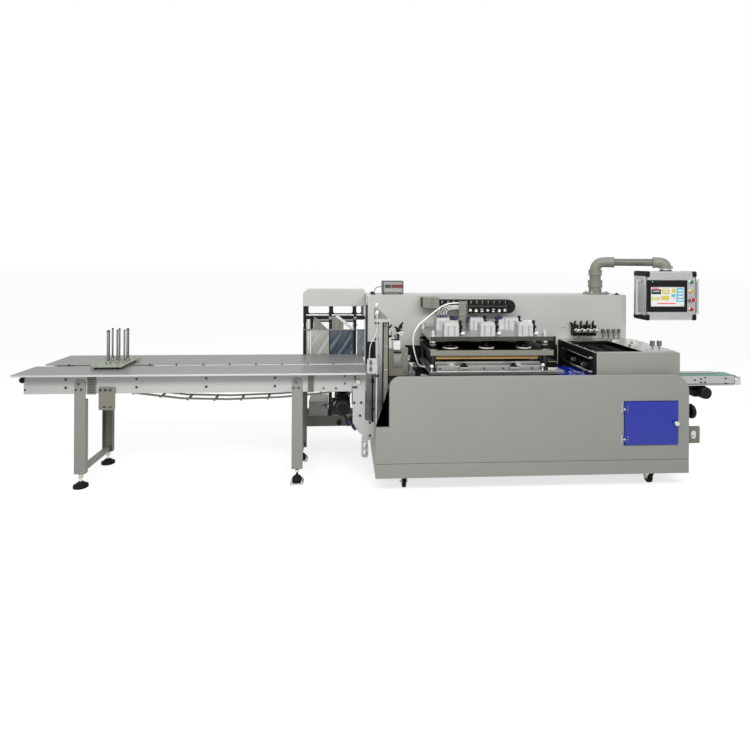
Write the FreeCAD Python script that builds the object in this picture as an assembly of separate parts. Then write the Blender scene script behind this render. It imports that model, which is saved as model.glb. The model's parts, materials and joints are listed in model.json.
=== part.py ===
import FreeCAD, Part
import math
import os

V = FreeCAD.Vector

# Drawing frame: X = 0 at the left edge of the cabinet front, Y = 0 at its front face, Z = 0 on the floor.
# Product runs along +X, the operator stands on the -Y side.

# Sheet and fits
SHEET = 3.0
GAP = 5.0
SEAM = 3.0
ROD_FIT = 0.05
ROD_GAP = 1.0

# Depth of the press and of the wall behind it
PRESS_Y0 = 160.0
PRESS_D = 520.0
PRESS_Y1 = PRESS_Y0 + PRESS_D
PRESS_REAR_GAP = 20.0

# Cabinet
CAB_W = 2162.0
CAB_SKIRT_Z = 98.0
CAB_SEAM_Z = 196.0
CAB_TOP_Z = 772.0
CAB_STEP_X = 90.0
CAB_STEP_Z = 436.0
CAB_R_LEFT = 70.0
CAB_R_RIGHT = 112.0
COVER_DEPTH = 28.0
WALL_Y = PRESS_Y1 + PRESS_REAR_GAP
WALL_DEPTH = 250.0
BACK_Y = WALL_Y + WALL_DEPTH
REAR_DOOR_T = 18.0
REAR_DOOR_GAP = 20.0
WALL_TOP_Z = 1275.0
WALL_X0 = -40.0
WALL_X1 = CAB_W - 67.0
DECK_Z = CAB_TOP_Z - 55.0
DECK_T = 12.0
BASE_Z = CAB_SKIRT_Z + 12.0
BASE_TUBE = 50.0
BASE_PAD_T = 8.0
BASE_BAY = 690.0

# Access door
DOOR_W = 378.0
DOOR_X1 = CAB_W - 82.0
DOOR_X0 = DOOR_X1 - DOOR_W
DOOR_Z0 = 298.0
DOOR_H = 297.0
DOOR_Z1 = DOOR_Z0 + DOOR_H
DOOR_T = 6.0
DOOR_LAP = 18.0
DOOR_SEAL = 1.0
HINGE_X = DOOR_X0 - 2.0
HINGE_Y = -12.0
HINGE_R = 5.0
HINGE_PIN_R = 2.0
HINGE_H = 50.0
HINGE_LEAF_T = 4.0
HINGE_LEAF_W = 21.0
HINGE_KNUCKLE = 17.7
HINGE_ZS = (DOOR_Z0 + 18.0, DOOR_Z1 - 75.0)
KNOB_R = 15.0
KNOB_OUT = 24.0
KNOB_X = DOOR_X1 - 20.0
KNOB_Z = (DOOR_Z0 + DOOR_Z1) / 2

# Casters
WHEEL_R = 40.0
WHEEL_W = 26.0
CASTER_XS = (200.0, CAB_W - 232.0)
CASTER_YS = (COVER_DEPTH + 42.0, BACK_Y - 70.0)
CASTER_TRAIL = 28.0
CASTER_PLATE_T = 4.0
CASTER_PLATE_X = 45.0
CASTER_PLATE_Y = 38.0
SWIVEL_GAP = 0.3
FORK_TOP_Z = BASE_Z - 11.0
FORK_T = 4.0
FORK_GAP = 4.0
FORK_CROWN_R = 30.0
AXLE_R = 5.0
KING_R = 7.0

# Press
PRESS_X0 = CAB_STEP_X + 300.0
PRESS_W = 880.0
PRESS_X1 = PRESS_X0 + PRESS_W
PRESS_BASE_X0 = PRESS_X0 - 6.0
PRESS_BASE_X1 = PRESS_X1 + 75.0
PRESS_BASE_Z = DECK_Z + 36.0
PRESS_BASE_T = 22.0
LOWER_TOP_Z = PRESS_BASE_Z + 75.0
PRESS_OPEN = 22.0
UPPER_BOTTOM_Z = LOWER_TOP_Z + PRESS_OPEN
HEATER_T = 8.0
PAD_Z = UPPER_BOTTOM_Z + HEATER_T
PAD_T = 26.0
PLATEN_Z = PAD_Z + PAD_T
PLATEN_T = 38.0
TOP_PLATE_Z = PLATEN_Z + PLATEN_T + 66.0
TOP_PLATE_T = 30.0
TOP_FACE_Z = TOP_PLATE_Z + TOP_PLATE_T
PAD_X0 = PRESS_X0 + 36.0
PAD_X1 = PRESS_X1 - 106.0
BLOCK_INSET = 56.0
COLUMN_R = 17.0
COLUMN_FOOT_R = 25.0
COLUMN_FOOT_H = 16.0
COLUMN_NUT_R = 16.0
COLUMN_NUT_H = 24.0
COLUMN_XS = (PRESS_X0 + 22.0, PRESS_X1 - 55.0)
COLUMN_YS = (PRESS_Y0 + 30.0, PRESS_Y1 - 30.0)
BUSH_H = 22.0
BUSH_R = 26.0
CYLINDER_XS = (PRESS_X0 + 0.178 * PRESS_W, PRESS_X0 + 0.475 * PRESS_W, PRESS_X0 + 0.786 * PRESS_W)
CYLINDER_YS = (PRESS_Y0 + 85.0, PRESS_Y1 - 120.0)
CYLINDER_W = 108.0
CYLINDER_H = 90.0
CYLINDER_CAP = 12.0
PISTON_R = 12.5
PISTON_RISE = 40.0
DISC_R = 52.0
DISC_T = 10.0
PRESS_STROKE = 15.0
PRESS_TRAVEL = 50.0

# Linear rails under the press
RAIL_W = 23.0
RAIL_H = 20.0
RAIL_YS = (PRESS_Y0 + 75.0, PRESS_Y1 - 75.0)
RAIL_X0 = PRESS_BASE_X0 - PRESS_TRAVEL - 4.0
RAIL_X1 = PRESS_BASE_X1 + PRESS_TRAVEL + 5.0
CARRIAGE_XS = (PRESS_BASE_X0 + 86.0, PRESS_BASE_X1 - 95.0)
CARRIAGE_L = 80.0
CARRIAGE_W = 66.0
CARRIAGE_GAP = 0.3

# Drag chain
CHAIN_W = 60.0
CHAIN_Y1 = WALL_Y - 50.0
CHAIN_Y0 = CHAIN_Y1 - CHAIN_W
CHAIN_H = 46.0
CHAIN_R = 30.0
CHAIN_TOP_Z = WALL_TOP_Z - 31.0
CHAIN_LOW_Z = CHAIN_TOP_Z - CHAIN_H - 2 * CHAIN_R
CHAIN_X_FIXED = PRESS_X0 + 0.162 * PRESS_W
CHAIN_X_MOVING = PRESS_X0 + 0.411 * PRESS_W
CHAIN_X_BEND = PRESS_X0 + 0.786 * PRESS_W
CHAIN_WEB = 9.0
LINK_PITCH = 46.0
LINK_SLOT = 24.0
BRACKET_T = 4.0
BRACKET_W = 65.0
BRACKET_Y = CHAIN_Y0 - 24.0
WALL_BRACKET_L = 130.0

# Infeed table and rails
TABLE_Z = 779.0
TABLE_T = 3.0
TABLE_LIP = 13.0
TABLE_X1 = -60.0
TABLE_L = 2350.0
TABLE_FRONT_X0 = TABLE_X1 - TABLE_L
TABLE_BACK_X0 = TABLE_FRONT_X0 + 26.0
SLOT_W = 40.0
CHAIN_CENTRE_Y = 430.0
TABLE_FRONT_Y = (114.0, CHAIN_CENTRE_Y - SLOT_W / 2)
TABLE_BACK_Y = (CHAIN_CENTRE_Y + SLOT_W / 2, 840.0)
RAIL_OUT_Y = (CHAIN_CENTRE_Y - 245.0, CHAIN_CENTRE_Y + 205.0)
INFEED_X0 = TABLE_FRONT_X0 + 46.0
INFEED_X1 = TABLE_X1 + 2.0
INFEED_Z1 = TABLE_Z - TABLE_LIP
INFEED_Z0 = INFEED_Z1 - 130.0
INFEED_WEB = 8.0
INFEED_FLANGE = 30.0
INFEED_FLANGE_T = 6.0
SPACER_L = 50.0
STRAND_OFF = 55.0
STRAND_W = 12.0
STRAND_H = 10.0
RUN_Z = INFEED_Z1 - 9.0
IDLER_X = INFEED_X0 + 19.0
IDLER_R = 24.0
IDLER_SHAFT_R = 10.0
DRIVE_X = INFEED_X1 - 54.0
DRIVE_R = 57.0
DRIVE_SHAFT_R = 14.0
SPROCKET_T = 10.0
SPROCKET_GAP = 0.2
PUSHER_PITCH = 190.5
PUSHER_LAST_X = TABLE_X1 - 38.0
PUSHER_COUNT = 12
PUSHER_TOP_Z = TABLE_Z + 11.0
FLIGHT_W = 14.0
FLIGHT_T = 8.0

# Infeed legs
LEG_XS = (TABLE_FRONT_X0 + 415.0, TABLE_X1 - 475.0)
LEG_W = 75.0
LEG_D = 40.0
LEG_T = 5.0
LEG_BOTTOM = (93.0, 102.0)
LEG_SEAT_Z = INFEED_Z0 - 40.0
LEG_TONGUE_Z = INFEED_Z1 - 32.0
LEG_BAR_W = 40.0
LEG_BAR_H = 30.0
FOOT_R = 47.5
FOOT_STEM_R = 8.0
ANCHOR_W = 90.0
ANCHOR_T = 10.0
ANCHOR_HOLE_R = 5.0
ANCHOR_HOLE_S = 68.0
BALL_R = 34.0

# Magazine
MAG_X0 = TABLE_FRONT_X0 + 420.0
MAG_X1 = MAG_X0 + 230.0
MAG_Y0 = CHAIN_CENTRE_Y - 155.0
MAG_Y1 = MAG_Y0 + 370.0
MAG_Z0 = PUSHER_TOP_Z + GAP
MAG_T = 8.0
MAG_TOP_Z = MAG_Z0 + MAG_T + 236.0
MAG_FOOT_R = 9.0
MAG_INSET = 40.0
PINS = (
    (91.0, 115.0, 11.0),
    (69.0, 238.0, 6.5),
    (143.0, 140.0, 6.5),
    (121.0, 232.0, 6.5),
    (194.0, 138.0, 6.5),
    (186.0, 218.0, 10.0),
)

# Infeed drive, hung from the rails
MOTOR_X = DRIVE_X - 112.0
MOTOR_Z = INFEED_Z0 - 148.0
MOTOR_R = 56.0
MOTOR_L = 140.0
GEAR_S = 58.0
GEAR_L = 100.0
MOTOR_PLATE_W = 60.0
TERMINALS_OUT = 27.0
DRIVE_PLATE_Y = CHAIN_CENTRE_Y + 110.0
DRIVE_PLATE_T = 12.0
SIDE_PLATE_T = 6.0
SIDE_PLATE_X0 = INFEED_X1 - 93.0
SIDE_PLATE_LOW_Z = INFEED_Z0 - 339.0
SIDE_PLATE_STEP_Z = INFEED_Z0 - 198.0
TIE_R = 9.0

# Film unit behind the table
FILM_L = 510.0
FILM_X0 = WALL_X0 - FILM_L
FILM_Y0 = TABLE_BACK_Y[1] + 22.0
FILM_D = 238.0
FILM_Y1 = FILM_Y0 + FILM_D
FILM_HOOD_Z0 = WALL_TOP_Z - 105.0
FILM_HOOD_Z1 = WALL_TOP_Z + 26.0
FILM_HOOD_X1 = WALL_X0 - 2.0
FILM_HOOD_OUT = 12.0
FILM_POSTS = (
    (FILM_X0 + 2.0, FILM_X0 + 25.0),
    (FILM_X0 + 0.418 * FILM_L, FILM_X0 + 0.418 * FILM_L + 24.0),
    (FILM_X0 + 0.816 * FILM_L, FILM_X0 + 0.816 * FILM_L + 22.0),
)
FILM_PANELS = ((0.131, 0.422), (0.435, 0.808), (0.871, 0.99))
FILM_BOX_X = (FILM_X0 + 0.102 * FILM_L, FILM_X0 + 0.402 * FILM_L)
FILM_BOX_H = 120.0
FILM_POST_D = 36.0
FILM_BACK_T = 4.0
FILM_BASE_Z = (182.0, 266.0)
FILM_TUBE = 40.0
FILM_RAIL_Z = FILM_HOOD_Z0 - 108.0
FILM_LOW_RAIL_Z = TABLE_Z - 139.0
FILM_RAIL_H = 24.0
ROLLER_R = 22.0
ROLLER_SHAFT_R = 8.0
SUPPLY_R = 30.0
WEB_T = 0.6
FILM_BAR_R = 5.0
FILM_BAR_Z = TABLE_Z + 196.0
WEB_DROP = 225.0
FORMER_T = 3.0

# Guide posts on the step at the cabinet's left end
POST_FOOT_T = 10.0
GUIDE_ROD_R = 8.0
GUIDE_HEAD_Z = WALL_TOP_Z - 142.0
GUIDE_ROD_FRONT = (CAB_STEP_X - 80.0, 80.0, GUIDE_HEAD_Z + 61.0)
GUIDE_ROD_BACK = (CAB_STEP_X - 76.0, 200.0, GUIDE_HEAD_Z + 100.0)
GUIDE_POST_X = (CAB_STEP_X - 31.0, CAB_STEP_X - 3.0)
GUIDE_POST_Y = (112.0, 140.0)
GUIDE_HEAD_T = 18.0
COLLAR_Z = TABLE_Z + 41.0
COLLAR_R = 16.0
COLLAR_H = 18.0

# Valve stand
VALVE_X0 = CAB_STEP_X + 12.0
VALVE_W = 148.0
VALVE_Y0 = 300.0
VALVE_D = 56.0
VALVE_TOP_Z = DECK_Z + 196.0
VALVE_T = 4.0
VALVE_BLOCK = (36.0, 51.0, 40.0, 58.0)

# Transport unit on the right of the press
TR_CLEAR = 180.0
TR_X0 = PRESS_BASE_X1 + TR_CLEAR
TR_X1 = CAB_W - 22.0
TR_W = TR_X1 - TR_X0
TR_Y0 = 75.0
TR_Z1 = DECK_Z + 198.0
TR_PLATE = 18.0
TR_BEAM = 30.0
TR_BEAM_INSET = 45.0
TR_BEAM_Z = (DECK_Z + 23.0, DECK_Z + 173.0)
TR_SIDE_T = 4.0
TR_WINDOW_Y = (TR_Y0 + 72.0, WALL_Y - 60.0)
TR_WINDOW_Z = (DECK_Z + 36.0, DECK_Z + 153.0)
TR_EXIT_Y = (190.0, 440.0)
TR_EXIT_Z = (DECK_Z + 6.0, DECK_Z + 93.0)
ROLL_R = 35.0
ROLL_FIRST = 0.138 * TR_W
ROLL_PITCH = 0.2114 * TR_W
ROLL_NIP = 1.0
ROLL_Z = TR_WINDOW_Z[1] - 55.5
SCREW_R = 6.0
KNURL_R = 14.0
GUARD_X0 = PRESS_BASE_X1 - 45.0
GUARD_T = 4.0
GUARD_Y = (60.0, 200.0, 435.0)

# Outfeed conveyor
OUT_L = 503.0
OUT_X1 = CAB_W + OUT_L
OUT_END = 51.0
OUT_Y0 = 235.0
OUT_W = 160.0
OUT_Y1 = OUT_Y0 + OUT_W
OUT_Z1 = CAB_TOP_Z - 64.0
OUT_H = 68.0
OUT_Z0 = OUT_Z1 - OUT_H
OUT_RAIL = 18.0
OUT_BRIDGE = 14.0
BELT_R = 24.0
BELT_T = 3.0
BELT_GAP = 5.0
OUT_MOTOR_X = CAB_W + 0.565 * OUT_L
OUT_MOTOR_R = 42.0
OUT_GEAR_L = 70.0

# Width adjuster on the right end panel
ADJ_Y = 343.0
ADJ_T = 6.0
ADJ_PLATE_Z = (250.0, 520.0)
ADJ_ARM_Z = (252.0, 372.0)
ADJ_REACH = 184.0
ADJ_KNOB_Z = 462.0
ADJ_KNOB_R = 43.0
ADJ_KNOB_X = CAB_W + 100.0
ADJ_KNOB_L = 38.0

# Counter on the wall
COUNTER_X0 = 93.0
COUNTER_Y0 = WALL_Y + 45.0
COUNTER_SIZE = (172.0, 100.0, 100.0)
COUNTER_FOOT = 8.0

# Operator panel
POST_X = WALL_X1 - 209.0
POST_Y = WALL_Y + 110.0
FLANGE_R = 95.0
FLANGE_T = 14.0
SOCKET_R = 56.0
NECK_R = 44.0
SLEEVE_R = 52.0
SPIGOT_R = 30.0
NECK_Z = WALL_TOP_Z + 117.0
SPIGOT_H = 32.0
ARM_Z = NECK_Z + 151.0
PIPE_R = 30.0
ELBOW_R = 42.0
ARM_BEND = 64.0
ARM_ELBOW_L = 144.0
DROP_ELBOW_L = 92.0
DROP_X = POST_X + 479.0
DROP_Y = POST_Y - 210.0
DROP_BEND = 45.0
DROP_COLLAR_R = 52.0
DROP_COLLAR_H = 18.0
DROP_Z = ARM_Z - 47.0
HMI_W = 415.0
HMI_H = 385.0
HMI_D = 170.0
HMI_X0 = DROP_X - 0.516 * HMI_W
HMI_X1 = HMI_X0 + HMI_W
HMI_Y0 = DROP_Y - HMI_D / 2
HMI_Y1 = HMI_Y0 + HMI_D
HMI_Z1 = DROP_Z - 22.0
HMI_Z0 = HMI_Z1 - HMI_H
HMI_FACE_T = 4.0
HMI_EDGE_R = 14.0
HMI_NECK_R = 40.0
HANDLE_OUT = 52.0
HANDLE_T = 16.0
HANDLE_Y = 24.0
HANDLE_INSET = (41.0, 64.0)
SCREEN_X = (9.0, HMI_W - 79.0)
SCREEN_Z = (66.0, HMI_H - 69.0)
SCREEN_OUT = 6.0
BUTTON_X = HMI_W - 46.0
BUTTONS = (
    (0.784 * HMI_H, 14.5, 12.0),
    (0.592 * HMI_H, 14.5, 12.0),
    (0.418 * HMI_H, 22.0, 30.0),
    (0.223 * HMI_H, 14.5, 12.0),
)

# Hoses and cables
HOSE_R = 5.0
THIN_HOSE_R = 2.5
THIN_HOSE_COUNT = 4
CABLE_R = 3.0

# On export the part moves so that its origin is the centre of its box, on the floor.
ORIGIN_X = (TABLE_FRONT_X0 + OUT_X1 + OUT_END) / 2
ORIGIN_Y = (FILM_Y1 + 15.0 - DOOR_SEAL - DOOR_T - KNOB_OUT) / 2


def box(x0, x1, y0, y1, z0, z1):
    return Part.makeBox(x1 - x0, y1 - y0, z1 - z0, V(x0, y0, z0))


def rod_z(x, y, z0, z1, radius):
    return Part.makeCylinder(radius, z1 - z0, V(x, y, z0), V(0, 0, 1))


def rod_y(x, z, y0, y1, radius):
    return Part.makeCylinder(radius, y1 - y0, V(x, y0, z), V(0, 1, 0))


def rod_x(y, z, x0, x1, radius):
    return Part.makeCylinder(radius, x1 - x0, V(x0, y, z), V(1, 0, 0))


def rod_between(start, end, radius):
    a = V(*start)
    b = V(*end)
    return Part.makeCylinder(radius, (b - a).Length, a, b - a)


def cone_z(x, y, z0, z1, r0, r1):
    return Part.makeCone(r0, r1, z1 - z0, V(x, y, z0), V(0, 0, 1))


def fuse(shapes):
    shapes = list(shapes)
    if len(shapes) == 1:
        return shapes[0]
    return shapes[0].multiFuse(shapes[1:]).removeSplitter()


def group(shapes):
    solids = []
    for shape in shapes:
        solids.extend(shape.Solids)
    return Part.makeCompound(solids)


def rounded_face(corners, place):
    """Flat face from (u, v, radius) corners, each corner rounded by its radius."""
    edges = []
    ends = []
    count = len(corners)
    for i in range(count):
        u, v, r = corners[i]
        here = V(u, v, 0)
        back = V(corners[i - 1][0], corners[i - 1][1], 0) - here
        ahead = V(corners[(i + 1) % count][0], corners[(i + 1) % count][1], 0) - here
        back.normalize()
        ahead.normalize()
        if r <= 0:
            ends.append((here, None, here))
            continue
        half = back.getAngle(ahead) / 2
        reach = r / math.tan(half)
        middle = back + ahead
        middle.normalize()
        centre = here + middle * (r / math.sin(half))
        ends.append((here + back * reach, centre - middle * r, here + ahead * reach))
    for i in range(count):
        first, mid, last = ends[i]
        if mid is not None:
            edges.append(Part.Arc(place(first), place(mid), place(last)).toShape())
        following = ends[(i + 1) % count][0]
        if (following - last).Length > 1e-6:
            edges.append(Part.LineSegment(place(last), place(following)).toShape())
    return Part.Face(Part.Wire(edges))


def slab_y(corners, y0, y1):
    face = rounded_face(corners, lambda p: V(p.x, y0, p.y))
    return face.extrude(V(0, y1 - y0, 0))


def slab_x(corners, x0, x1):
    face = rounded_face(corners, lambda p: V(x0, p.x, p.y))
    return face.extrude(V(x1 - x0, 0, 0))


def slab_z(corners, z0, z1):
    face = rounded_face(corners, lambda p: V(p.x, p.y, z0))
    return face.extrude(V(0, 0, z1 - z0))


def rect(u0, u1, v0, v1, r=0.0):
    return [(u0, v0, r), (u1, v0, r), (u1, v1, r), (u0, v1, r)]


def inset(corners, t):
    """Corners of a right-angled outline moved inwards by t."""
    wire = Part.makePolygon([V(u, v, 0) for u, v, r in corners] + [V(corners[0][0], corners[0][1], 0)])
    inner = Part.Face(wire).makeOffset2D(-t)
    points = [vertex.Point for vertex in inner.OuterWire.OrderedVertexes]
    result = []
    for u, v, r in corners:
        near = min(points, key=lambda p: (p.x - u) ** 2 + (p.y - v) ** 2)
        result.append((near.x, near.y, max(r - t, 0.0) if r > 0 else 0.0))
    return result


def save(name, shape):
    shape.translate(V(-ORIGIN_X, -ORIGIN_Y, 0))
    shape.exportStep(os.path.join("parts", name + ".step"))


# Cabinet

def front_cover():
    """Upper cover with its step and rounded corners, and the skirt below the seam."""
    upper = [
        (0.0, CAB_SEAM_Z, 0), (CAB_W, CAB_SEAM_Z, 0),
        (CAB_W, CAB_TOP_Z, CAB_R_RIGHT), (CAB_STEP_X, CAB_TOP_Z, CAB_R_LEFT),
        (CAB_STEP_X, CAB_STEP_Z, 0), (0.0, CAB_STEP_Z, 0),
    ]
    lower = rect(0.0, CAB_W, CAB_SKIRT_Z, CAB_SEAM_Z - SEAM)
    pans = []
    for outline in (upper, lower):
        pan = slab_y(outline, 0.0, COVER_DEPTH)
        pans.append(pan.cut(slab_y(inset(outline, SHEET), SHEET, COVER_DEPTH + 1)))
    opening = box(DOOR_X0 + DOOR_LAP, DOOR_X1 - DOOR_LAP, -1, COVER_DEPTH + 1,
                  DOOR_Z0 + DOOR_LAP, DOOR_Z1 - DOOR_LAP)
    return group([pans[0].cut(opening), pans[1]])


def side_panels():
    under_deck = DECK_Z - DECK_T
    left = box(0.0, SHEET, COVER_DEPTH, WALL_Y, CAB_SKIRT_Z, CAB_STEP_Z)
    shelf = box(0.0, CAB_STEP_X + SHEET, COVER_DEPTH, WALL_Y, CAB_STEP_Z, CAB_STEP_Z + SHEET)
    upper = box(CAB_STEP_X, CAB_STEP_X + SHEET, COVER_DEPTH, WALL_Y, CAB_STEP_Z + SHEET, under_deck)
    right = box(CAB_W - SHEET, CAB_W, COVER_DEPTH, WALL_Y, CAB_SKIRT_Z, under_deck)
    return group([left, shelf, upper, right])


def base_frame():
    t = BASE_TUBE
    x0, x1 = SHEET, CAB_W - SHEET
    y0, y1 = COVER_DEPTH, WALL_Y
    z0, z1 = BASE_Z, BASE_Z + t
    parts = [box(x0, x1, y0, y0 + t, z0, z1), box(x0, x1, y1 - t, y1, z0, z1)]
    for x in (x0, x0 + BASE_BAY, x1 - BASE_BAY - t, x1 - t):
        parts.append(box(x, x + t, y0 + t, y1 - t, z0, z1))
    for x in (x0 + CAB_STEP_X, x1 - t):
        for y in (y0, y1 - t):
            parts.append(box(x, x + t, y, y + t, z1, DECK_Z - DECK_T))
    for x in CASTER_XS:
        parts.append(box(x - BASE_TUBE, x + BASE_TUBE, y1, BACK_Y - GAP, z0, z0 + BASE_PAD_T))
        for y in CASTER_YS:
            parts.append(caster_plate(x, y))
    return group(parts)


def caster_plate(x, y):
    plate = box(x - CASTER_PLATE_X, x + CASTER_PLATE_X, y - CASTER_PLATE_Y, y + CASTER_PLATE_Y,
                BASE_Z - CASTER_PLATE_T, BASE_Z)
    race = rod_z(x, y, FORK_TOP_Z + SWIVEL_GAP, BASE_Z - CASTER_PLATE_T, FORK_CROWN_R - FORK_GAP)
    king = rod_z(x, y, FORK_TOP_Z - 2 * FORK_T, FORK_TOP_Z + FORK_T, KING_R)
    return fuse([plate, race, king])


def caster_fork(x, y):
    """Crown, two cranked legs and the axle."""
    half = WHEEL_W / 2 + FORK_GAP
    axle_y = y + CASTER_TRAIL
    top = rod_z(x, y, FORK_TOP_Z - FORK_T, FORK_TOP_Z, FORK_CROWN_R)
    top = top.cut(rod_z(x, y, 0, BASE_Z, KING_R + ROD_FIT))
    legs = []
    for side in (-1, 1):
        x0, x1 = sorted((x + side * half, x + side * (half + FORK_T)))
        outline = [
            (y - 0.8 * FORK_CROWN_R, FORK_TOP_Z - FORK_T / 2, 0),
            (y + 0.7 * FORK_CROWN_R, FORK_TOP_Z - FORK_T / 2, 0),
            (axle_y + 2.4 * AXLE_R, WHEEL_R + AXLE_R, 6),
            (axle_y + 2.4 * AXLE_R, WHEEL_R - 2 * AXLE_R, 8),
            (axle_y - 2.4 * AXLE_R, WHEEL_R - 2 * AXLE_R, 8),
            (y - 0.6 * FORK_CROWN_R, FORK_TOP_Z - 5 * FORK_T, 6),
        ]
        legs.append(slab_x(outline, x0, x1))
    reach = half + 2 * FORK_T
    axle = rod_x(axle_y, WHEEL_R, x - reach, x + reach, AXLE_R)
    return fuse([top] + legs + [axle])


def caster_wheel(x, y):
    y = y + CASTER_TRAIL
    half = WHEEL_W / 2
    tyre = rod_x(y, WHEEL_R, x - half, x + half, WHEEL_R)
    rims = [e for e in tyre.Edges if abs(e.Length - 2 * math.pi * WHEEL_R) < 1]
    tyre = tyre.makeFillet(WHEEL_R / 8, rims)
    hub = rod_x(y, WHEEL_R, x - half - FORK_GAP / 2, x + half + FORK_GAP / 2, 0.35 * WHEEL_R)
    bore = rod_x(y, WHEEL_R, x - 2 * WHEEL_W, x + 2 * WHEEL_W, AXLE_R + ROD_FIT)
    return fuse([tyre, hub]).cut(bore)


def rear_cabinet():
    """Closed electrical cabinet behind the work area, with three doors on its back."""
    z0 = BASE_Z + BASE_PAD_T
    shell = box(WALL_X0, WALL_X1, WALL_Y, BACK_Y, z0, WALL_TOP_Z)
    hollow = box(WALL_X0 + SHEET, WALL_X1 - SHEET, WALL_Y + SHEET, BACK_Y - SHEET,
                 z0 + SHEET, WALL_TOP_Z - SHEET)
    doors = []
    width = (WALL_X1 - WALL_X0 - 4 * REAR_DOOR_GAP) / 3
    for i in range(3):
        x0 = WALL_X0 + REAR_DOOR_GAP + i * (width + REAR_DOOR_GAP)
        doors.append(box(x0, x0 + width, BACK_Y, BACK_Y + REAR_DOOR_T,
                         z0 + 3 * REAR_DOOR_GAP, WALL_TOP_Z - 2 * REAR_DOOR_GAP))
    return group([shell.cut(hollow)] + doors)


def deck():
    return box(CAB_STEP_X, CAB_W, COVER_DEPTH, WALL_Y, DECK_Z - DECK_T, DECK_Z)


def linear_rails():
    """Two rails with a waist on both sides, for the carriages under the press."""
    rails = []
    waist = RAIL_W / 2 - 2.5
    for y in RAIL_YS:
        half = RAIL_W / 2
        z0, z1 = DECK_Z, DECK_Z + RAIL_H
        outline = [(y - half, z0, 0), (y + half, z0, 0), (y + half, z0 + 6, 0), (y + waist, z0 + 9, 0),
                   (y + waist, z1 - 7, 0), (y + half, z1 - 5, 0), (y + half, z1, 1.5),
                   (y - half, z1, 1.5), (y - half, z1 - 5, 0), (y - waist, z1 - 7, 0),
                   (y - waist, z0 + 9, 0), (y - half, z0 + 6, 0)]
        rails.append(slab_x(outline, RAIL_X0, RAIL_X1))
    return group(rails)


def door_hinges():
    """Fixed halves of the hinges: plate, middle knuckle and pin."""
    parts = []
    for z in HINGE_ZS:
        low, high = z + HINGE_KNUCKLE + SWIVEL_GAP, z + HINGE_H - HINGE_KNUCKLE - SWIVEL_GAP
        plate = box(HINGE_X - 24.0, HINGE_X - 7.0, -HINGE_LEAF_T, 0.0, z, z + HINGE_H)
        arm = box(HINGE_X - 12.0, HINGE_X, HINGE_Y - 3.0, -HINGE_LEAF_T, low, high)
        knuckle = rod_z(HINGE_X, HINGE_Y, low, high, HINGE_R)
        pin = rod_z(HINGE_X, HINGE_Y, z + 2.0, z + HINGE_H - 2.0, HINGE_PIN_R)
        parts.append(fuse([plate, arm, knuckle, pin]))
    return group(parts)


def door_leaf():
    """Acrylic leaf with the moving halves of the hinges and a turned knob."""
    y1 = -DOOR_SEAL
    y0 = y1 - DOOR_T
    parts = [slab_y(rect(DOOR_X0, DOOR_X1, DOOR_Z0, DOOR_Z1, 8.0), y0, y1)]
    for z in HINGE_ZS:
        parts.append(box(HINGE_X + 7.0, HINGE_X + 7.0 + HINGE_LEAF_W, y0 - HINGE_LEAF_T, y0, z, z + HINGE_H))
        for z0 in (z, z + HINGE_H - HINGE_KNUCKLE):
            z1 = z0 + HINGE_KNUCKLE
            arm = box(HINGE_X, HINGE_X + 12.0, HINGE_Y - 3.0, y0, z0, z1)
            eye = rod_z(HINGE_X, HINGE_Y, z0, z1, HINGE_R)
            bore = rod_z(HINGE_X, HINGE_Y, z0 - 1, z1 + 1, HINGE_PIN_R + ROD_FIT)
            parts.append(fuse([arm, eye]).cut(bore))
    stem = rod_y(KNOB_X, KNOB_Z, y0 - KNOB_OUT + 14.0, y0, 0.55 * KNOB_R)
    knob = rod_y(KNOB_X, KNOB_Z, y0 - KNOB_OUT, y0 - KNOB_OUT + 14.0, KNOB_R)
    knob = knob.makeChamfer(2.5, [e for e in knob.Edges if abs(e.BoundBox.YMax - (y0 - KNOB_OUT)) < 0.1])
    return fuse(parts + [stem, knob])


# Press

def columns():
    return [(x, y) for x in COLUMN_XS for y in COLUMN_YS]


def cylinders():
    return [(x, y) for y in CYLINDER_YS for x in CYLINDER_XS]


def press_base():
    """Base plate on four rail carriages, with the lower heated block and its front bar."""
    z0 = PRESS_BASE_Z
    z1 = z0 + PRESS_BASE_T
    plate = box(PRESS_BASE_X0, PRESS_BASE_X1, PRESS_Y0 - 14.0, PRESS_Y1 + 6.0, z0, z1)
    block = box(PAD_X0 - 4.0, PRESS_BASE_X1 - 30.0, PRESS_Y0 + BLOCK_INSET, PRESS_Y1 - BLOCK_INSET,
                z1, LOWER_TOP_Z)
    front = box(PAD_X0 + 10.0, PAD_X1 + 30.0, PRESS_Y0 - 8.0, PRESS_Y0 + 8.0, z1, LOWER_TOP_Z - 12.0)
    ties = []
    for x in (PAD_X0 + 130.0, PAD_X1 - 130.0):
        ties.append(box(x - 20.0, x + 20.0, PRESS_Y0 + 8.0, PRESS_Y0 + BLOCK_INSET, z1, LOWER_TOP_Z - 20.0))
    carriages = []
    for x in CARRIAGE_XS:
        for y in RAIL_YS:
            carriages.append(carriage(x, y, z0))
    return fuse([plate, block, front] + ties + carriages)


def carriage(x, y, top):
    """Block that wraps the rail's head, down to the waist."""
    body = box(x - CARRIAGE_L / 2, x + CARRIAGE_L / 2, y - CARRIAGE_W / 2, y + CARRIAGE_W / 2,
               DECK_Z + GAP, top)
    half = RAIL_W / 2 + CARRIAGE_GAP
    slot = box(x - CARRIAGE_L, x + CARRIAGE_L, y - half, y + half, DECK_Z - 1, DECK_Z + RAIL_H + CARRIAGE_GAP)
    return body.cut(slot)


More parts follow.
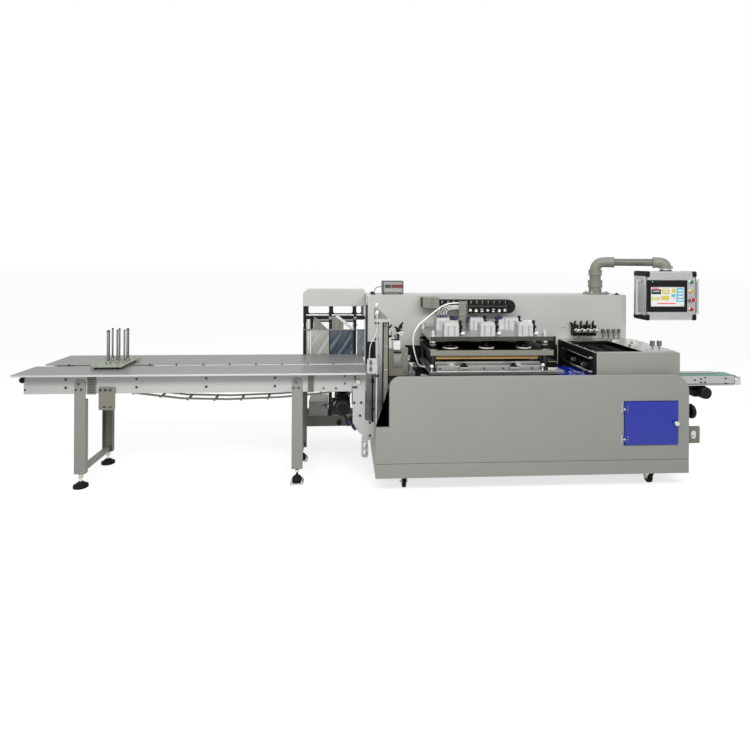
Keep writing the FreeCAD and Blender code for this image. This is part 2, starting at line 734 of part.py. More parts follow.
def press_columns():
    low = PRESS_BASE_Z + PRESS_BASE_T
    parts = []
    for x, y in columns():
        column = rod_z(x, y, low, TOP_PLATE_Z, COLUMN_R)
        foot = rod_z(x, y, low, low + COLUMN_FOOT_H, COLUMN_FOOT_R)
        washer = rod_z(x, y, TOP_FACE_Z, TOP_FACE_Z + 4.0, COLUMN_NUT_R + 5.0)
        nut = hex_z(x, y, TOP_FACE_Z + 4.0, TOP_FACE_Z + COLUMN_NUT_H, COLUMN_NUT_R)
        parts.append(fuse([column, foot]))
        parts.append(fuse([washer, nut]))
    return group(parts)


def hex_z(x, y, z0, z1, radius):
    corners = []
    for i in range(6):
        a = math.radians(60 * i + 30)
        corners.append((x + radius * math.cos(a), y + radius * math.sin(a), 0))
    return slab_z(corners, z0, z1)


def press_top():
    """Top plate with its rod holes, and the upright bracket for the moving end of the chain."""
    plate = box(PRESS_X0, PRESS_X1, PRESS_Y0, PRESS_Y1, TOP_PLATE_Z, TOP_FACE_Z)
    for x, y in cylinders():
        plate = plate.cut(rod_z(x, y, TOP_PLATE_Z - 1, TOP_FACE_Z + 1, PISTON_R + ROD_GAP))
    x1 = CHAIN_X_MOVING - BRACKET_T
    x0 = x1 - BRACKET_W - 2.0
    y0 = BRACKET_Y
    shelf_z = CHAIN_LOW_Z + 12.0
    head = CHAIN_TOP_Z - 8.0
    bracket = fuse([
        box(x0, x0 + BRACKET_W, y0, y0 + BRACKET_T, TOP_FACE_Z, head),
        box(x0, x0 + BRACKET_W, y0 + BRACKET_T, y0 + 18.0, TOP_FACE_Z, TOP_FACE_Z + BRACKET_T),
        box(x0, x0 + 25.0, y0 + BRACKET_T, y0 + 20.0, head - 74.0, head),
        box(x0, CHAIN_X_MOVING, y0 + BRACKET_T, CHAIN_Y1, shelf_z, shelf_z + BRACKET_T),
        box(x1, CHAIN_X_MOVING, CHAIN_Y0, CHAIN_Y1, CHAIN_LOW_Z + 2.0, CHAIN_LOW_Z + CHAIN_H - 2.0),
    ])
    return group([plate, bracket])


def press_cylinders():
    """Compact air cylinders on the top plate, with a step where the end cap sits."""
    z0 = TOP_FACE_Z
    half = CYLINDER_W / 2
    parts = []
    for x, y in cylinders():
        body = slab_z(rect(x - half, x + half, y - half, y + half - 4.0, 10.0), z0,
                      z0 + CYLINDER_H - CYLINDER_CAP)
        cap = slab_z(rect(x - half + 3.0, x + half - 3.0, y - half + 3.0, y + half - 7.0, 8.0),
                     z0 + CYLINDER_H - CYLINDER_CAP, z0 + CYLINDER_H)
        bore = rod_z(x, y, z0 - 1, z0 + CYLINDER_H - CYLINDER_CAP, PISTON_R + ROD_GAP)
        parts.append(fuse([body, cap]).cut(bore))
    return group(parts)


def platen_plate():
    """Moving plate with guide bushes, the pushing discs and the piston rods."""
    z0 = PLATEN_Z
    z1 = PLATEN_Z + PLATEN_T
    parts = [box(PRESS_X0, PRESS_X1, PRESS_Y0, PRESS_Y1, z0, z1)]
    for x, y in columns():
        parts.append(rod_z(x, y, z1, z1 + BUSH_H, BUSH_R))
    for x, y in cylinders():
        parts.append(rod_z(x, y, z1, z1 + DISC_T, DISC_R))
        parts.append(rod_z(x, y, z1 + DISC_T, TOP_FACE_Z + PISTON_RISE, PISTON_R))
    shape = fuse(parts)
    for x, y in columns():
        shape = shape.cut(rod_z(x, y, z0 - 1, z1 + BUSH_H + 1, COLUMN_R + ROD_FIT))
    return shape


def platen_pad():
    """Insulating board with the upper heated plate under it."""
    pad = box(PAD_X0, PAD_X1, PRESS_Y0 + 20.0, PRESS_Y1 - 20.0, PAD_Z, PLATEN_Z)
    for x, y in columns():
        pad = pad.cut(rod_z(x, y, PAD_Z - 1, PLATEN_Z + 1, COLUMN_R + GAP))
    heater = box(PAD_X0 + 12.0, PAD_X1 - 12.0, PRESS_Y0 + BLOCK_INSET, PRESS_Y1 - BLOCK_INSET,
                 UPPER_BOTTOM_Z, PAD_Z)
    return group([pad, heater])


def chain_wall_bracket():
    """Open channel on the wall that holds the fixed end of the chain."""
    x1 = CHAIN_X_FIXED
    x0 = x1 - WALL_BRACKET_L - 6.0
    z0, z1 = CHAIN_TOP_Z - CHAIN_H - 17.0, CHAIN_TOP_Z + 18.0
    y0 = CHAIN_Y0 - 6.0
    t = BRACKET_T
    plate = box(x0, x1 - 6.0, WALL_Y - t, WALL_Y, z0, z1)
    front = box(x0, x1 - 6.0, y0 - t, y0, z0, z1)
    top = box(x0, x1 - 6.0, y0, WALL_Y - t, z1 - t, z1)
    shelf = box(x0, x1, y0, WALL_Y - t, z0, z0 + t)
    return fuse([plate, front, top, shelf])


def drag_chain():
    """Cable chain with open links: upper run, half turn and lower run."""
    half = CHAIN_H / 2
    top, low = CHAIN_TOP_Z, CHAIN_LOW_Z
    mid = top - half - CHAIN_R
    outer = CHAIN_R + half
    inner = CHAIN_R - half
    y0, y1 = CHAIN_Y0, CHAIN_Y1
    upper = box(CHAIN_X_FIXED, CHAIN_X_BEND, y0, y1, top - CHAIN_H, top)
    lower = box(CHAIN_X_MOVING, CHAIN_X_BEND, y0, y1, low, low + CHAIN_H)
    bend = rod_y(CHAIN_X_BEND, mid, y0, y1, outer).cut(rod_y(CHAIN_X_BEND, mid, y0 - 1, y1 + 1, inner))
    bend = bend.cut(box(CHAIN_X_BEND - 2 * outer, CHAIN_X_BEND, y0 - 1, y1 + 1, low - 10, top + 10))
    chain = fuse([upper, lower, bend])
    holes = []
    for z, start in ((top - CHAIN_H, CHAIN_X_FIXED), (low, CHAIN_X_MOVING)):
        x = start + LINK_SLOT / 2
        while x + LINK_SLOT < CHAIN_X_BEND:
            holes.append(box(x, x + LINK_SLOT, y0 - 1, y1 + 1, z + CHAIN_WEB, z + CHAIN_H - CHAIN_WEB))
            x += LINK_PITCH
    return chain.cut(Part.makeCompound(holes))


# Infeed

def infeed_rails():
    """Two channels that carry the table, with spacers under the plates and holes for the shafts."""
    rails = []
    z0, z1 = INFEED_Z0, INFEED_Z1
    for y, inward in ((RAIL_OUT_Y[0], 1), (RAIL_OUT_Y[1], -1)):
        web0, web1 = sorted((y, y + inward * INFEED_WEB))
        flange0, flange1 = sorted((y, y + inward * INFEED_FLANGE))
        web = box(INFEED_X0, INFEED_X1, web0, web1, z0, z1)
        low = box(INFEED_X0, INFEED_X1, flange0, flange1, z0, z0 + INFEED_FLANGE_T)
        high = box(INFEED_X0, INFEED_X1, flange0, flange1, z1 - INFEED_FLANGE_T, z1)
        spacers = []
        step = (INFEED_X1 - INFEED_X0 - SPACER_L - 20.0) / 4
        for i in range(5):
            x = INFEED_X0 + 10.0 + i * step
            spacers.append(box(x, x + SPACER_L, flange0, flange1, z1, TABLE_Z - TABLE_T))
        rail = fuse([web, low, high] + spacers)
        for x, r, shaft in ((IDLER_X, IDLER_R, IDLER_SHAFT_R), (DRIVE_X, DRIVE_R, DRIVE_SHAFT_R)):
            rail = rail.cut(rod_y(x, RUN_Z - r, flange0 - 1, flange1 + 1, shaft))
        rails.append(rail)
    return group(rails)


def infeed_shafts():
    """Drive and idler shafts with chain wheels, and the idler's black end blocks."""
    y0, y1 = RAIL_OUT_Y
    shafts = []
    for x, r, shaft_r in ((IDLER_X, IDLER_R, IDLER_SHAFT_R), (DRIVE_X, DRIVE_R, DRIVE_SHAFT_R)):
        parts = [rod_y(x, RUN_Z - r, y0, y1, shaft_r)]
        for side in (-1, 1):
            y = CHAIN_CENTRE_Y + side * STRAND_OFF
            parts.append(rod_y(x, RUN_Z - r, y - SPROCKET_T / 2, y + SPROCKET_T / 2,
                               r - STRAND_H / 2 - SPROCKET_GAP))
        shafts.append(fuse(parts))
    blocks = []
    z = RUN_Z - IDLER_R
    for y in (y0 + INFEED_WEB, y1 - 3 * INFEED_WEB):
        block = slab_y(rect(IDLER_X - 47.0, IDLER_X + 41.0, z - 25.0, z + 25.0, 12.0), y, y + 2 * INFEED_WEB)
        blocks.append(block.cut(rod_y(IDLER_X, z, y - 1, y + 2 * INFEED_WEB + 1, IDLER_SHAFT_R)))
    return group(shafts + blocks)


def table_front():
    x0, x1 = TABLE_FRONT_X0, TABLE_X1
    y0, y1 = TABLE_FRONT_Y
    z1 = TABLE_Z
    sheet = slab_z([(x0, y0, 6), (x1, y0, 0), (x1, y1, 0), (x0, y1, 0)], z1 - TABLE_T, z1)
    lip = box(x0 + 6, x1, y0, y0 + TABLE_T, z1 - TABLE_LIP, z1 - TABLE_T)
    end = box(x0, x0 + TABLE_T, y0 + 6, y1, z1 - TABLE_LIP, z1 - TABLE_T)
    return fuse([sheet, lip, end])


def table_back():
    x0, x1 = TABLE_BACK_X0, TABLE_X1
    y0, y1 = TABLE_BACK_Y
    z1 = TABLE_Z
    sheet = slab_z([(x0, y0, 40), (x1, y0, 0), (x1, y1, 0), (x0, y1, 0)], z1 - TABLE_T, z1)
    lip = box(x0, x1, y1 - TABLE_T, y1, z1 - TABLE_LIP, z1 - TABLE_T)
    return fuse([sheet, lip])


def half_turn(x, r, side, y):
    """The chain's half turn round a shaft."""
    z = RUN_Z - r
    ring = rod_y(x, z, y - STRAND_W / 2, y + STRAND_W / 2, r + STRAND_H / 2)
    ring = ring.cut(rod_y(x, z, y - STRAND_W, y + STRAND_W, r - STRAND_H / 2))
    x0, x1 = sorted((x, x + side * 2 * (r + STRAND_H)))
    return ring.common(box(x0, x1, y - STRAND_W, y + STRAND_W, 0.0, 2 * TABLE_Z))


def return_points():
    """Centre line of the returning run, sagging from the drive shaft to the idler."""
    span = DRIVE_X - IDLER_X
    low = INFEED_Z0 - 96.0
    return [(DRIVE_X, RUN_Z - 2 * DRIVE_R), (DRIVE_X - 0.1 * span, low + 40.0),
            (DRIVE_X - 0.25 * span, low + 12.0), (DRIVE_X - 0.42 * span, low),
            (DRIVE_X - 0.565 * span, low + 10.0), (DRIVE_X - 0.7 * span, low + 48.0),
            (DRIVE_X - 0.85 * span, low + 104.0), (IDLER_X, RUN_Z - 2 * IDLER_R)]


def return_z(x):
    """Height of the returning run's centre line at x."""
    points = sorted(return_points())
    for (xa, za), (xb, zb) in zip(points, points[1:]):
        if xa <= x <= xb:
            return za + (zb - za) * (x - xa) / (xb - xa)
    return points[-1][1]


def pusher_chain():
    """One fixed loop of two strands with cross bars, and the tabs that push the goods."""
    ys = [CHAIN_CENTRE_Y + side * STRAND_OFF for side in (-1, 1)]
    half = STRAND_OFF + STRAND_W / 2
    side0, side1 = CHAIN_CENTRE_Y - half, CHAIN_CENTRE_Y + half
    parts = []
    for y in ys:
        parts.append(box(IDLER_X, DRIVE_X, y - STRAND_W / 2, y + STRAND_W / 2,
                         RUN_Z - STRAND_H / 2, RUN_Z + STRAND_H / 2))
        parts.append(half_turn(IDLER_X, IDLER_R, -1, y))
        parts.append(half_turn(DRIVE_X, DRIVE_R, 1, y))
    for i in range(1, PUSHER_COUNT):
        x = PUSHER_LAST_X - i * PUSHER_PITCH
        z = RUN_Z + STRAND_H / 2
        bar = box(x - FLIGHT_W / 2, x + FLIGHT_W / 2, side0, side1, z, z + FLIGHT_T)
        tab = box(x - 3, x + 3, CHAIN_CENTRE_Y - 12, CHAIN_CENTRE_Y + 12, z + FLIGHT_T, PUSHER_TOP_Z)
        parts.append(fuse([bar, tab]))
    line = return_points()
    for (xa, za), (xb, zb) in zip(line, line[1:]):
        pieces = [return_run(xa, za, xb, zb, y) for y in ys]
        for i in range(PUSHER_COUNT):
            x = PUSHER_LAST_X - (i + 0.5) * PUSHER_PITCH
            if xb + FLIGHT_W < x < xa - FLIGHT_W:
                z = return_z(x)
                pieces.append(box(x - FLIGHT_W / 2, x + FLIGHT_W / 2, side0, side1,
                                  z - STRAND_H / 2 - FLIGHT_T, z - 2))
        parts.append(fuse(pieces))
    return group(parts)


def return_run(xa, za, xb, zb, y):
    """One straight stretch of the returning strand, with upright end faces."""
    half = STRAND_H / 2
    outline = [(xb, zb - half, 0), (xa, za - half, 0), (xa, za + half, 0), (xb, zb + half, 0)]
    return slab_y(outline, y - STRAND_W / 2, y + STRAND_W / 2)


def leg(x, y, outward, bottom):
    """Channel leg: the web runs up over the rail to a rounded end, the flanges stop below the rail."""
    web0, web1 = sorted((y, y - outward * LEG_T))
    deep0, deep1 = sorted((y - outward * LEG_T, y - outward * LEG_D))
    half = LEG_W / 2
    seat_z = LEG_SEAT_Z
    web = slab_y([(x - half, bottom, 0), (x + half, bottom, 0), (x + half, LEG_TONGUE_Z, 0.8 * half),
                  (x - half, LEG_TONGUE_Z, 0.8 * half)], web0, web1)
    flanges = []
    for side in (-1, 1):
        x0, x1 = sorted((x + side * half, x + side * (half - LEG_T)))
        flanges.append(box(x0, x1, deep0, deep1, bottom, seat_z))
    sole = box(x - half, x + half, deep0, deep1, bottom, bottom + 6.0)
    seat = box(x - half, x + half, deep0, deep1, seat_z - 6.0, seat_z)
    post0, post1 = sorted((y - outward * LEG_T, y - outward * (LEG_T + 8.0)))
    riser = box(x - 20.0, x + 20.0, post0, post1, seat_z, INFEED_Z0)
    return fuse([web, sole, seat, riser] + flanges)


def leg_frames():
    frames = []
    y_front = RAIL_OUT_Y[0] - LEG_T
    y_back = RAIL_OUT_Y[1] + LEG_T
    for x, bottom in zip(LEG_XS, LEG_BOTTOM):
        front = leg(x, y_front, -1, bottom)
        back = leg(x, y_back, 1, bottom)
        bar = box(x - LEG_BAR_W / 2, x + LEG_BAR_W / 2, y_front + LEG_D, y_back - LEG_D,
                  bottom + 6.0, bottom + 6.0 + LEG_BAR_H)
        ends = []
        for y0, y1 in ((y_front + LEG_T, y_front + LEG_D), (y_back - LEG_D, y_back - LEG_T)):
            ends.append(box(x - LEG_BAR_W / 2, x + LEG_BAR_W / 2, y0, y1, bottom + 6.0,
                            bottom + 6.0 + LEG_BAR_H))
        frames.extend([fuse([front, ends[0]]), bar, fuse([back, ends[1]])])
    return group(frames)


def floor_feet():
    feet = []
    y_front = RAIL_OUT_Y[0] - LEG_T + LEG_D / 2
    y_back = RAIL_OUT_Y[1] + LEG_T - LEG_D / 2
    for y in (y_front, y_back):
        feet.append(disc_foot(LEG_XS[0], y, FOOT_R, LEG_BOTTOM[0]))
        feet.append(anchor_foot(LEG_XS[1], y, LEG_BOTTOM[1]))
    return group(feet)


def disc_foot(x, y, radius, top):
    """Levelling foot: flat disc, cone, threaded stem and lock nut."""
    disc = rod_z(x, y, 0.0, 16.0, radius)
    cone = cone_z(x, y, 16.0, 37.0, radius - 4.0, 17.0)
    stem = rod_z(x, y, 37.0, top, FOOT_STEM_R)
    nut = hex_z(x, y, 62.0, 74.0, 1.8 * FOOT_STEM_R)
    return fuse([disc, cone, stem, nut])


def anchor_foot(x, y, top):
    """Ball foot on a square plate that is bolted to the floor."""
    half = ANCHOR_W / 2
    plate = slab_z(rect(x - half, x + half, y - half, y + half, 8.0), 0.0, ANCHOR_T)
    for sx in (-1, 1):
        for sy in (-1, 1):
            plate = plate.cut(rod_z(x + sx * ANCHOR_HOLE_S / 2, y + sy * ANCHOR_HOLE_S / 2,
                                    -1, ANCHOR_T + 1, ANCHOR_HOLE_R))
    low = ANCHOR_T + 14.0
    ball = Part.makeSphere(BALL_R, V(x, y, low), V(0, 0, 1), 0, 90, 360)
    collar = rod_z(x, y, ANCHOR_T, low, BALL_R)
    stem = rod_z(x, y, low + BALL_R - 6.0, top, FOOT_STEM_R)
    return fuse([plate, collar, ball, stem])


def rail_brackets():
    """A strap on the rail beside each leg, and the slotted plate that hangs by the left one."""
    y = RAIL_OUT_Y[0]
    strap = box(LEG_XS[1] + 72.0, LEG_XS[1] + 114.0, y - 6.0, y, INFEED_Z0 - 4.0, INFEED_Z1 - 2.0)
    left_strap = box(LEG_XS[0] + 48.0, LEG_XS[0] + 106.0, y - 6.0, y, INFEED_Z0 - 4.0, INFEED_Z1 - 2.0)
    x0, x1 = LEG_XS[0] + 125.0, LEG_XS[0] + 235.0
    plate = slab_y(rect(x0, x1, INFEED_Z0 - 109.0, INFEED_Z0 + 48.0, 10.0), y - 10.0, y - 6.0)
    for x in (x0 + 22.0, x1 - 46.0):
        plate = plate.cut(slab_y(rect(x, x + 28.0, INFEED_Z0 - 94.0, INFEED_Z0 - 84.0, 4.5), y - 11, y - 5))
    back = box(x0 + 8.0, x1 - 8.0, y - 6.0, y, INFEED_Z0 + 6.0, INFEED_Z0 + 40.0)
    return group([strap, left_strap, fuse([plate, back])])


# Magazine

def magazine_plate():
    plate = slab_z([(MAG_X0, MAG_Y0, 55), (MAG_X1, MAG_Y0, 6), (MAG_X1, MAG_Y1, 6), (MAG_X0, MAG_Y1, 6)],
                   MAG_Z0, MAG_Z0 + MAG_T)
    feet = []
    for x in (MAG_X0 + MAG_INSET, MAG_X1 - MAG_INSET):
        for y in (TABLE_BACK_Y[0] + 50.0, MAG_Y1 - MAG_INSET):
            feet.append(rod_z(x, y, TABLE_Z, MAG_Z0, MAG_FOOT_R))
    return fuse([plate] + feet)


def magazine_pins():
    pins = []
    low = MAG_Z0 + MAG_T
    for dx, dy, r in PINS:
        x, y = MAG_X0 + dx, MAG_Y0 + dy
        pin = rod_z(x, y, low, MAG_TOP_Z, r)
        collar = rod_z(x, y, low, low + 14.0, r + 6.0)
        pins.append(fuse([pin, collar]))
    return group(pins)


# Infeed drive

def infeed_motor():
    """Gearmotor on a hanging plate, with its output shaft and chain wheel."""
    y = DRIVE_PLATE_Y
    body = rod_y(MOTOR_X, MOTOR_Z, y - GEAR_L - MOTOR_L, y - GEAR_L, MOTOR_R)
    gear = box(MOTOR_X - GEAR_S, MOTOR_X + GEAR_S, y - GEAR_L, y, MOTOR_Z - GEAR_S, MOTOR_Z + GEAR_S)
    terminals = box(MOTOR_X - GEAR_S - TERMINALS_OUT, MOTOR_X - 0.6 * MOTOR_R,
                    y - GEAR_L - 0.8 * MOTOR_L, y - GEAR_L - 10.0, MOTOR_Z - 30.0, MOTOR_Z + 42.0)
    body = body.fuse(terminals).removeSplitter()
    half = MOTOR_PLATE_W / 2
    lower = box(MOTOR_X - GEAR_S, MOTOR_X + GEAR_S, y, y + DRIVE_PLATE_T,
                MOTOR_Z - GEAR_S - 10.0, MOTOR_Z + GEAR_S)
    upper = box(MOTOR_X - half, MOTOR_X + half, y, y + DRIVE_PLATE_T, MOTOR_Z, INFEED_Z0)
    mount = fuse([lower, upper])
    foot = box(MOTOR_X - half, MOTOR_X + half, y + DRIVE_PLATE_T,
               RAIL_OUT_Y[1] - INFEED_FLANGE + 20.0, INFEED_Z0 - DRIVE_PLATE_T, INFEED_Z0)
    shaft = rod_y(MOTOR_X, MOTOR_Z, y + DRIVE_PLATE_T, y + DRIVE_PLATE_T + 40.0, 10.0)
    return group([body, gear, fuse([mount, shaft]), foot])


def infeed_end_plates():
    """Side plates under the drive end, tied by two bars, with the slotted foot and cabinet links."""
    y = RAIL_OUT_Y[0] - SIDE_PLATE_T
    t = SIDE_PLATE_T
    x0 = SIDE_PLATE_X0
    low, step = SIDE_PLATE_LOW_Z, SIDE_PLATE_STEP_Z
    outline = [(x0, INFEED_Z0 + 64.0, 12), (x0, step - 15.0, 50), (x0 + 34.0, low + 66.0, 20),
               (x0 + 94.0, low + 10.0, 8), (x0 + 137.0, low, 4), (x0 + 137.0, step - 12.0, 4),
               (x0 + 85.0, step, 14), (x0 + 85.0, INFEED_Z0 + 64.0, 8)]
    parts = [slab_y(outline, y - t, y), slab_y(outline, RAIL_OUT_Y[1] + t, RAIL_OUT_Y[1] + 2 * t)]
    pads = [(y, RAIL_OUT_Y[0]), (RAIL_OUT_Y[1], RAIL_OUT_Y[1] + t)]
    for y0, y1 in pads:
        parts.append(box(x0 + 7.0, x0 + 80.0, y0, y1, INFEED_Z0 + 14.0, INFEED_Z0 + 54.0))
    for x, z in ((x0 + 66.0, step - 24.0), (x0 + 104.0, step - 92.0)):
        parts.append(rod_y(x, z, y, RAIL_OUT_Y[1] + t, TIE_R))
    for y0 in (y - t, RAIL_OUT_Y[1] + t):
        parts.append(box(x0 + 137.0, 0.0, y0, y0 + t, low + 24.0, step - 19.0))
    white = slab_y(rect(x0 + 62.0, x0 + 110.0, low - 118.0, low + 34.0, 14.0), y - 2 * t, y - t)
    for z in (low - 98.0, low - 48.0):
        white = white.cut(slab_y(rect(x0 + 78.0, x0 + 94.0, z, z + 30.0, 7.0), y - 2 * t - 1, y - t + 1))
    return group(parts + [white])


# Film unit

def film_frame():
    y0, y1 = FILM_Y0, FILM_Y1
    z0, z1 = FILM_BASE_Z
    t = FILM_TUBE
    parts = [box(FILM_X0, WALL_X0, y0, y0 + t, z0, z1), box(FILM_X0, WALL_X0, y1 - t, y1, z0, z1)]
    for x in (FILM_X0, FILM_X0 + 420.0):
        parts.append(box(x, x + t, y0 + t, y1 - t, z0, z0 + t))
    for x0, x1 in FILM_POSTS:
        parts.append(box(x0, x1, y0, y0 + FILM_POST_D, z1, FILM_HOOD_Z0))
        parts.append(box(x0, x1, y1 - FILM_POST_D, y1 - FILM_BACK_T, z1, FILM_HOOD_Z0))
    edges = [post[1] for post in FILM_POSTS]
    ends = [post[0] for post in FILM_POSTS[1:]] + [WALL_X0]
    for left, right in zip(edges, ends):
        for z in (FILM_RAIL_Z, FILM_LOW_RAIL_Z):
            parts.append(box(left, right, y0 + 6.0, y0 + 22.0, z, z + FILM_RAIL_H))
    x = FILM_POSTS[0][1] + 6.0
    parts.append(box(x, x + 30.0, y0 + 6.0, y0 + 14.0, FILM_LOW_RAIL_Z + FILM_RAIL_H, FILM_RAIL_Z))
    parts.append(film_back_plate())
    parts.append(box(FILM_BOX_X[0], FILM_BOX_X[1], y0 + 4.0, y1 - 4.0, z1, z1 + FILM_BOX_H))
    return group(parts)


def film_back_plate():
    """Rear plate with a row of rounded windows under the hood."""
    x0, x1 = FILM_POSTS[0][0], WALL_X0
    y0, y1 = FILM_Y1 - FILM_BACK_T, FILM_Y1
    plate = box(x0, x1, y0, y1, FILM_RAIL_Z - 32.0, FILM_HOOD_Z0)
    edges = [post[1] for post in FILM_POSTS]
    ends = [post[0] for post in FILM_POSTS[1:]] + [WALL_X0 - 20.0]
    for left, right in zip(edges, ends):
        window = rect(left + 6.0, right - 6.0, FILM_HOOD_Z0 - 82.0, FILM_HOOD_Z0 - 14.0, 16.0)
        plate = plate.cut(slab_y(window, y0 - 1, y1 + 1))
    return plate


def film_hood():
    outline = [(FILM_X0, FILM_HOOD_Z0, 0), (FILM_HOOD_X1, FILM_HOOD_Z0, 0),
               (FILM_HOOD_X1, FILM_HOOD_Z1, 0), (FILM_X0, FILM_HOOD_Z1, 38)]
    y0, y1 = FILM_Y0 - FILM_HOOD_OUT, FILM_Y1 + FILM_HOOD_OUT
    shell = slab_y(outline, y0, y1)
    return shell.cut(slab_y(inset(outline, SHEET), y0 + SHEET, y1 - SHEET))


def film_rollers():
    rollers = []
    left, middle, right = [(x0 + x1) / 2 for x0, x1 in FILM_POSTS]
    high = FILM_RAIL_Z - 52.0
    low = FILM_LOW_RAIL_Z + 60.0
    for x, z, r in ((left, high, ROLLER_R), (middle, high - 70.0, ROLLER_R), (right, high, ROLLER_R),
                    (middle, low - 140.0, SUPPLY_R), (left, low, ROLLER_R), (right, low, ROLLER_R)):
        roller = rod_y(x, z, FILM_Y0 + FILM_POST_D + 4.0, FILM_Y1 - FILM_POST_D - 4.0, r)
        shaft = rod_y(x, z, FILM_Y0 + FILM_POST_D, FILM_Y1 - FILM_POST_D, ROLLER_SHAFT_R)
        rollers.append(fuse([roller, shaft]))
    return group(rollers)


def film_web():
    """Film in the unit: the run over the top rollers and the panels that hang off the front bar."""
    left, middle, right = [(x0 + x1) / 2 for x0, x1 in FILM_POSTS]
    z = FILM_RAIL_Z - 52.0 + ROLLER_R
    sheet = box(left, right, FILM_Y0 + FILM_POST_D + 8.0, FILM_Y1 - FILM_POST_D - 8.0, z, z + WEB_T)
    y = FILM_Y0 - 2 * FILM_BAR_R
    z0, z1 = FILM_BAR_Z - WEB_DROP, FILM_BAR_Z
    panels = []
    for a, b in FILM_PANELS:
        panels.append(box(FILM_X0 + a * FILM_L, FILM_X0 + b * FILM_L, y - WEB_T, y, z0, z1))
    return group([sheet] + panels)


def film_formers():
    """Forming boards above the front bar, the bar itself and the slanted turning rod."""
    y = FILM_Y0 - 2 * FILM_BAR_R + 2.0
    z = FILM_BAR_Z
    x = FILM_X0
    top = FILM_RAIL_Z + 26.0
    bar = rod_x(FILM_Y0 - FILM_BAR_R, z, FILM_POSTS[0][0], WALL_X0, FILM_BAR_R)
    first = slab_y([(x + 87.0, z + 6.0, 0), (x + 204.0, z + 6.0, 0), (x + 92.0, top, 3)], y, y + FORMER_T)
    second = slab_y([(x + 238.0, z + 6.0, 3), (x + 332.0, z + 6.0, 3), (x + 334.0, top - 62.0, 12),
                     (x + 292.0, top, 8), (x + 238.0, top, 3)], y, y + FORMER_T)
    lower = box(x + 87.0, x + 332.0, y, y + FORMER_T, z + FILM_BAR_R - 1.0, z + 8.0)
    slant = rod_between((x + 271.0, FILM_Y0 - 6.0, top + 8.0), (x + 407.0, FILM_Y0 - 6.0, z + 4.0), 6.0)
    return fuse([bar, first, second, lower, slant])


# Guide posts at the left end of the cabinet

def guide_posts():
    low = CAB_STEP_Z + SHEET
    foot = low + POST_FOOT_T
    r = GUIDE_ROD_R
    fx, fy, ftop = GUIDE_ROD_FRONT
    bx, by, btop = GUIDE_ROD_BACK
    px0, px1 = GUIDE_POST_X
    py0, py1 = GUIDE_POST_Y
    head_top = GUIDE_HEAD_Z + GUIDE_HEAD_T
    plate = box(CAB_STEP_X - 86.0, CAB_STEP_X - 3.0, COVER_DEPTH + 12.0, COVER_DEPTH + 292.0, low, foot)
    post = box(px0, px1, py0, py1, foot, GUIDE_HEAD_Z)
    front_rod = rod_z(fx, fy, foot, ftop, r)
    back_rod = rod_z(bx, by, foot, btop, r)
    head = box(fx - 12.0, px1 + 8.0, fy - 24.0, py1, GUIDE_HEAD_Z, head_top)
    head = head.cut(rod_z(fx, fy, GUIDE_HEAD_Z - 1, head_top + 1, r))
    collar = rod_z(fx, fy, COLLAR_Z, COLLAR_Z + COLLAR_H, COLLAR_R)
    low_z = COLLAR_Z - 34.0
    arm = slab_y(rect(fx - 67.0, fx, low_z, low_z + 102.0, 14.0), fy - 20.0, fy - 14.0)
    for z in (low_z + 14.0, low_z + 58.0):
        arm = arm.cut(slab_y(rect(fx - 50.0, fx - 34.0, z, z + 30.0, 7.0), fy - 21.0, fy - 13.0))
    clamp = collar.fuse(arm).removeSplitter()
    clamp = clamp.cut(rod_z(fx, fy, COLLAR_Z - 1, COLLAR_Z + COLLAR_H + 1, r))
    return group([plate, post, front_rod, back_rod, head, clamp])


def valve_unit():
    x0, x1 = VALVE_X0, VALVE_X0 + VALVE_W
    y0, y1 = VALVE_Y0, VALVE_Y0 + VALVE_D
    t = VALVE_T
    plate = box(x0, x1, y0, y0 + t, DECK_Z, VALVE_TOP_Z)
    side = box(x1 - t, x1, y0 + t, y1, DECK_Z, VALVE_TOP_Z)
    top = box(x0, x1 - t, y0 + t, y1, VALVE_TOP_Z - t, VALVE_TOP_Z)
    dx, w, d, h = VALVE_BLOCK
    block = box(x0 + dx, x0 + dx + w, y0 + 2 * t, y0 + 2 * t + d, VALVE_TOP_Z, VALVE_TOP_Z + h)
    knob = rod_z(x0 + dx + w / 2, y0 + 2 * t + d / 2, VALVE_TOP_Z + h, VALVE_TOP_Z + h + 39.0, KNURL_R)
    return group([plate, side, top, fuse([block, knob])])


# Transport unit

def transport_frame():
    """Side plates with the window for the web and the exit to the outfeed, and two cross beams."""
    t = TR_PLATE
    y0, z1 = TR_Y0 + 8.0, TR_Z1 - SHEET
    left = box(TR_X0, TR_X0 + t, y0, WALL_Y, DECK_Z, z1)
    right = box(TR_X1 - t, TR_X1, y0, WALL_Y, DECK_Z, z1)
    inlet = box(TR_X0 - 1, TR_X0 + t + 1, TR_WINDOW_Y[0], TR_WINDOW_Y[1], TR_WINDOW_Z[0], TR_WINDOW_Z[1])
    leave = box(TR_X1 - t - 1, TR_X1 + 1, TR_EXIT_Y[0], TR_EXIT_Y[1], TR_EXIT_Z[0], TR_EXIT_Z[1])
    beams = []
    for y in (TR_Y0 + TR_BEAM_INSET, WALL_Y - TR_BEAM_INSET - 15.0):
        beams.append(box(TR_X0 + t, TR_X1 - t, y, y + TR_BEAM, TR_BEAM_Z[0], TR_BEAM_Z[1]))
    return group([left.cut(inlet), right.cut(leave)] + beams)


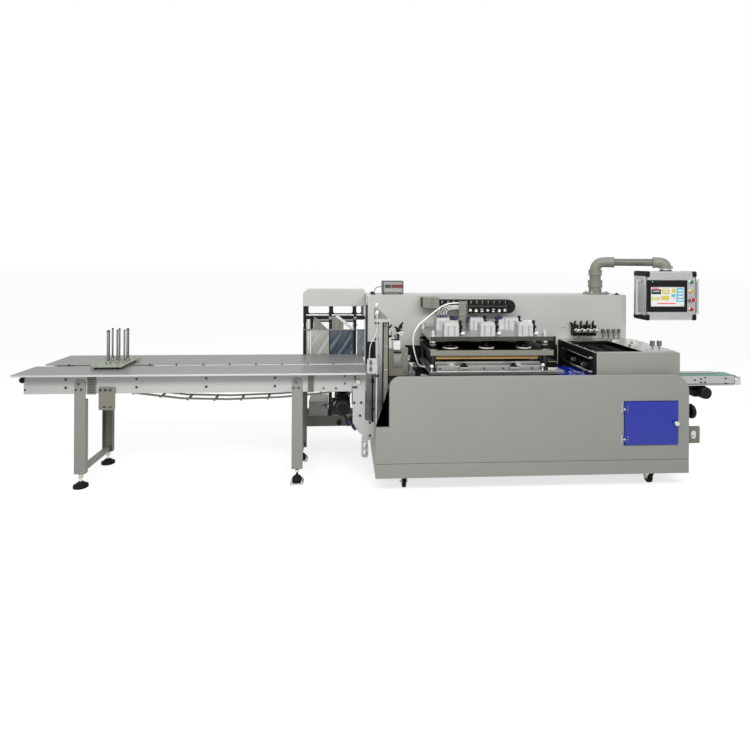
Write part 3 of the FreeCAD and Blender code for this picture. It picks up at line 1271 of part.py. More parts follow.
def transport_rollers():
    rollers = []
    y0 = TR_Y0 + TR_BEAM_INSET + TR_BEAM
    y1 = WALL_Y - TR_BEAM_INSET - 15.0
    for i in range(4):
        x = TR_X0 + ROLL_FIRST + i * ROLL_PITCH
        for side in (-1, 1):
            z = ROLL_Z + side * (ROLL_R + ROLL_NIP / 2)
            body = rod_y(x, z, y0 + 4.0, y1 - 4.0, ROLL_R)
            rollers.append(fuse([body, rod_y(x, z, y0, y1, 0.35 * ROLL_R)]))
    return group(rollers)


def transport_cover():
    """Folded cover over the front of the transport unit, and its right side with the exit."""
    z0, z1 = DECK_Z, TR_Z1
    t = TR_SIDE_T
    x0, x1 = TR_X0 + TR_PLATE, TR_X1 + t
    front = slab_y([(x0, z0, 0), (x1, z0, 0), (x1, z1, 12), (x0, z1, 0)], TR_Y0, TR_Y0 + SHEET)
    top = box(x0, x1 - 12.0, TR_Y0 + SHEET, TR_Y0 + 43.0, z1 - SHEET, z1)
    side = box(TR_X1, x1, TR_Y0 + SHEET, WALL_Y - 40.0, z0, z1 - 12.0)
    side = side.cut(box(TR_X1 - 1, x1 + 1, TR_EXIT_Y[0], TR_EXIT_Y[1], TR_EXIT_Z[0], TR_EXIT_Z[1]))
    return group([front, top, side])


def transport_adjusters():
    """Knurled screws on the two beams and the small cylinders on the wall."""
    pairs = []
    low = TR_BEAM_Z[1]
    back = WALL_Y - TR_BEAM_INSET - 15.0 + TR_BEAM / 2
    front = TR_Y0 + TR_BEAM_INSET + TR_BEAM / 2
    for k in range(4):
        x = TR_X0 + (0.575 + 0.0715 * k) * TR_W
        pairs.append([rod_z(x, back, low, TR_Z1 + 57.0, SCREW_R),
                      rod_z(x, back, TR_Z1 + 57.0, TR_Z1 + 87.0, KNURL_R)])
    for dx in (161.0, 111.0):
        x = TR_X1 - dx
        pairs.append([rod_z(x, front, low, TR_Z1 + 36.0, SCREW_R),
                      rod_z(x, front, TR_Z1 + 36.0, TR_Z1 + 72.0, KNURL_R + 2.0)])
    for k in range(4):
        x = TR_X0 + (0.2 + 0.0813 * k) * TR_W
        z = TR_Z1 + 35.0
        half = 0.0293 * TR_W
        pairs.append([box(x - half, x + half, WALL_Y - 60.0, WALL_Y, z, z + 85.0),
                      rod_y(x, z + 45.0, WALL_Y - 110.0, WALL_Y - 60.0, KNURL_R - 1.0)])
    return group([fuse(pair) for pair in pairs])


def guard_sheet():
    z = DECK_Z + 26.0
    back_x0 = RAIL_X1 - 5.0
    sheet = slab_z([(GUARD_X0, GUARD_Y[0], 0), (TR_X0, GUARD_Y[0], 0), (TR_X0, GUARD_Y[2], 0),
                    (back_x0, GUARD_Y[2], 0), (back_x0, GUARD_Y[1], 0), (GUARD_X0, GUARD_Y[1], 0)],
                   z, z + GUARD_T)
    legs = []
    for y in (GUARD_Y[0] + 10.0, GUARD_Y[1] - 22.0):
        legs.append(box(TR_X0 - 20.0, TR_X0 - 4.0, y, y + 12.0, DECK_Z, z))
    return fuse([sheet] + legs)


# Outfeed

def outfeed_frame():
    y0, y1 = OUT_Y0, OUT_Y1
    t = OUT_RAIL
    parts = [box(CAB_W, OUT_X1, y0, y0 + t, OUT_Z0, OUT_Z1), box(CAB_W, OUT_X1, y1 - t, y1, OUT_Z0, OUT_Z1)]
    for x0, x1 in ((CAB_W + 60.0, CAB_W + 100.0), (OUT_MOTOR_X - 46.0, OUT_MOTOR_X + 48.0)):
        parts.append(box(x0, x1, y0 + t, y1 - t, OUT_Z0, OUT_Z0 + OUT_BRIDGE))
    for y in (y0 + 2.0, y1 - 16.0):
        block = box(OUT_X1, OUT_X1 + OUT_END, y, y + 14.0, OUT_Z0 + 4.0, OUT_Z1 - 6.0)
        parts.append(block.cut(rod_y(OUT_X1 + 20.0, OUT_Z1 + 2.0 - BELT_R, y - 1, y + 15, 8.0)))
    return group(parts)


def outfeed_belt():
    """Belt loop round its two end rollers, as one fixed loop."""
    y0, y1 = OUT_Y0 + OUT_RAIL + BELT_GAP, OUT_Y1 - OUT_RAIL - BELT_GAP
    r = BELT_R
    zc = OUT_Z1 + 2.0 - r
    xa, xb = CAB_W + 40.0, OUT_X1 + 20.0
    loops = []
    for radius, y2, y3 in ((r, y0, y1), (r - BELT_T, y0 - 1, y1 + 1)):
        loops.append(fuse([box(xa, xb, y2, y3, zc - radius, zc + radius), rod_y(xa, zc, y2, y3, radius),
                           rod_y(xb, zc, y2, y3, radius)]))
    rolls = []
    for x, reach in ((xa, OUT_RAIL), (xb, 2.0)):
        rolls.append(fuse([rod_y(x, zc, y0, y1, r - BELT_T - 0.1),
                           rod_y(x, zc, OUT_Y0 + reach, OUT_Y1 - reach, 8.0)]))
    return group([loops[0].cut(loops[1])] + rolls)


def outfeed_motor():
    y = OUT_Y0 + 65.0
    x = OUT_MOTOR_X
    z = OUT_Z0 - 54.0
    motor = rod_y(x, z, OUT_Y0 - 5.0, y, OUT_MOTOR_R)
    gear = box(x - 44.0, x + 44.0, y, y + OUT_GEAR_L, z - 44.0, OUT_Z0)
    return fuse([motor, gear])


def outfeed_adjuster():
    """Bracket with its curved slot on the right end panel, and the hand knob above it."""
    y = ADJ_Y
    plate = box(CAB_W, CAB_W + ADJ_T, y - 43.0, y + 77.0, ADJ_PLATE_Z[0], ADJ_PLATE_Z[1])
    arm = slab_y([(CAB_W + ADJ_T, ADJ_ARM_Z[0], 0), (CAB_W + ADJ_REACH, ADJ_ARM_Z[0], 20),
                  (CAB_W + ADJ_REACH, ADJ_ARM_Z[1], 20), (CAB_W + ADJ_T, ADJ_ARM_Z[1], 0)],
                 y - ADJ_T / 2, y + ADJ_T / 2)
    x0 = CAB_W + ADJ_REACH - 104.0
    slot = slab_y(rect(x0, x0 + 78.0, ADJ_ARM_Z[0] + 28.0, ADJ_ARM_Z[1] - 28.0, 20.0), y - ADJ_T, y + ADJ_T)
    boss = rod_x(y + 17.0, ADJ_KNOB_Z, CAB_W + ADJ_T, ADJ_KNOB_X, 14.0)
    knob = rod_x(y + 17.0, ADJ_KNOB_Z, ADJ_KNOB_X, ADJ_KNOB_X + ADJ_KNOB_L, ADJ_KNOB_R)
    return group([plate, arm.cut(slot), boss, knob])


# Counter and operator panel

def counter_box():
    w, d, h = COUNTER_SIZE
    x0, y0, z0 = COUNTER_X0, COUNTER_Y0, WALL_TOP_Z + COUNTER_FOOT
    body = box(x0, x0 + w, y0, y0 + d, z0, z0 + h)
    feet = []
    for x in (x0 + 17.0, x0 + w - 17.0):
        for y in (y0 + 17.0, y0 + d - 17.0):
            feet.append(rod_z(x, y, WALL_TOP_Z, z0, 8.0))
    return fuse([body] + feet)


def hmi_post():
    x, y = POST_X, POST_Y
    z = WALL_TOP_Z + FLANGE_T
    flange = rod_z(x, y, WALL_TOP_Z, z, FLANGE_R)
    base = rod_z(x, y, z, NECK_Z - 30.0, SOCKET_R - 6.0)
    socket = rod_z(x, y, NECK_Z - 60.0, NECK_Z, SOCKET_R)
    spigot = rod_z(x, y, NECK_Z, NECK_Z + SPIGOT_H, SPIGOT_R)
    return fuse([flange, base, socket, spigot])


def elbow(a, corner, b, bend, radius):
    """Pipe from a to b through a rounded corner."""
    a = V(*a)
    c = V(*corner)
    b = V(*b)
    da = a - c
    db = b - c
    da.normalize()
    db.normalize()
    p = c + da * bend
    q = c + db * bend
    middle = da + db
    middle.normalize()
    centre = p + db * bend
    path = Part.Wire([Part.LineSegment(a, p).toShape(), Part.Arc(p, centre - middle * bend, q).toShape(),
                      Part.LineSegment(q, b).toShape()])
    profile = Part.Wire([Part.Circle(a, c - a, radius).toShape()])
    return path.makePipeShell([profile], True, False)


def hmi_arm():
    """Two wide elbows and the level pipe between them, with the swivel socket and the collar at the drop."""
    x, y = POST_X, POST_Y
    way = V(DROP_X - x, DROP_Y - y, 0)
    way.normalize()
    near = V(x, y, ARM_Z) + way * ARM_ELBOW_L
    far = V(DROP_X, DROP_Y, ARM_Z) - way * DROP_ELBOW_L
    low = NECK_Z + SWIVEL_GAP
    rise = NECK_Z + SPIGOT_H + GAP
    first = elbow((x, y, rise), (x, y, ARM_Z), near, ARM_BEND, ELBOW_R)
    second = elbow((DROP_X, DROP_Y, DROP_Z), (DROP_X, DROP_Y, ARM_Z), far, DROP_BEND, ELBOW_R)
    pipe = rod_between(near - way * 10.0, far + way * 10.0, PIPE_R)
    socket = rod_z(x, y, low, rise + 10.0, NECK_R)
    socket = socket.cut(rod_z(x, y, low - 1, rise, SPIGOT_R + ROD_FIT))
    sleeve = rod_z(x, y, rise + 3.0, ARM_Z - ARM_BEND, SLEEVE_R)
    collar = rod_z(DROP_X, DROP_Y, DROP_Z, DROP_Z + DROP_COLLAR_H, DROP_COLLAR_R)
    return fuse([first, second, pipe, socket, sleeve, collar])


def hmi_box():
    """Extruded housing with rounded long edges, its neck and a bow handle on each side."""
    y0 = HMI_Y0 + HMI_FACE_T
    shell = slab_y(rect(HMI_X0, HMI_X1, HMI_Z0, HMI_Z1, HMI_EDGE_R), y0, HMI_Y1)
    neck = rod_z(DROP_X, DROP_Y, HMI_Z1, DROP_Z - SWIVEL_GAP, HMI_NECK_R)
    parts = [fuse([shell, neck])]
    hy0 = DROP_Y - HANDLE_Y - 16.0
    hy1 = hy0 + HANDLE_Y
    z0, z1 = HMI_Z0 + HANDLE_INSET[0], HMI_Z1 - HANDLE_INSET[1]
    for x, out in ((HMI_X0, -1), (HMI_X1, 1)):
        xa, xb = sorted((x + out * (HANDLE_OUT - HANDLE_T), x + out * HANDLE_OUT))
        xs, xe = sorted((x, x + out * (HANDLE_OUT - HANDLE_T)))
        parts.append(fuse([box(xa, xb, hy0, hy1, z0, z1), box(xs, xe, hy0, hy1, z0, z0 + 18.0),
                           box(xs, xe, hy0, hy1, z1 - 18.0, z1)]))
    return group(parts)


def hmi_panel():
    """Front plate with the screen frame and the four buttons."""
    x0, z0, y = HMI_X0, HMI_Z0, HMI_Y0
    plate = slab_y(rect(x0 + 12.0, HMI_X1 - 12.0, z0 + 12.0, HMI_Z1 - 12.0, 4.0), y, y + HMI_FACE_T)
    frame = slab_y(rect(x0 + SCREEN_X[0], x0 + SCREEN_X[1], z0 + SCREEN_Z[0], z0 + SCREEN_Z[1], 6.0),
                   y - SCREEN_OUT, y)
    parts = [plate, frame.common(box(x0 + 12.0, HMI_X1, y - SCREEN_OUT, y, z0, HMI_Z1))]
    for z, r, out in BUTTONS:
        parts.append(rod_y(x0 + BUTTON_X, z0 + z, y - out, y, r))
    return fuse(parts)


# Hose

def cord(points, radius):
    """Tube through the points: straight runs joined by tangent arcs."""
    points = [V(*p) for p in points]
    edges = []
    start = points[0]
    for i in range(1, len(points) - 1):
        back = points[i - 1] - points[i]
        ahead = points[i + 1] - points[i]
        reach = 0.45 * min(back.Length, ahead.Length)
        back.normalize()
        ahead.normalize()
        half_inner = back.getAngle(ahead) / 2
        bend = reach * math.tan(half_inner)
        middle = back + ahead
        middle.normalize()
        centre = points[i] + middle * (bend / math.sin(half_inner))
        first = points[i] + back * reach
        last = points[i] + ahead * reach
        edges.append(Part.LineSegment(start, first).toShape())
        edges.append(Part.Arc(first, centre - middle * bend, last).toShape())
        start = last
    edges.append(Part.LineSegment(start, points[-1]).toShape())
    path = Part.Wire(edges)
    profile = Part.Wire([Part.Circle(points[0], points[1] - points[0], radius).toShape()])
    return path.makePipeShell([profile], True, False)


def hose_route():
    """The air hose from the chain's bracket, round the left side of the plates, to the base."""
    x = CHAIN_X_MOVING - BRACKET_T - BRACKET_W - 2.0
    y = BRACKET_Y + 12.0
    z = CHAIN_TOP_Z - 24.0
    end = PRESS_BASE_X0
    low = PRESS_BASE_Z + PRESS_BASE_T / 2
    return [
        (x, y, z), (x - 65.0, y, z), (x - 133.0, y - 38.0, z - 17.0), (x - 201.0, y - 94.0, z - 54.0),
        (x - 270.0, y - 140.0, z - 98.0), (end - 54.0, y - 170.0, z - 158.0),
        (end - 88.0, y - 184.0, z - 235.0), (end - 84.0, y - 192.0, low + 141.0),
        (end - 66.0, y - 198.0, low + 66.0), (end - 42.0, y - 198.0, low), (end, y - 198.0, low),
    ]


def main_hose():
    return cord(hose_route(), HOSE_R)


def thin_hose_route(i):
    """One of the thin loops from the chain's bracket down to the rear left cylinder."""
    start = CHAIN_X_MOVING - BRACKET_T - BRACKET_W - 2.0
    y = BRACKET_Y + 6.0
    z = CHAIN_TOP_Z - 42.0 - 9.0 * i
    x = CYLINDER_XS[0] - 30.0 + 20.0 * i
    low = TOP_FACE_Z + CYLINDER_H
    turn = 0.42 * (z - low)
    return [(start, y, z), (x + turn, y, z), (x, y, z - turn), (x, y, low)]


def press_hoses():
    return group([cord(thin_hose_route(i), THIN_HOSE_R) for i in range(THIN_HOSE_COUNT)])


def clear_hose_route():
    """The clear hose that hangs from the guide posts' head down to the slotted arm."""
    x, y = GUIDE_ROD_FRONT[0], GUIDE_ROD_FRONT[1] - 17.0
    low = COLLAR_Z + 68.0
    return [
        (x, y, GUIDE_HEAD_Z), (x, y, GUIDE_HEAD_Z - 40.0), (x - 14.0, y - 14.0, GUIDE_HEAD_Z - 100.0),
        (x - 42.0, y - 12.0, low + 110.0), (x - 52.0, y, low + 50.0), (x - 52.0, y, low),
    ]


def drive_cable_route():
    """The cable that loops from the gearmotor's terminal box to the box under the film."""
    x = MOTOR_X - GEAR_S - TERMINALS_OUT
    y = DRIVE_PLATE_Y - GEAR_L - 0.45 * MOTOR_L
    z = MOTOR_Z + 10.0
    return [
        (x, y, z), (x - 36.0, y, z), (x - 76.0, y + 20.0, z - 26.0), (x - 84.0, y + 80.0, z - 78.0),
        (x - 62.0, y + 170.0, z - 112.0), (x - 52.0, y + 280.0, z - 118.0),
        (x - 52.0, FILM_Y0 - 66.0, z - 138.0), (x - 52.0, FILM_Y0 - 30.0, z - 142.0),
        (x - 52.0, FILM_Y0 + 4.0, z - 142.0),
    ]


def counter_cable_route():
    """The counter's cable, from its left side down into the cabinet's top."""
    x = COUNTER_X0 - 62.0
    y = COUNTER_Y0 + 50.0
    z = WALL_TOP_Z + 60.0
    return [(COUNTER_X0, y, z), (x + 26.0, y, z), (x, y, z - 26.0), (x, y, WALL_TOP_Z)]


def air_hoses():
    routes = (clear_hose_route(), drive_cable_route(), counter_cable_route())
    return group([cord(route, CABLE_R) for route in routes])


def build():
    os.makedirs("parts", exist_ok=True)
    makers = [
        front_cover, side_panels, base_frame, rear_cabinet, deck, linear_rails, door_hinges, door_leaf,
        press_base, press_columns, press_top, press_cylinders, platen_plate, platen_pad,
        chain_wall_bracket, drag_chain, main_hose, press_hoses, air_hoses,
        infeed_rails, infeed_shafts, table_front, table_back, pusher_chain, leg_frames, floor_feet,
        rail_brackets, magazine_plate, magazine_pins, infeed_motor, infeed_end_plates,
        film_frame, film_hood, film_rollers, film_web, film_formers, guide_posts, valve_unit,
        transport_frame, transport_rollers, transport_cover, transport_adjusters, guard_sheet,
        outfeed_frame, outfeed_belt, outfeed_motor, outfeed_adjuster,
        counter_box, hmi_post, hmi_arm, hmi_box, hmi_panel,
    ]
    for maker in makers:
        save(maker.__name__, maker())
    corners = [("fl", 0, 0), ("fr", 1, 0), ("rl", 0, 1), ("rr", 1, 1)]
    for tag, i, j in corners:
        x, y = CASTER_XS[i], CASTER_YS[j]
        save("fork_" + tag, caster_fork(x, y))
        save("wheel_" + tag, caster_wheel(x, y))


build()
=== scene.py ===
# %% [markdown]
# This lesson dresses a packing line: an infeed table with a pusher chain, a film unwinder, a heated press
# that rides on rails, a set of pull rollers, an outfeed belt and the cabinet that carries them.
# The construction comes in as a fixed frame. Everything here is finish and small detail that sits on it.
# All lengths are worked out in millimetres, as on the maker's drawing, and turned to metres at the end.

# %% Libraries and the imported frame
import json
import math

import bmesh
import bpy
import numpy as np
from mathutils import Matrix, Vector

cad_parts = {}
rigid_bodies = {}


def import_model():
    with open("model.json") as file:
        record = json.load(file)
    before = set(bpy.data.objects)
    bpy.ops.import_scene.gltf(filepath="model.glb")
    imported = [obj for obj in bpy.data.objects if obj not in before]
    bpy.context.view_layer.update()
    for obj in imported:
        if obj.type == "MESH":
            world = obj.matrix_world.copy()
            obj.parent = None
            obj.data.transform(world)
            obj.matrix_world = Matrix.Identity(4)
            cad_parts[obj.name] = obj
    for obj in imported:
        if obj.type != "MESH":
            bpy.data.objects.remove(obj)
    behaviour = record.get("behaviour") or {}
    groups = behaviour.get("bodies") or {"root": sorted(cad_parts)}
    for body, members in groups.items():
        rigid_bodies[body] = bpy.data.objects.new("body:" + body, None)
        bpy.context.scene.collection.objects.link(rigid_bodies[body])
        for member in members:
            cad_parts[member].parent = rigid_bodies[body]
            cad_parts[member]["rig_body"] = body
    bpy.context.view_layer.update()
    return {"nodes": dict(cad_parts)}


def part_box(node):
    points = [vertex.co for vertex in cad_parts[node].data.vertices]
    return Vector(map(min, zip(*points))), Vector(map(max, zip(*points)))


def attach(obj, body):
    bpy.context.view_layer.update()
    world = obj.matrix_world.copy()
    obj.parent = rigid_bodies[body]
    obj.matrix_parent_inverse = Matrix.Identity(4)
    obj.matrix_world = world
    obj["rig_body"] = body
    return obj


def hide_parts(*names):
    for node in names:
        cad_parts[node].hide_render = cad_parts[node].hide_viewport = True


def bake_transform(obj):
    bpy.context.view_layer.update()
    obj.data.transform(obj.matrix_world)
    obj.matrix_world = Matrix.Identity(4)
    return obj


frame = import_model()

# %% [markdown]
# The maker's drawing counts from the cabinet's front left corner, on the floor. The frame counts from the
# centre of the whole line. One pair of numbers carries a point from the drawing to the frame, so each
# fitting below can be placed with the same sizes that a fitter would read.

# %% From the drawing to the frame
DRAWING_ZERO = np.array([153.0, 542.0, 0.0])
SCENE = bpy.context.scene
SCENE.view_settings.view_transform = "Standard"


def to_frame(points):
    """Drawing millimetres to frame metres: subtract the drawing's zero, then divide by a thousand."""
    return (np.asarray(points, float) - DRAWING_ZERO) / 1000.0


def node_box(name):
    """Lowest and highest corner of a CAD node, in drawing millimetres."""
    low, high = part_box(name)
    return np.array(low) * 1000.0 + DRAWING_ZERO, np.array(high) * 1000.0 + DRAWING_ZERO


print("cover", node_box("front_cover"))

# %% [markdown]
# The photographer stood a little left of the cabinet, about three and a half metres away, with a level
# camera at the height of the press. The picture was then cropped, which is a vertical lens shift here.
# The camera comes first.

# %% Camera
FOCAL_MM = 25.44
HORIZON_SHIFT = -0.1547
SENSOR_MM = 36.0
CAMERA_AT = (-220.0, -3515.0, 1560.0)
YAW, ROLL = math.radians(-3.4), math.radians(0.3)

camera = bpy.data.objects.new("camera", bpy.data.cameras.new("camera"))
SCENE.collection.objects.link(camera)
camera.location = to_frame(CAMERA_AT)
camera.rotation_mode = "XYZ"
turn = (
    Matrix.Rotation(YAW, 4, "Z")
    @ Matrix.Rotation(math.pi / 2, 4, "X")
    @ Matrix.Rotation(ROLL, 4, "Z")
)
camera.rotation_euler = turn.to_euler()
camera.data.sensor_width = SENSOR_MM
camera.data.lens = FOCAL_MM
camera.data.shift_y = HORIZON_SHIFT
SCENE.camera = camera
print("camera at", [round(v, 3) for v in camera.location])

# %% [markdown]
# Soft lines cross the machine: a white feed hose that arches from the press bracket down to its base, thin
# air hoses beside it, a clear hose at the guide posts, and two black cables. Each keeps one length and
# bends evenly, so each is one smooth spline through a few listed control points.

# %% One smooth line for each hose
def hose(name, route, diameter, body="machine", stands_for="air_hoses"):
    """A hose as a NURBS line of order 3 through its control points. The section is a circle of radius 1 m,
    and each point scales it to the hose's own radius."""
    data = bpy.data.curves.new(name, "CURVE")
    data.dimensions = "3D"
    line = data.splines.new("NURBS")
    line.points.add(len(route) - 1)
    flat = np.column_stack([to_frame(route), np.ones(len(route))])
    line.points.foreach_set("co", flat.ravel())
    line.order_u = 3
    line.use_endpoint_u = True
    data.resolution_u = 16
    line.points.foreach_set("radius", np.full(len(route), diameter / 2))
    data.bevel_depth = 1.0
    data.bevel_resolution = 5
    data.use_fill_caps = True
    thing = bpy.data.objects.new(name, data)
    SCENE.collection.objects.link(thing)
    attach(thing, body)
    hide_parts(stands_for)
    return thing


feed_hose = hose("feed_hose", [
    (680.68, 578, 1220), (615.68, 578, 1220), (547.68, 540, 1203), (479.68, 484, 1166),
    (410.68, 438, 1122), (330, 408, 1062), (296, 394, 985), (300, 386, 905), (318, 380, 830),
    (342, 380, 764), (384, 380, 764),
], 0.010, "press", "main_hose")

thin_hoses = []
for k in range(4):
    start_z, end_x = 1202 - 9 * k, 516.64 + 20 * k
    bend = [(556.12 + 16.22 * k, 572, start_z), (end_x, 572, 1162.52 - 5.22 * k)]
    thin_hoses.append(hose(f"thin_hose_{k}", [(680.68, 572, start_z), *bend, (end_x, 572, 1108)],
                           0.005, "press", "press_hoses"))
clear_hose = hose("clear_hose", [
    (10, 63, 1133), (10, 63, 1093), (-4, 49, 1033), (-32, 51, 998), (-42, 63, 938), (-42, 63, 888),
], 0.006)
drive_cable = hose("drive_cable", [
    (-309, 377, 498), (-345, 377, 498), (-385, 397, 472), (-393, 457, 420), (-371, 547, 386),
    (-361, 657, 380), (-361, 796, 360), (-361, 832, 356), (-361, 866, 356),
], 0.006)
counter_cable = hose("counter_cable", [
    (93, 795, 1335), (57, 795, 1335), (31, 795, 1309), (31, 795, 1275),
], 0.006)

# %% [markdown]
# Almost every fitting on a machine is one of two shapes: a ring of points carried through a stack of
# levels, such as a bolt, a turned knob or a folded plate, or a ring carried along a path, such as a hose.
# So two small numpy functions make nearly all of them, and a third repeats a shape wherever it is bolted on.

# %% Rings of points to closed shapes
FRONT, REAR, LEFT, RIGHT, UP = (0, -1, 0), (0, 1, 0), (-1, 0, 0), (1, 0, 0), (0, 0, 1)


def stack_faces(levels, count):
    """Quads between the rings of a stack, and one flat face that closes each end.
    Point j of ring i is number i * count + j, and each quad joins j and j + 1 of two rings."""
    i, j = np.meshgrid(np.arange(levels - 1), np.arange(count), indexing="ij")
    k = (j + 1) % count
    quads = np.stack([i * count + j, i * count + k, (i + 1) * count + k, (i + 1) * count + j], axis=-1)
    first = list(range(count - 1, -1, -1))
    last = list(range((levels - 1) * count, levels * count))
    return quads.reshape(-1, 4).tolist() + [first, last]


def turned(profile, count=20):
    """A turned part: each (radius, height) of the profile becomes the ring
    (r cos a, r sin a, z), with count equal steps of the angle a."""
    r, z = np.array(profile, float).T
    a = np.arange(count) * 2 * np.pi / count
    points = np.stack([np.outer(r, np.cos(a)), np.outer(r, np.sin(a)), np.outer(z, np.ones(count))], axis=-1)
    return points.reshape(-1, 3), stack_faces(len(r), count)


def outline_normals(outline):
    """At each corner of a closed outline, the step that moves both of its edges inwards by 1:
    the sum of the two edge normals over one plus their dot product."""
    along = np.roll(outline, -1, axis=0) - outline
    along /= np.linalg.norm(along, axis=1)[:, None]
    inward = np.stack([-along[:, 1], along[:, 0]], axis=-1)
    before = np.roll(inward, 1, axis=0)
    return (before + inward) / (1 + (before * inward).sum(axis=1))[:, None]


def pressed(outline, levels):
    """A plate or block: the outline, moved inwards by each level's inset, at each level's height.
    The outline runs counter-clockwise, and the levels are (inset, height) pairs from bottom to top."""
    outline = np.array(outline, float)
    step = outline_normals(outline)
    inset, height = np.array(levels, float).T
    flat = outline[None] + inset[:, None, None] * step[None]
    z = np.broadcast_to(height[:, None, None], flat.shape[:2] + (1,))
    return np.concatenate([flat, z], axis=-1).reshape(-1, 3), stack_faces(len(inset), len(outline))


def rounded_rect(width, depth, radius, steps=5):
    """Counter-clockwise outline of a rectangle about zero: four quarter circles of the corner radius."""
    radius = min(radius, width / 2 - 0.01, depth / 2 - 0.01)
    a = np.linspace(0, np.pi / 2, steps)
    arc = np.stack([np.cos(a), np.sin(a)], axis=-1) * radius
    corners = []
    for k, (sx, sy) in enumerate(((1, 1), (-1, 1), (-1, -1), (1, -1))):
        c, s = np.cos(k * np.pi / 2), np.sin(k * np.pi / 2)
        spun = arc @ np.array([[c, s], [-s, c]])
        corners.append(spun + [sx * (width / 2 - radius), sy * (depth / 2 - radius)])
    return np.concatenate(corners)


def block(width, depth, height, radius=1.5, edge=0.8):
    """A machined block about zero with broken edges: a rounded rectangle pressed through four levels."""
    outline = rounded_rect(width, depth, radius, 4)
    return pressed(outline, [(edge, 0), (0, edge), (0, height - edge), (edge, height)])


def tube(path, radius, count=12, up=(0.0, 0.0, 1.0)):
    """A round tube along a path: at each point, radius times (cos a side + sin a lift), where side is the
    path's direction crossed with a steady vector that it never runs along, and lift closes the frame."""
    path = np.array(path, float)
    ahead = np.gradient(path, axis=0)
    ahead /= np.linalg.norm(ahead, axis=1)[:, None]
    side = np.cross(ahead, np.array(up, float))
    side /= np.linalg.norm(side, axis=1)[:, None]
    lift = np.cross(side, ahead)
    a = -np.arange(count) * 2 * np.pi / count
    radius = np.broadcast_to(np.asarray(radius, float), (len(path),))[:, None, None]
    ring = np.cos(a)[None, :, None] * side[:, None] + np.sin(a)[None, :, None] * lift[:, None]
    return (path[:, None] + radius * ring).reshape(-1, 3), stack_faces(len(path), count)


def aim(shape, axis, spin=0.0):
    """Turns a shape so that its own +Z points along the axis, after a turn of spin degrees about +Z."""
    points, faces = shape
    z = np.array(axis, float)
    z /= np.linalg.norm(z)
    seed = np.array([1.0, 0.0, 0.0]) if abs(z[0]) < 0.9 else np.array([0.0, 0.0, 1.0])
    x = seed - z * (seed @ z)
    x /= np.linalg.norm(x)
    y = np.cross(z, x)
    c, s = math.cos(math.radians(spin)), math.sin(math.radians(spin))
    return points @ np.stack([c * x + s * y, -s * x + c * y, z]), faces


def at_each(shape, places=((0, 0, 0),), axis=UP, spin=0.0):
    """The shape, aimed along the axis, at each place: every point plus every place, faces counted on."""
    points, faces = aim(shape, axis, spin)
    places = np.array(places, float).reshape(-1, 3)
    moved = (places[:, None] + points[None]).reshape(-1, 3)
    count = len(points)
    return moved, [[n + k * count for n in face] for k in range(len(places)) for face in faces]


def together(*shapes):
    """Several shapes as one, with the faces of each counted on from the points before it."""
    start = np.cumsum([0] + [len(points) for points, _ in shapes])
    faces = [[n + s for n in face] for s, (_, part) in zip(start, shapes) for face in part]
    return np.concatenate([points for points, _ in shapes]), faces


print("a turned M8 head has", len(turned([(6, 0), (6, 8)])[0]), "points")

# %% [markdown]
# A finished piece keeps its object at the origin, with its place in its mesh. It rides on a CAD body, names
# the finish it takes, and stands in for a CAD node where it shows the same thing in more detail.

# %% Shapes to pieces
made = {}


def piece(name, material, *parts, body="machine", slot=None, stands_for=(), smooth=32.0):
    """Puts parts, each (shape, places, axis, spin) in drawing millimetres, into one mesh in frame metres.
    A part that already stands in its place is just (shape,). The piece rides on its body, or on none.
    The slot argument is not used."""
    points, faces = together(*[at_each(*part) for part in parts])
    mesh = bpy.data.meshes.new(name)
    mesh.from_pydata(to_frame(points).tolist(), [], faces)
    mesh.validate()
    mesh.shade_smooth()
    mesh.set_sharp_from_angle(angle=math.radians(smooth))
    mesh.materials.append(material)
    thing = bpy.data.objects.new(name, mesh)
    SCENE.collection.objects.link(thing)
    if body:
        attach(thing, body)
    if stands_for:
        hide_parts(*stands_for)
    made[name] = len(mesh.polygons)
    return thing


def bevelled_copy(node, material, edge_mm, rides=True):
    """The CAD node's own faces with broken edges: its triangles are merged, made flat faces again and
    bevelled, because real sheet and machined edges always catch a thin line of light. A copy made with
    rides false rides on no body."""
    source = frame["nodes"][node]
    mesh = source.data.copy()
    mesh.name = node + "_dressed"
    work = bmesh.new()
    work.from_mesh(mesh)
    bmesh.ops.remove_doubles(work, verts=work.verts, dist=2e-5)
    bmesh.ops.dissolve_limit(work, angle_limit=math.radians(0.5), verts=work.verts, edges=work.edges)
    work.to_mesh(mesh)
    work.free()
    mesh.materials.clear()
    mesh.materials.append(material)
    mesh.shade_smooth()
    mesh.set_sharp_from_angle(angle=math.radians(30))
    thing = bpy.data.objects.new(node + "_dressed", mesh)
    SCENE.collection.objects.link(thing)
    bevel = thing.modifiers.new("broken_edges", "BEVEL")
    bevel.width = edge_mm / 1000.0
    bevel.segments = 2
    bevel.limit_method = "ANGLE"
    bevel.angle_limit = math.radians(35)
    bevel.harden_normals = True
    if rides:
        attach(thing, source["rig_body"])
    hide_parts(node)
    return thing


# %% [markdown]
# A finish starts from what the real surface is and how it was made. Three habits keep all of them honest.
# Colours are written as the hex values that a paint chart or a colour picker gives, and one function turns
# them to linear light. Patterns are measured in millimetres on the object's own coordinates. Each pattern
# moves colour, roughness and bump by a little, because real surfaces are never even.

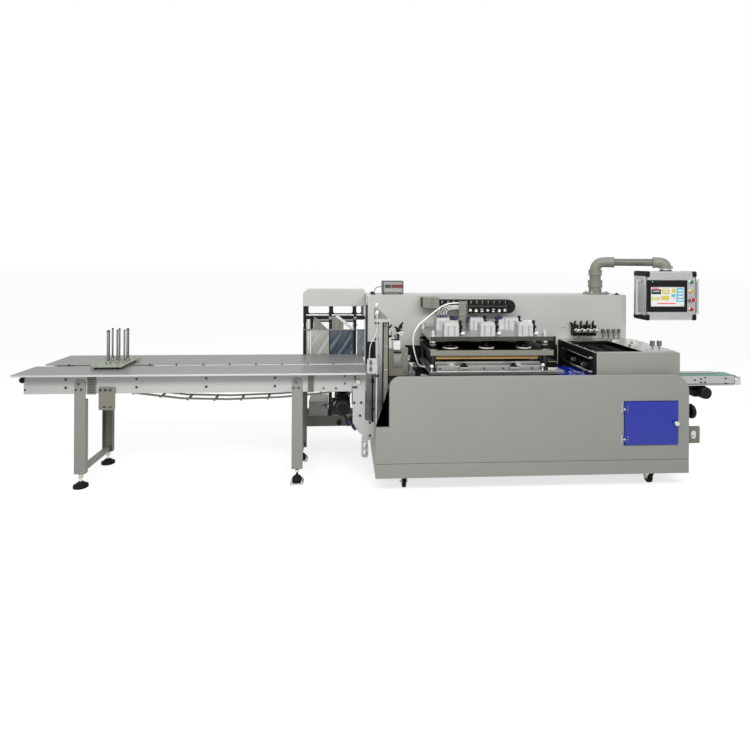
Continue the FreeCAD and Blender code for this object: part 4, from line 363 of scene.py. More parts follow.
# %% Colour, nodes and an empty finish
def linear(hex_value):
    """sRGB hex to linear light: c / 12.92 below 0.04045, else ((c + 0.055) / 1.055) to the power 2.4."""
    c = np.array([int(hex_value[k:k + 2], 16) for k in (1, 3, 5)]) / 255.0
    c = np.where(c <= 0.04045, c / 12.92, ((c + 0.055) / 1.055) ** 2.4)
    return (*c.tolist(), 1.0)


def shade(hex_value, factor):
    """The same colour with its linear light times the factor."""
    r, g, b, a = linear(hex_value)
    return (min(r * factor, 1.0), min(g * factor, 1.0), min(b * factor, 1.0), a)


def add(tree, kind, inputs=None, **settings):
    """Adds a node, sets its settings, and sets or links each named input."""
    node = tree.nodes.new(kind)
    for key, value in settings.items():
        setattr(node, key, value)
    for key, value in (inputs or {}).items():
        if isinstance(value, bpy.types.NodeSocket):
            tree.links.new(value, node.inputs[key])
        else:
            node.inputs[key].default_value = value
    return node


def finish(name, metallic=0.0, roughness=0.5, **inputs):
    """A new finish: its material, node tree, shader and the socket of its object coordinates."""
    material = bpy.data.materials.new(name)
    material.use_nodes = True
    tree = material.node_tree
    shader = tree.nodes["Principled BSDF"]
    shader.inputs["Metallic"].default_value = metallic
    shader.inputs["Roughness"].default_value = roughness
    for key, value in inputs.items():
        shader.inputs[key.replace("_", " ")].default_value = value
    coords = add(tree, "ShaderNodeTexCoord").outputs["Object"]
    return material, tree, shader, coords


print("white in linear light", linear("#ffffff")[:3])

# %% [markdown]
# Most of the line is sheet steel under a satin powder coat. Powder melts into a skin with a very fine
# orange peel, so the highlight is broad and a little grainy. Large panels also vary slowly, by a few
# percent, where hands and rags have been. Two noises do this: one of about a millimetre for the peel,
# one of about a third of a metre for the drift.

# %% One pattern for most finishes
def patterned(name, colour, tones, fine, wide=None, stretch=None, spread=None, drives="Roughness",
              bump=None, **inputs):
    """A finish from noise. The fine noise moves one input within its spread and gives the bump's height,
    as (strength, distance). The wide noise, or else the fine one, moves the colour between two tones."""
    material, tree, shader, coords = finish(name, **inputs)
    place = coords
    if stretch:
        place = add(tree, "ShaderNodeMapping", {"Vector": coords, **stretch}).outputs["Vector"]
    grain = add(tree, "ShaderNodeTexNoise", {"Vector": place, **fine}).outputs["Fac"]
    cloud = grain
    if wide:
        cloud = add(tree, "ShaderNodeTexNoise", {"Vector": coords, **wide}).outputs["Fac"]
    tone = add(tree, "ShaderNodeMix", {
        0: cloud, 6: shade(colour, tones[0]), 7: shade(colour, tones[1]),
    }, data_type="RGBA")
    tree.links.new(tone.outputs[2], shader.inputs["Base Color"])
    if spread:
        limits = add(tree, "ShaderNodeMapRange", {0: grain, "To Min": spread[0], "To Max": spread[1]})
        tree.links.new(limits.outputs[0], shader.inputs[drives])
    if bump:
        relief = add(tree, "ShaderNodeBump", {"Height": grain, "Strength": bump[0], "Distance": bump[1]})
        tree.links.new(relief.outputs["Normal"], shader.inputs["Normal"])
    return material


print("most finishes come from", patterned.__name__)

# %% Powder-coated steel
def powder_coated(name, colour, peel_mm=1.8, roughness=0.44):
    """Satin powder coat. The peel, a noise with features of peel_mm, drives the bump and roughness."""
    return patterned(name, colour, (0.95, 1.05), dict(Scale=1000.0 / peel_mm, Detail=2.0),
                     wide=dict(Scale=3.0, Detail=3.0), spread=(roughness - 0.05, roughness + 0.07),
                     bump=(0.18, 0.0002), roughness=roughness, IOR=1.5)


# The cover and the wall carry one grey powder coat, here in two copies. The darker copy is painted shade for
# the dimmer light low on the cover, and it also goes on the side panels and the transport cover. The lighter
# copy is painted light from above, on the wall, the film hood and the rear louvres.
panel_grey_painted_shade = powder_coated("powder_coated_steel_panel_painted_shade", "#8f908a")
panel_grey_painted_light = powder_coated("powder_coated_steel_panel_painted_light", "#b1b2ad")
table_grey = powder_coated("powder_coated_steel_table", "#787876", peel_mm=2.4, roughness=0.38)
# A lighter copy of the table's grey for its front lip: a painted highlight where the fold catches the light.
table_lip_painted_highlight = powder_coated("powder_coated_steel_painted_highlight", "#c2c2bf", roughness=0.4)
# A grey lighter than the rails' own paint: painted light that keeps the rails bright under the shadow of the
# table's overhang. The film unit's box under the table and its rear plate under the hood take it too, as
# painted light against their shade.
rail_grey_painted_light = powder_coated("powder_coated_steel_rail_painted_light", "#b2b3af")
leg_grey = powder_coated("powder_coated_steel_leg", "#858680")
bracket_beige = powder_coated("powder_coated_steel_bracket", "#77756b", roughness=0.5)
drive_beige = powder_coated("powder_coated_steel_drive", "#77746a", roughness=0.5)
frame_black = powder_coated("powder_coated_steel_black", "#0c0c0d", roughness=0.55)
motor_black = powder_coated("cast_aluminium_painted_black", "#0b0b0c", peel_mm=3.0, roughness=0.48)
print("powder coats", [m.name for m in bpy.data.materials if m.name.startswith("powder")])

# %% [markdown]
# Bare metal on this line comes in three kinds. Stainless sheet and bar is brushed in one direction, ground
# and chromed rods are nearly mirrors, and steel plates are milled or blackened. All are full metals, so
# their colour is what they reflect. A brush leaves lines that are long one way and thin the other, which
# is a noise whose coordinates are squeezed along the brushing.

# %% Brushed, ground and blackened metal
def brushed_metal(name, colour, along=0, line_mm=0.9, roughness=0.32):
    """Brushed metal: a noise stretched forty times along one axis, in lines of line_mm. The real lines
    are 0.1 mm wide, too fine to show here, so they are drawn coarser."""
    squeeze = [1.0, 1.0, 1.0]
    squeeze[along] = 1 / 40
    return patterned(name, colour, (0.9, 1.06), dict(Scale=1000.0 / line_mm, Detail=3.0),
                     wide=dict(Scale=9.0, Detail=2.0), stretch=dict(Scale=squeeze),
                     spread=(roughness - 0.08, roughness + 0.12), bump=(0.25, 0.0001),
                     metallic=1.0, roughness=roughness)


def worked_metal(name, colour, roughness, mark_mm=12.0, spread=0.12):
    """Milled, ground or blackened metal: clouds of mark_mm move its tone, and its roughness by spread."""
    return patterned(name, colour, (0.85, 1.1), dict(Scale=1000.0 / mark_mm, Detail=5.0),
                     spread=(roughness - spread, roughness + spread), metallic=1.0, roughness=roughness)


stainless_bar = brushed_metal("brushed_stainless_bar", "#c9c9c6")
stainless_sheet = brushed_metal("brushed_stainless_sheet", "#b9b9b6", line_mm=1.4, roughness=0.38)
aluminium_profile = brushed_metal(
    "anodised_aluminium_profile", "#c4c4c6", along=2, line_mm=1.2, roughness=0.36
)
aluminium_plate = worked_metal("milled_aluminium_plate", "#b4b5b7", 0.42, mark_mm=20.0)
steel_plate = worked_metal("milled_steel_plate", "#8b8b86", 0.45, mark_mm=25.0)
dark_plate = worked_metal("heat_darkened_steel_plate", "#4a4a45", 0.5, mark_mm=30.0)
black_plate = worked_metal("blackened_steel_plate", "#191918", 0.55, mark_mm=30.0)
chain_steel = worked_metal("oiled_chain_steel", "#6f6c60", 0.5, mark_mm=10.0)
edge_olive = worked_metal("flame_cut_steel_edge", "#85857c", 0.5, mark_mm=14.0)
ground_rod = worked_metal("ground_chromed_rod", "#dcdcdc", 0.14, mark_mm=40.0, spread=0.04)
dark_rod = worked_metal("ground_steel_rod_dark", "#7d7d7b", 0.22, mark_mm=40.0, spread=0.05)
black_oxide = worked_metal("black_oxide_steel", "#3a3a3c", 0.4, mark_mm=8.0)
zinc_bolt = worked_metal("zinc_plated_bolt", "#c6c6c0", 0.3, mark_mm=5.0)
dark_bolt = worked_metal("black_oxide_bolt", "#48484a", 0.36, mark_mm=5.0)
brass_nickel = worked_metal("nickel_plated_brass", "#d2cfc4", 0.2, mark_mm=6.0, spread=0.06)
print(len(bpy.data.materials), "finishes so far")

# %% [markdown]
# Plastics are coloured right through. Moulded covers carry a fine spark-eroded grain, hoses are smooth and
# a little waxy, and rubber is dull. The fibre board under the press plate is a mat of cut threads, and the
# outfeed belt has a woven face, so those two get patterns of their own.

# %% Plastics and rubber
def moulded(name, colour, grain_mm=0.9, roughness=0.45, bump_depth=0.2):
    """Moulded plastic: a noise of grain_mm for the tool's grain, and a slow drift of tone."""
    return patterned(name, colour, (0.92, 1.06), dict(Scale=1000.0 / grain_mm, Detail=2.0),
                     wide=dict(Scale=14.0, Detail=2.0), spread=(roughness - 0.06, roughness + 0.08),
                     bump=(bump_depth, 0.0001), roughness=roughness, IOR=1.49)


nylon_black = moulded("moulded_nylon_black", "#0b0b0c", roughness=0.45)
nylon_white = moulded("moulded_nylon_white", "#e4e3de", roughness=0.4)
hose_white = moulded("extruded_polyurethane_white", "#eceae4", grain_mm=4.0, roughness=0.28, bump_depth=0.05)
hose_clear = moulded("extruded_polyurethane_clear", "#c9ccd0", grain_mm=4.0, roughness=0.2, bump_depth=0.05)
hose_black = moulded("extruded_polyurethane_black", "#18181a", grain_mm=4.0, roughness=0.3, bump_depth=0.05)
fitting_blue = moulded("moulded_acetal_blue", "#1d2350", roughness=0.3)
# Mid grey for the counter's face and the cylinders' seams. On the cylinders' sensor grooves it is painted
# shade: a darker copy of the cylinder grey.
mid_grey_and_groove_shade = moulded("moulded_pbt_mid_grey_and_groove_shade", "#8f908e", roughness=0.45)
fitting_grey = moulded("moulded_pbt_light_grey", "#b9bab8", roughness=0.4)
pvc_grey = moulded("extruded_pvc_grey", "#7c7b71", grain_mm=6.0, roughness=0.4, bump_depth=0.1)
pvc_dark = moulded("extruded_pvc_grey_glossy", "#5f5e57", grain_mm=6.0, roughness=0.22, bump_depth=0.1)
screen_black = moulded("hard_coated_screen_glass", "#0c0d0f", grain_mm=3.0, roughness=0.12, bump_depth=0.02)
rubber_black = moulded("vulcanised_rubber_black", "#131313", grain_mm=1.5, roughness=0.75)
acetal_green = moulded("acetal_sheet_pale_green", "#8c9484", grain_mm=1.2, roughness=0.5)
case_grey = moulded("moulded_abs_dark_grey", "#4a4b4c", roughness=0.5)
ceramic_white = moulded("sintered_ceramic_white", "#ded3cc", grain_mm=1.2, roughness=0.5)
button_green = moulded("moulded_pc_green", "#117f49", roughness=0.25)
button_yellow = moulded("moulded_pc_yellow", "#c9ae1f", roughness=0.25)
button_red = moulded("moulded_pc_red", "#a31a1c", roughness=0.28)

# %% The fibre board and the belt
WAVES_PER_METRE = 25.0


def woven_belt(name, colour):
    """Coated belt: two crossed bands of waves, one thread each 2 mm, leave the weave's small squares."""
    material, tree, shader, coords = finish(name, roughness=0.55, IOR=1.49)
    waves = []
    for direction in ("X", "Y"):
        wave = add(tree, "ShaderNodeTexWave", {
            "Vector": coords, "Scale": WAVES_PER_METRE, "Distortion": 0.4,
        }, bands_direction=direction)
        waves.append(wave.outputs["Fac"])
    weave = add(tree, "ShaderNodeMath", {0: waves[0], 1: waves[1]}, operation="MULTIPLY")
    tone = add(tree, "ShaderNodeMix", {
        0: weave.outputs[0], 6: shade(colour, 0.85), 7: shade(colour, 1.2),
    }, data_type="RGBA")
    tree.links.new(tone.outputs[2], shader.inputs["Base Color"])
    bump = add(tree, "ShaderNodeBump", {"Height": weave.outputs[0], "Strength": 0.3, "Distance": 0.0004})
    tree.links.new(bump.outputs["Normal"], shader.inputs["Normal"])
    return material


# Pressed glass fibre: cut threads, drawn as a noise that is stretched along the board.
board_tan = patterned("glass_fibre_board_tan", "#b0925a", (0.7, 1.25), dict(Scale=900.0, Detail=4.0),
                      stretch=dict(Scale=(0.06, 1.0, 1.0)), bump=(0.4, 0.0003), roughness=0.7, IOR=1.5)
belt_green = woven_belt("coated_polyurethane_belt_green", "#5f8f78")

# %% [markdown]
# The door and the guard beside the press are blue acrylic, which is glossy and shows a dark room behind
# it rather than a view through, so the colour sits mostly in the sheet. The film is polyethylene. It is
# clear enough to see the frame behind, but every crease turns white, so the film is a thin clear coat
# whose alpha follows a stretched noise, the creases that the tension pulls along the web.

# %% Acrylic and film
def film(name, colour, clear):
    """Polyethylene film: creases are a stretched noise, whose light parts are more opaque than clear."""
    return patterned(name, colour, (0.75, 1.3), dict(Scale=1000.0 / 30.0, Detail=4.0, Distortion=0.8),
                     stretch=dict(Scale=(1.0, 1.0, 0.25), Rotation=(0.0, 0.35, 0.0)),
                     spread=(1 - clear, min(1.0, 1.35 - clear)), drives="Alpha", bump=(0.7, 0.004),
                     roughness=0.18, IOR=1.5)


# Cast acrylic: a gloss skin over a deep colour, with faint wipe marks of about 30 mm.
acrylic_blue = patterned("cast_acrylic_blue", "#04229c", (0.8, 1.2), dict(Scale=33.0, Detail=4.0),
                         spread=(0.08, 0.2), roughness=0.12, IOR=1.49)
film_white = film("polyethylene_film_white", "#94968f", clear=0.2)
film_bluish = film("polyethylene_film_clear", "#6d7780", clear=0.3)
film_dark = film("polyethylene_film_printed_blue", "#303947", clear=0.1)
film_smoke = film("polyethylene_film_smoke", "#6b6a62", clear=0.1)
print(len(bpy.data.materials), "finishes")

# %% [markdown]
# Black paint, nylon and rubber look deep and matt on this line, because their skin throws back less light
# than a clear coat does. So the specular level of the blacks drops from the usual 0.5 to 0.2.

# %% Matt blacks
for matt in (frame_black, motor_black, nylon_black, rubber_black, screen_black):
    matt.node_tree.nodes["Principled BSDF"].inputs["Specular IOR Level"].default_value = 0.2

# %% [markdown]
# The line was photographed in a bright hall under soft light from above and from the front, and cut out
# onto white. Here a weak even sky and three wide lamps light it. The floor is a mid grey to the light, so
# it throws little back up and the low panels stay darker, as they do in the hall. To the camera, and to
# anything that mirrors or passes it, sky and floor add white, and the shadow still shows on the floor.

# %% Sky and floor that show white
def seen_strength(tree, seen, unseen):
    """A strength that is seen for camera, glossy and transmitted rays, and unseen for all other light."""
    path = add(tree, "ShaderNodeLightPath")
    mirrored = add(tree, "ShaderNodeMath", {
        0: path.outputs["Is Glossy Ray"], 1: path.outputs["Is Transmission Ray"],
    }, operation="MAXIMUM")
    either = add(tree, "ShaderNodeMath", {
        0: path.outputs["Is Camera Ray"], 1: mirrored.outputs[0],
    }, operation="MAXIMUM")
    limits = {0: either.outputs[0], "To Min": unseen, "To Max": seen}
    return add(tree, "ShaderNodeMapRange", limits).outputs[0]


SKY_LIGHT = 0.42
FLOOR_GLOW = 0.74
FLOOR_HALF = 60.0

world = bpy.data.worlds.new("hall")
SCENE.world = world
world.use_nodes = True
sky = world.node_tree.nodes["Background"]
sky.inputs["Color"].default_value = (1.0, 1.0, 1.0, 1.0)
world.node_tree.links.new(seen_strength(world.node_tree, 1.0, SKY_LIGHT), sky.inputs["Strength"])

floor_paint, floor_tree, floor_shader, floor_coords = finish("floor_paint_white", roughness=0.9)
floor_dust = add(floor_tree, "ShaderNodeTexNoise", {"Vector": floor_coords, "Scale": 30.0, "Detail": 4.0})
floor_tone = add(floor_tree, "ShaderNodeMix", {
    0: floor_dust.outputs[0], 6: linear("#a2a2a2"), 7: linear("#aaaaaa"),
}, data_type="RGBA")
floor_tree.links.new(floor_tone.outputs[2], floor_shader.inputs["Base Color"])
floor_shader.inputs["Emission Color"].default_value = (1.0, 1.0, 1.0, 1.0)
floor_tree.links.new(seen_strength(floor_tree, FLOOR_GLOW, 0.0), floor_shader.inputs["Emission Strength"])

floor_mesh = bpy.data.meshes.new("floor")
corner = np.array([[-1, -1], [1, -1], [1, 1], [-1, 1]]) * FLOOR_HALF
floor_mesh.from_pydata([(x, y, -0.0005) for x, y in corner.tolist()], [], [[0, 1, 2, 3]])
floor_mesh.materials.append(floor_paint)
floor = bpy.data.objects.new("floor", floor_mesh)
SCENE.collection.objects.link(floor)
print("floor", 2 * FLOOR_HALF, "m wide")


# %% Three wide lamps
def lamp(name, place, target, size, power):
    """A wide oblong lamp at a place in metres, facing a target: its -Z axis points along the line."""
    data = bpy.data.lights.new(name, "AREA")
    data.shape = "RECTANGLE"
    data.size, data.size_y = size
    data.energy = power
    thing = bpy.data.objects.new(name, data)
    SCENE.collection.objects.link(thing)
    thing.location = place
    away = Vector(place) - Vector(target)
    thing.rotation_euler = away.to_track_quat("Z", "Y").to_euler()
    return thing


lamp("hall_front", (0.0, -2.7, 2.9), (0.0, 0.0, 0.9), (6.0, 1.0), 145.0)
low_lamp = lamp("hall_low", (-1.7, -3.0, 0.9), (-1.5, 0.0, 0.6), (2.4, 0.8), 3.6)
low_lamp.data.spread = 1.3
lamp("hall_above", (0.6, 0.4, 4.8), (0.2, 0.0, 0.6), (6.0, 2.0), 60.0)


# %% [markdown]
# Most CAD pieces already have the right shape, so they only need the right finish. Sheet parts and plates
# get their edges broken as well: a real fold has a radius and a real plate a filed edge, and the thin
# bright line along it is what tells the eye where one piece ends.

# %% Finishes and broken edges for the CAD pieces
plain = {
    "linear_rails": ground_rod,
    "door_hinges": aluminium_plate,
    "door_leaf": acrylic_blue,
    "press_columns": black_oxide,
    "magazine_pins": dark_rod,
    "film_formers": film_smoke,
    "floor_feet": rubber_black,
    "transport_rollers": rubber_black,
    "hmi_post": pvc_grey,
}
for corner_tag in ("fl", "fr", "rl", "rr"):
    plain["fork_" + corner_tag] = brass_nickel
    plain["wheel_" + corner_tag] = rubber_black

edged = {
    "front_cover": (panel_grey_painted_shade, 1.6),
    "side_panels": (panel_grey_painted_shade, 1.0),
    "base_frame": (frame_black, 1.0),
    "rear_cabinet": (panel_grey_painted_light, 1.6),
    "deck": (black_plate, 0.6),
    "press_base": (stainless_bar, 1.0),
    "press_top": (aluminium_plate, 1.0),
    "press_cylinders": (fitting_grey, 1.2),
    "platen_plate": (black_plate, 1.0),
    "platen_pad": (board_tan, 0.8),
    "chain_wall_bracket": (bracket_beige, 0.8),
    "infeed_rails": (rail_grey_painted_light, 1.2),
    "infeed_shafts": (steel_plate, 0.6),
    "table_front": (table_grey, 0.6),
    "table_back": (table_grey, 0.6),
    "pusher_chain": (chain_steel, 0.5),
    "leg_frames": (leg_grey, 1.2),
    "rail_brackets": (drive_beige, 0.8),
    "magazine_plate": (acetal_green, 0.8),
    "infeed_motor": (motor_black, 1.5),
    "infeed_end_plates": (rail_grey_painted_light, 1.0),
    "film_frame": (frame_black, 1.0),
    "film_hood": (panel_grey_painted_light, 1.6),
    "film_rollers": (ground_rod, 0.8),
    "guide_posts": (aluminium_plate, 0.8),
    "valve_unit": (bracket_beige, 0.8),
    "transport_frame": (frame_black, 1.0),
    "transport_cover": (panel_grey_painted_shade, 1.2),
    "transport_adjusters": (dark_rod, 0.8),
    "guard_sheet": (acrylic_blue, 0.8),
    "outfeed_frame": (aluminium_plate, 1.0),
    "outfeed_belt": (belt_green, 0.5),
    "outfeed_motor": (motor_black, 1.2),
    "outfeed_adjuster": (rail_grey_painted_light, 1.0),
    "counter_box": (case_grey, 2.0),
    "hmi_box": (aluminium_profile, 1.2),
    "hmi_arm": (pvc_grey, 0.8),
    "hmi_panel": (aluminium_plate, 0.8),
}
for node, paint in plain.items():
    thing = frame["nodes"][node]
    thing.data.materials.clear()
    thing.data.materials.append(paint)
dressed = {node: bevelled_copy(node, paint, edge) for node, (paint, edge) in edged.items()}
for line in (feed_hose, *thin_hoses):
    line.data.materials.append(hose_white)
clear_hose.data.materials.append(hose_clear)
for line in (drive_cable, counter_cable):
    line.data.materials.append(hose_black)
print(len(plain), "nodes keep their shape,", len(dressed), "get broken edges")

# %% [markdown]
# The same few bought parts come back all over the machine: socket screws, hexagon bolts on washers,
# push-in air fittings and knurled heads. Each is one turned or pressed shape with its axis along +Z and its
# seat at zero, so that one call sets a whole row of them on a face.

# %% Screws, nuts and fittings
def cap_screw(d):
    """Socket screw of thread d: a head 1.6 d wide and d tall, with a round recess."""
    return turned([(0.8 * d, 0), (0.8 * d, 0.86 * d), (0.7 * d, d), (0.42 * d, d), (0.42 * d, 0.5 * d)], 14)


def hex_bolt(d):
    """Hexagon head of thread d on its washer, with the thread's end above it."""
    washer = turned([(1.12 * d, 0), (1.12 * d, 0.16 * d)], 18)
    head = turned([(0.92 * d, 0.16 * d), (0.92 * d, 0.72 * d), (0.8 * d, 0.86 * d)], 6)
    end = turned([(0.45 * d, 0.8 * d), (0.45 * d, 1.05 * d), (0.36 * d, 1.15 * d)], 10)
    return together(washer, head, end)


def push_fitting(r, length):
    """Push-in air fitting: a hexagon base, a round sleeve and the release ring at its mouth."""
    base = turned([(r, 0), (r, 0.3 * length)], 6)
    steps = np.array([(0.8, 0.3), (0.86, 0.36), (0.86, 0.84), (0.7, 0.86), (0.7, 1), (0.45, 1), (0.4, 0.9)])
    sleeve = turned(steps * (r, length), 16)
    return together(base, sleeve)


def knurled(r, height, teeth=28):
    """Knurled head: a ring of small teeth, 6 percent of the radius deep, with bevelled ends."""
    a = np.arange(2 * teeth) * np.pi / teeth
    radius = r * np.where(np.arange(2 * teeth) % 2, 0.94, 1.0)
    outline = np.stack([radius * np.cos(a), radius * np.sin(a)], axis=-1)
    return pressed(outline, [(0.08 * r, 0), (0, 0.08 * r), (0, height - 0.08 * r), (0.08 * r, height)])


def row(start, step, count):
    """Places in a straight row: the start plus whole numbers of steps."""
    return np.array(start, float) + np.arange(count)[:, None] * np.array(step, float)


def grid(xs, ys, zs):
    """Every place whose x, y and z come from the three lists."""
    return np.array([(x, y, z) for x in xs for y in ys for z in zs], float)


def repaint(thing, material, low, high):
    """Gives a second finish to the faces whose middle lies in a box, from low to high on the drawing."""
    mesh = thing.data
    mesh.materials.append(material)
    middle = np.empty(len(mesh.polygons) * 3)
    mesh.polygons.foreach_get("center", middle)
    middle = middle.reshape(-1, 3)
    inside = ((middle >= to_frame(low)) & (middle <= to_frame(high))).all(axis=1)
    index = np.empty(len(mesh.polygons), dtype=np.int32)
    mesh.polygons.foreach_get("material_index", index)
    index[inside] = len(mesh.materials) - 1
    mesh.polygons.foreach_set("material_index", index)
    return int(inside.sum())


print("a knurled head has", len(knurled(14, 30)[1]), "faces")

# %% [markdown]
# The infeed is a long table on two painted channels. The table plates are screwed down through the channel,
# so pairs of bolts show on its face, and the legs are bolted on with three screws at each rounded end.

# %% Bolts on the rails and legs
RAIL_FRONT, RAIL_REAR = 185.0, 635.0
LEG_CENTRES = (-1995.0, -535.0)
LEG_PATTERN = np.array([(-9, 0, 0), (-25, 0, -38), (10, 0, -38)], float)

bolt_places = grid(row((-2090, 0, 0), (467, 0, 0), 4)[:, 0], [0], (678, 734))
end_places = grid([-2356], [0], (666, 750))
heads = []
for axis, rail_y, leg_y in ((FRONT, RAIL_FRONT, 180.0), (REAR, RAIL_REAR, 640.0)):
    side = np.array([0, rail_y, 0], float)
    heads.append(at_each(aim(hex_bolt(8), axis), bolt_places + side))
    heads.append(at_each(aim(hex_bolt(6), axis), end_places + side))
    for x in LEG_CENTRES:
        heads.append(at_each(aim(cap_screw(8), axis), LEG_PATTERN + [x, leg_y, 704]))
piece("rail_bolts", dark_bolt, (together(*heads),))

dark = []
for axis, rail_y in ((FRONT, RAIL_FRONT), (REAR, RAIL_REAR)):
    places = np.array(
        [(-206, rail_y, 744), (-206, rail_y, 692), (-353, rail_y, 661), (-268, rail_y, 660)], float
    )
    dark.append(at_each(cap_screw(8), places, axis))
piece("rail_screws", dark_bolt, (together(*dark),))
print("rail bolts", made["rail_bolts"], "faces")

# %% [markdown]
# Two dark straps clamp the channels beside the legs. Each has rows of short ribs pressed into it. A slotted
# plate hangs by the left leg on three screws, and a bright disc closes the drive shaft's bearing.

# %% Ribs on the straps, the hanging plate and the bearing cover
rib = aim(block(5.0, 46.0, 1.6, 1.0, 0.4), FRONT, 90)
rib_rows = [row((x, 179, 646), (0, 0, 11), 10) for x in (-1918, -441)]
ribs = [at_each(rib, rib_rows[0]), at_each(block(5.0, 32.0, 1.6, 1.0, 0.4), rib_rows[1], FRONT, 90)]
piece("strap_ribs", dark_plate, (together(*ribs),))

piece("hanging_screws", dark_bolt,
    (hex_bolt(8), row((-1859, 175, 663), (33, 0, 0), 3), FRONT),
    (cap_screw(6), grid((-1935, -1901, -449, -431), [179], (756,)), FRONT))

cover = turned([(17, 0), (17, 3), (14, 5), (9, 5), (8, 3.4)], 28)
covers = [at_each(cover, [(-112, 173, 700)], FRONT), at_each(cover, [(-112, 647, 700)], REAR)]
piece("bearing_covers", zinc_bolt, (together(*covers),))

pads = [
    at_each(block(36, 12, 8, 3), [(-136, 173, 669)], FRONT),
    at_each(cap_screw(8), grid((-136,), (173,), (723, 740)), FRONT),
]
piece("end_pads", dark_bolt, (together(*pads),))
print("strap ribs", made["strap_ribs"], "faces")

# %% [markdown]
# The returning chain hangs in a long shallow curve under the table, and a roller chain shows its link
# plates from the side. Each plate is a small rounded bar that lies along the line of the curve.

# %% Link plates on the returning chain
DRIVE_X, IDLER_X, RUN_Z = -112.0, -2345.0, 757.0
DRIVE_R, IDLER_R = 57.0, 24.0
RETURN_SPAN = DRIVE_X - IDLER_X
RETURN_LOW = 540.0
CHAIN_PITCH = 19.05
STRAND_YS = (375.0, 485.0)
return_line = np.array([
    (DRIVE_X, RUN_Z - 2 * DRIVE_R), (DRIVE_X - 0.1 * RETURN_SPAN, RETURN_LOW + 40),
    (DRIVE_X - 0.25 * RETURN_SPAN, RETURN_LOW + 12), (DRIVE_X - 0.42 * RETURN_SPAN, RETURN_LOW),
    (DRIVE_X - 0.565 * RETURN_SPAN, RETURN_LOW + 10), (DRIVE_X - 0.7 * RETURN_SPAN, RETURN_LOW + 48),
    (DRIVE_X - 0.85 * RETURN_SPAN, RETURN_LOW + 104), (IDLER_X, RUN_Z - 2 * IDLER_R),
])


def along_line(line, pitch):
    """Middle points and unit directions of equal steps of pitch along an (x, z) line."""
    run = np.concatenate([[0], np.cumsum(np.linalg.norm(np.diff(line, axis=0), axis=1))])
    s = np.arange(pitch / 2, run[-1], pitch)
    middle = np.stack([np.interp(s, run, v) for v in line.T], axis=-1)
    ahead = np.stack([np.interp(s + 1, run, v) - np.interp(s - 1, run, v) for v in line.T], axis=-1)
    return middle, ahead / np.linalg.norm(ahead, axis=1)[:, None]


def link_plates(line, pitch, ys, length, height, thick):
    """One plate at each step of the line and each y: its outline (u, v) lands at
    middle + u ahead + v across, where across is ahead turned a quarter turn."""
    points, faces = pressed(rounded_rect(length, height, height / 2, 3), [(0, 0), (0, thick)])
    middle, ahead = along_line(line, pitch)
    across = np.stack([-ahead[:, 1], ahead[:, 0]], axis=-1)
    u, v = points[None, :, 0, None], points[None, :, 1, None]
    flat = middle[:, None] + u * ahead[:, None] + v * across[:, None]
    shapes = []
    for y in ys:
        depth = np.broadcast_to(y - points[None, :, 2], flat.shape[:2])
        full = np.stack([flat[..., 0], depth, flat[..., 1]], axis=-1).reshape(-1, 3)
        n = len(points)
        shapes.append((full, [[i + k * n for i in face] for k in range(len(middle)) for face in faces]))
    return together(*shapes)


plate_ys = [y + side for y in STRAND_YS for side in (-6.2, 7.8)]
links = link_plates(return_line, CHAIN_PITCH, plate_ys, 17.0, 13.0, 1.6)
piece("chain_plates", chain_steel, (links,))
rollers = link_plates(return_line, CHAIN_PITCH / 2, [y - 8.2 for y in STRAND_YS], 5.0, 5.0, 1.2)
piece("chain_pins", steel_plate, (rollers,))
print("link plates", made["chain_plates"], "faces")

# %% [markdown]
# A white wear strip lines the far side of the slot, where the goods would rub, and shows as a thin bright
# band from the magazine to the cabinet. The table's front edge takes a lighter grey: a painted highlight
# where its fold catches the light.

# %% Wear strip in the slot, its screws, and a painted highlight on the table's lip
strip = aim(pressed(rounded_rect(1540, 12, 2, 3), [(0.6, 0), (0, 0.6), (0, 6.0), (0.6, 6.6)]), FRONT)
piece("slot_strip", nylon_white, (strip, [(-830, 449.8, 770)]))
piece("strip_screws", dark_bolt, (cap_screw(3), row((-1570, 443.4, 770), (185, 0, 0), 9), FRONT))
# The table's front edge takes the lighter grey along its whole length: a painted highlight on the fold.
print("slot strip", made["slot_strip"], "faces, bright edge",
      repaint(dressed["table_front"], table_lip_painted_highlight, (-2430, 105, 740), (-40, 114.6, 778.9)))

# %% [markdown]
# The feet are what the eye checks for weight: shiny threaded stems with lock nuts, a rubber-soled disc on
# the left, and on the right a ball foot on a steel plate with four floor anchors.

# %% Stems, nuts and anchor plates
FOOT_YS = (200.0, 620.0)
stem = turned([(8.3, 36.5), (8.3, 92.5)], 20)
lock_nut = turned([(15.5, 74.5), (15.5, 84), (14, 85.5)], 6)
wide_washer = turned([(17, 72), (17, 74.3)], 24)
low_nut = turned([(15.5, 60), (15.5, 71), (14, 72)], 6)
stems = at_each(together(stem, lock_nut, wide_washer, low_nut), [(-1995, y, 0) for y in FOOT_YS])
right_nut = at_each(turned([(15.5, 78), (15.5, 90), (14, 91.5)], 6), [(-535, y, 0) for y in FOOT_YS])
piece("foot_stems", brass_nickel, (together(stems, right_nut),))

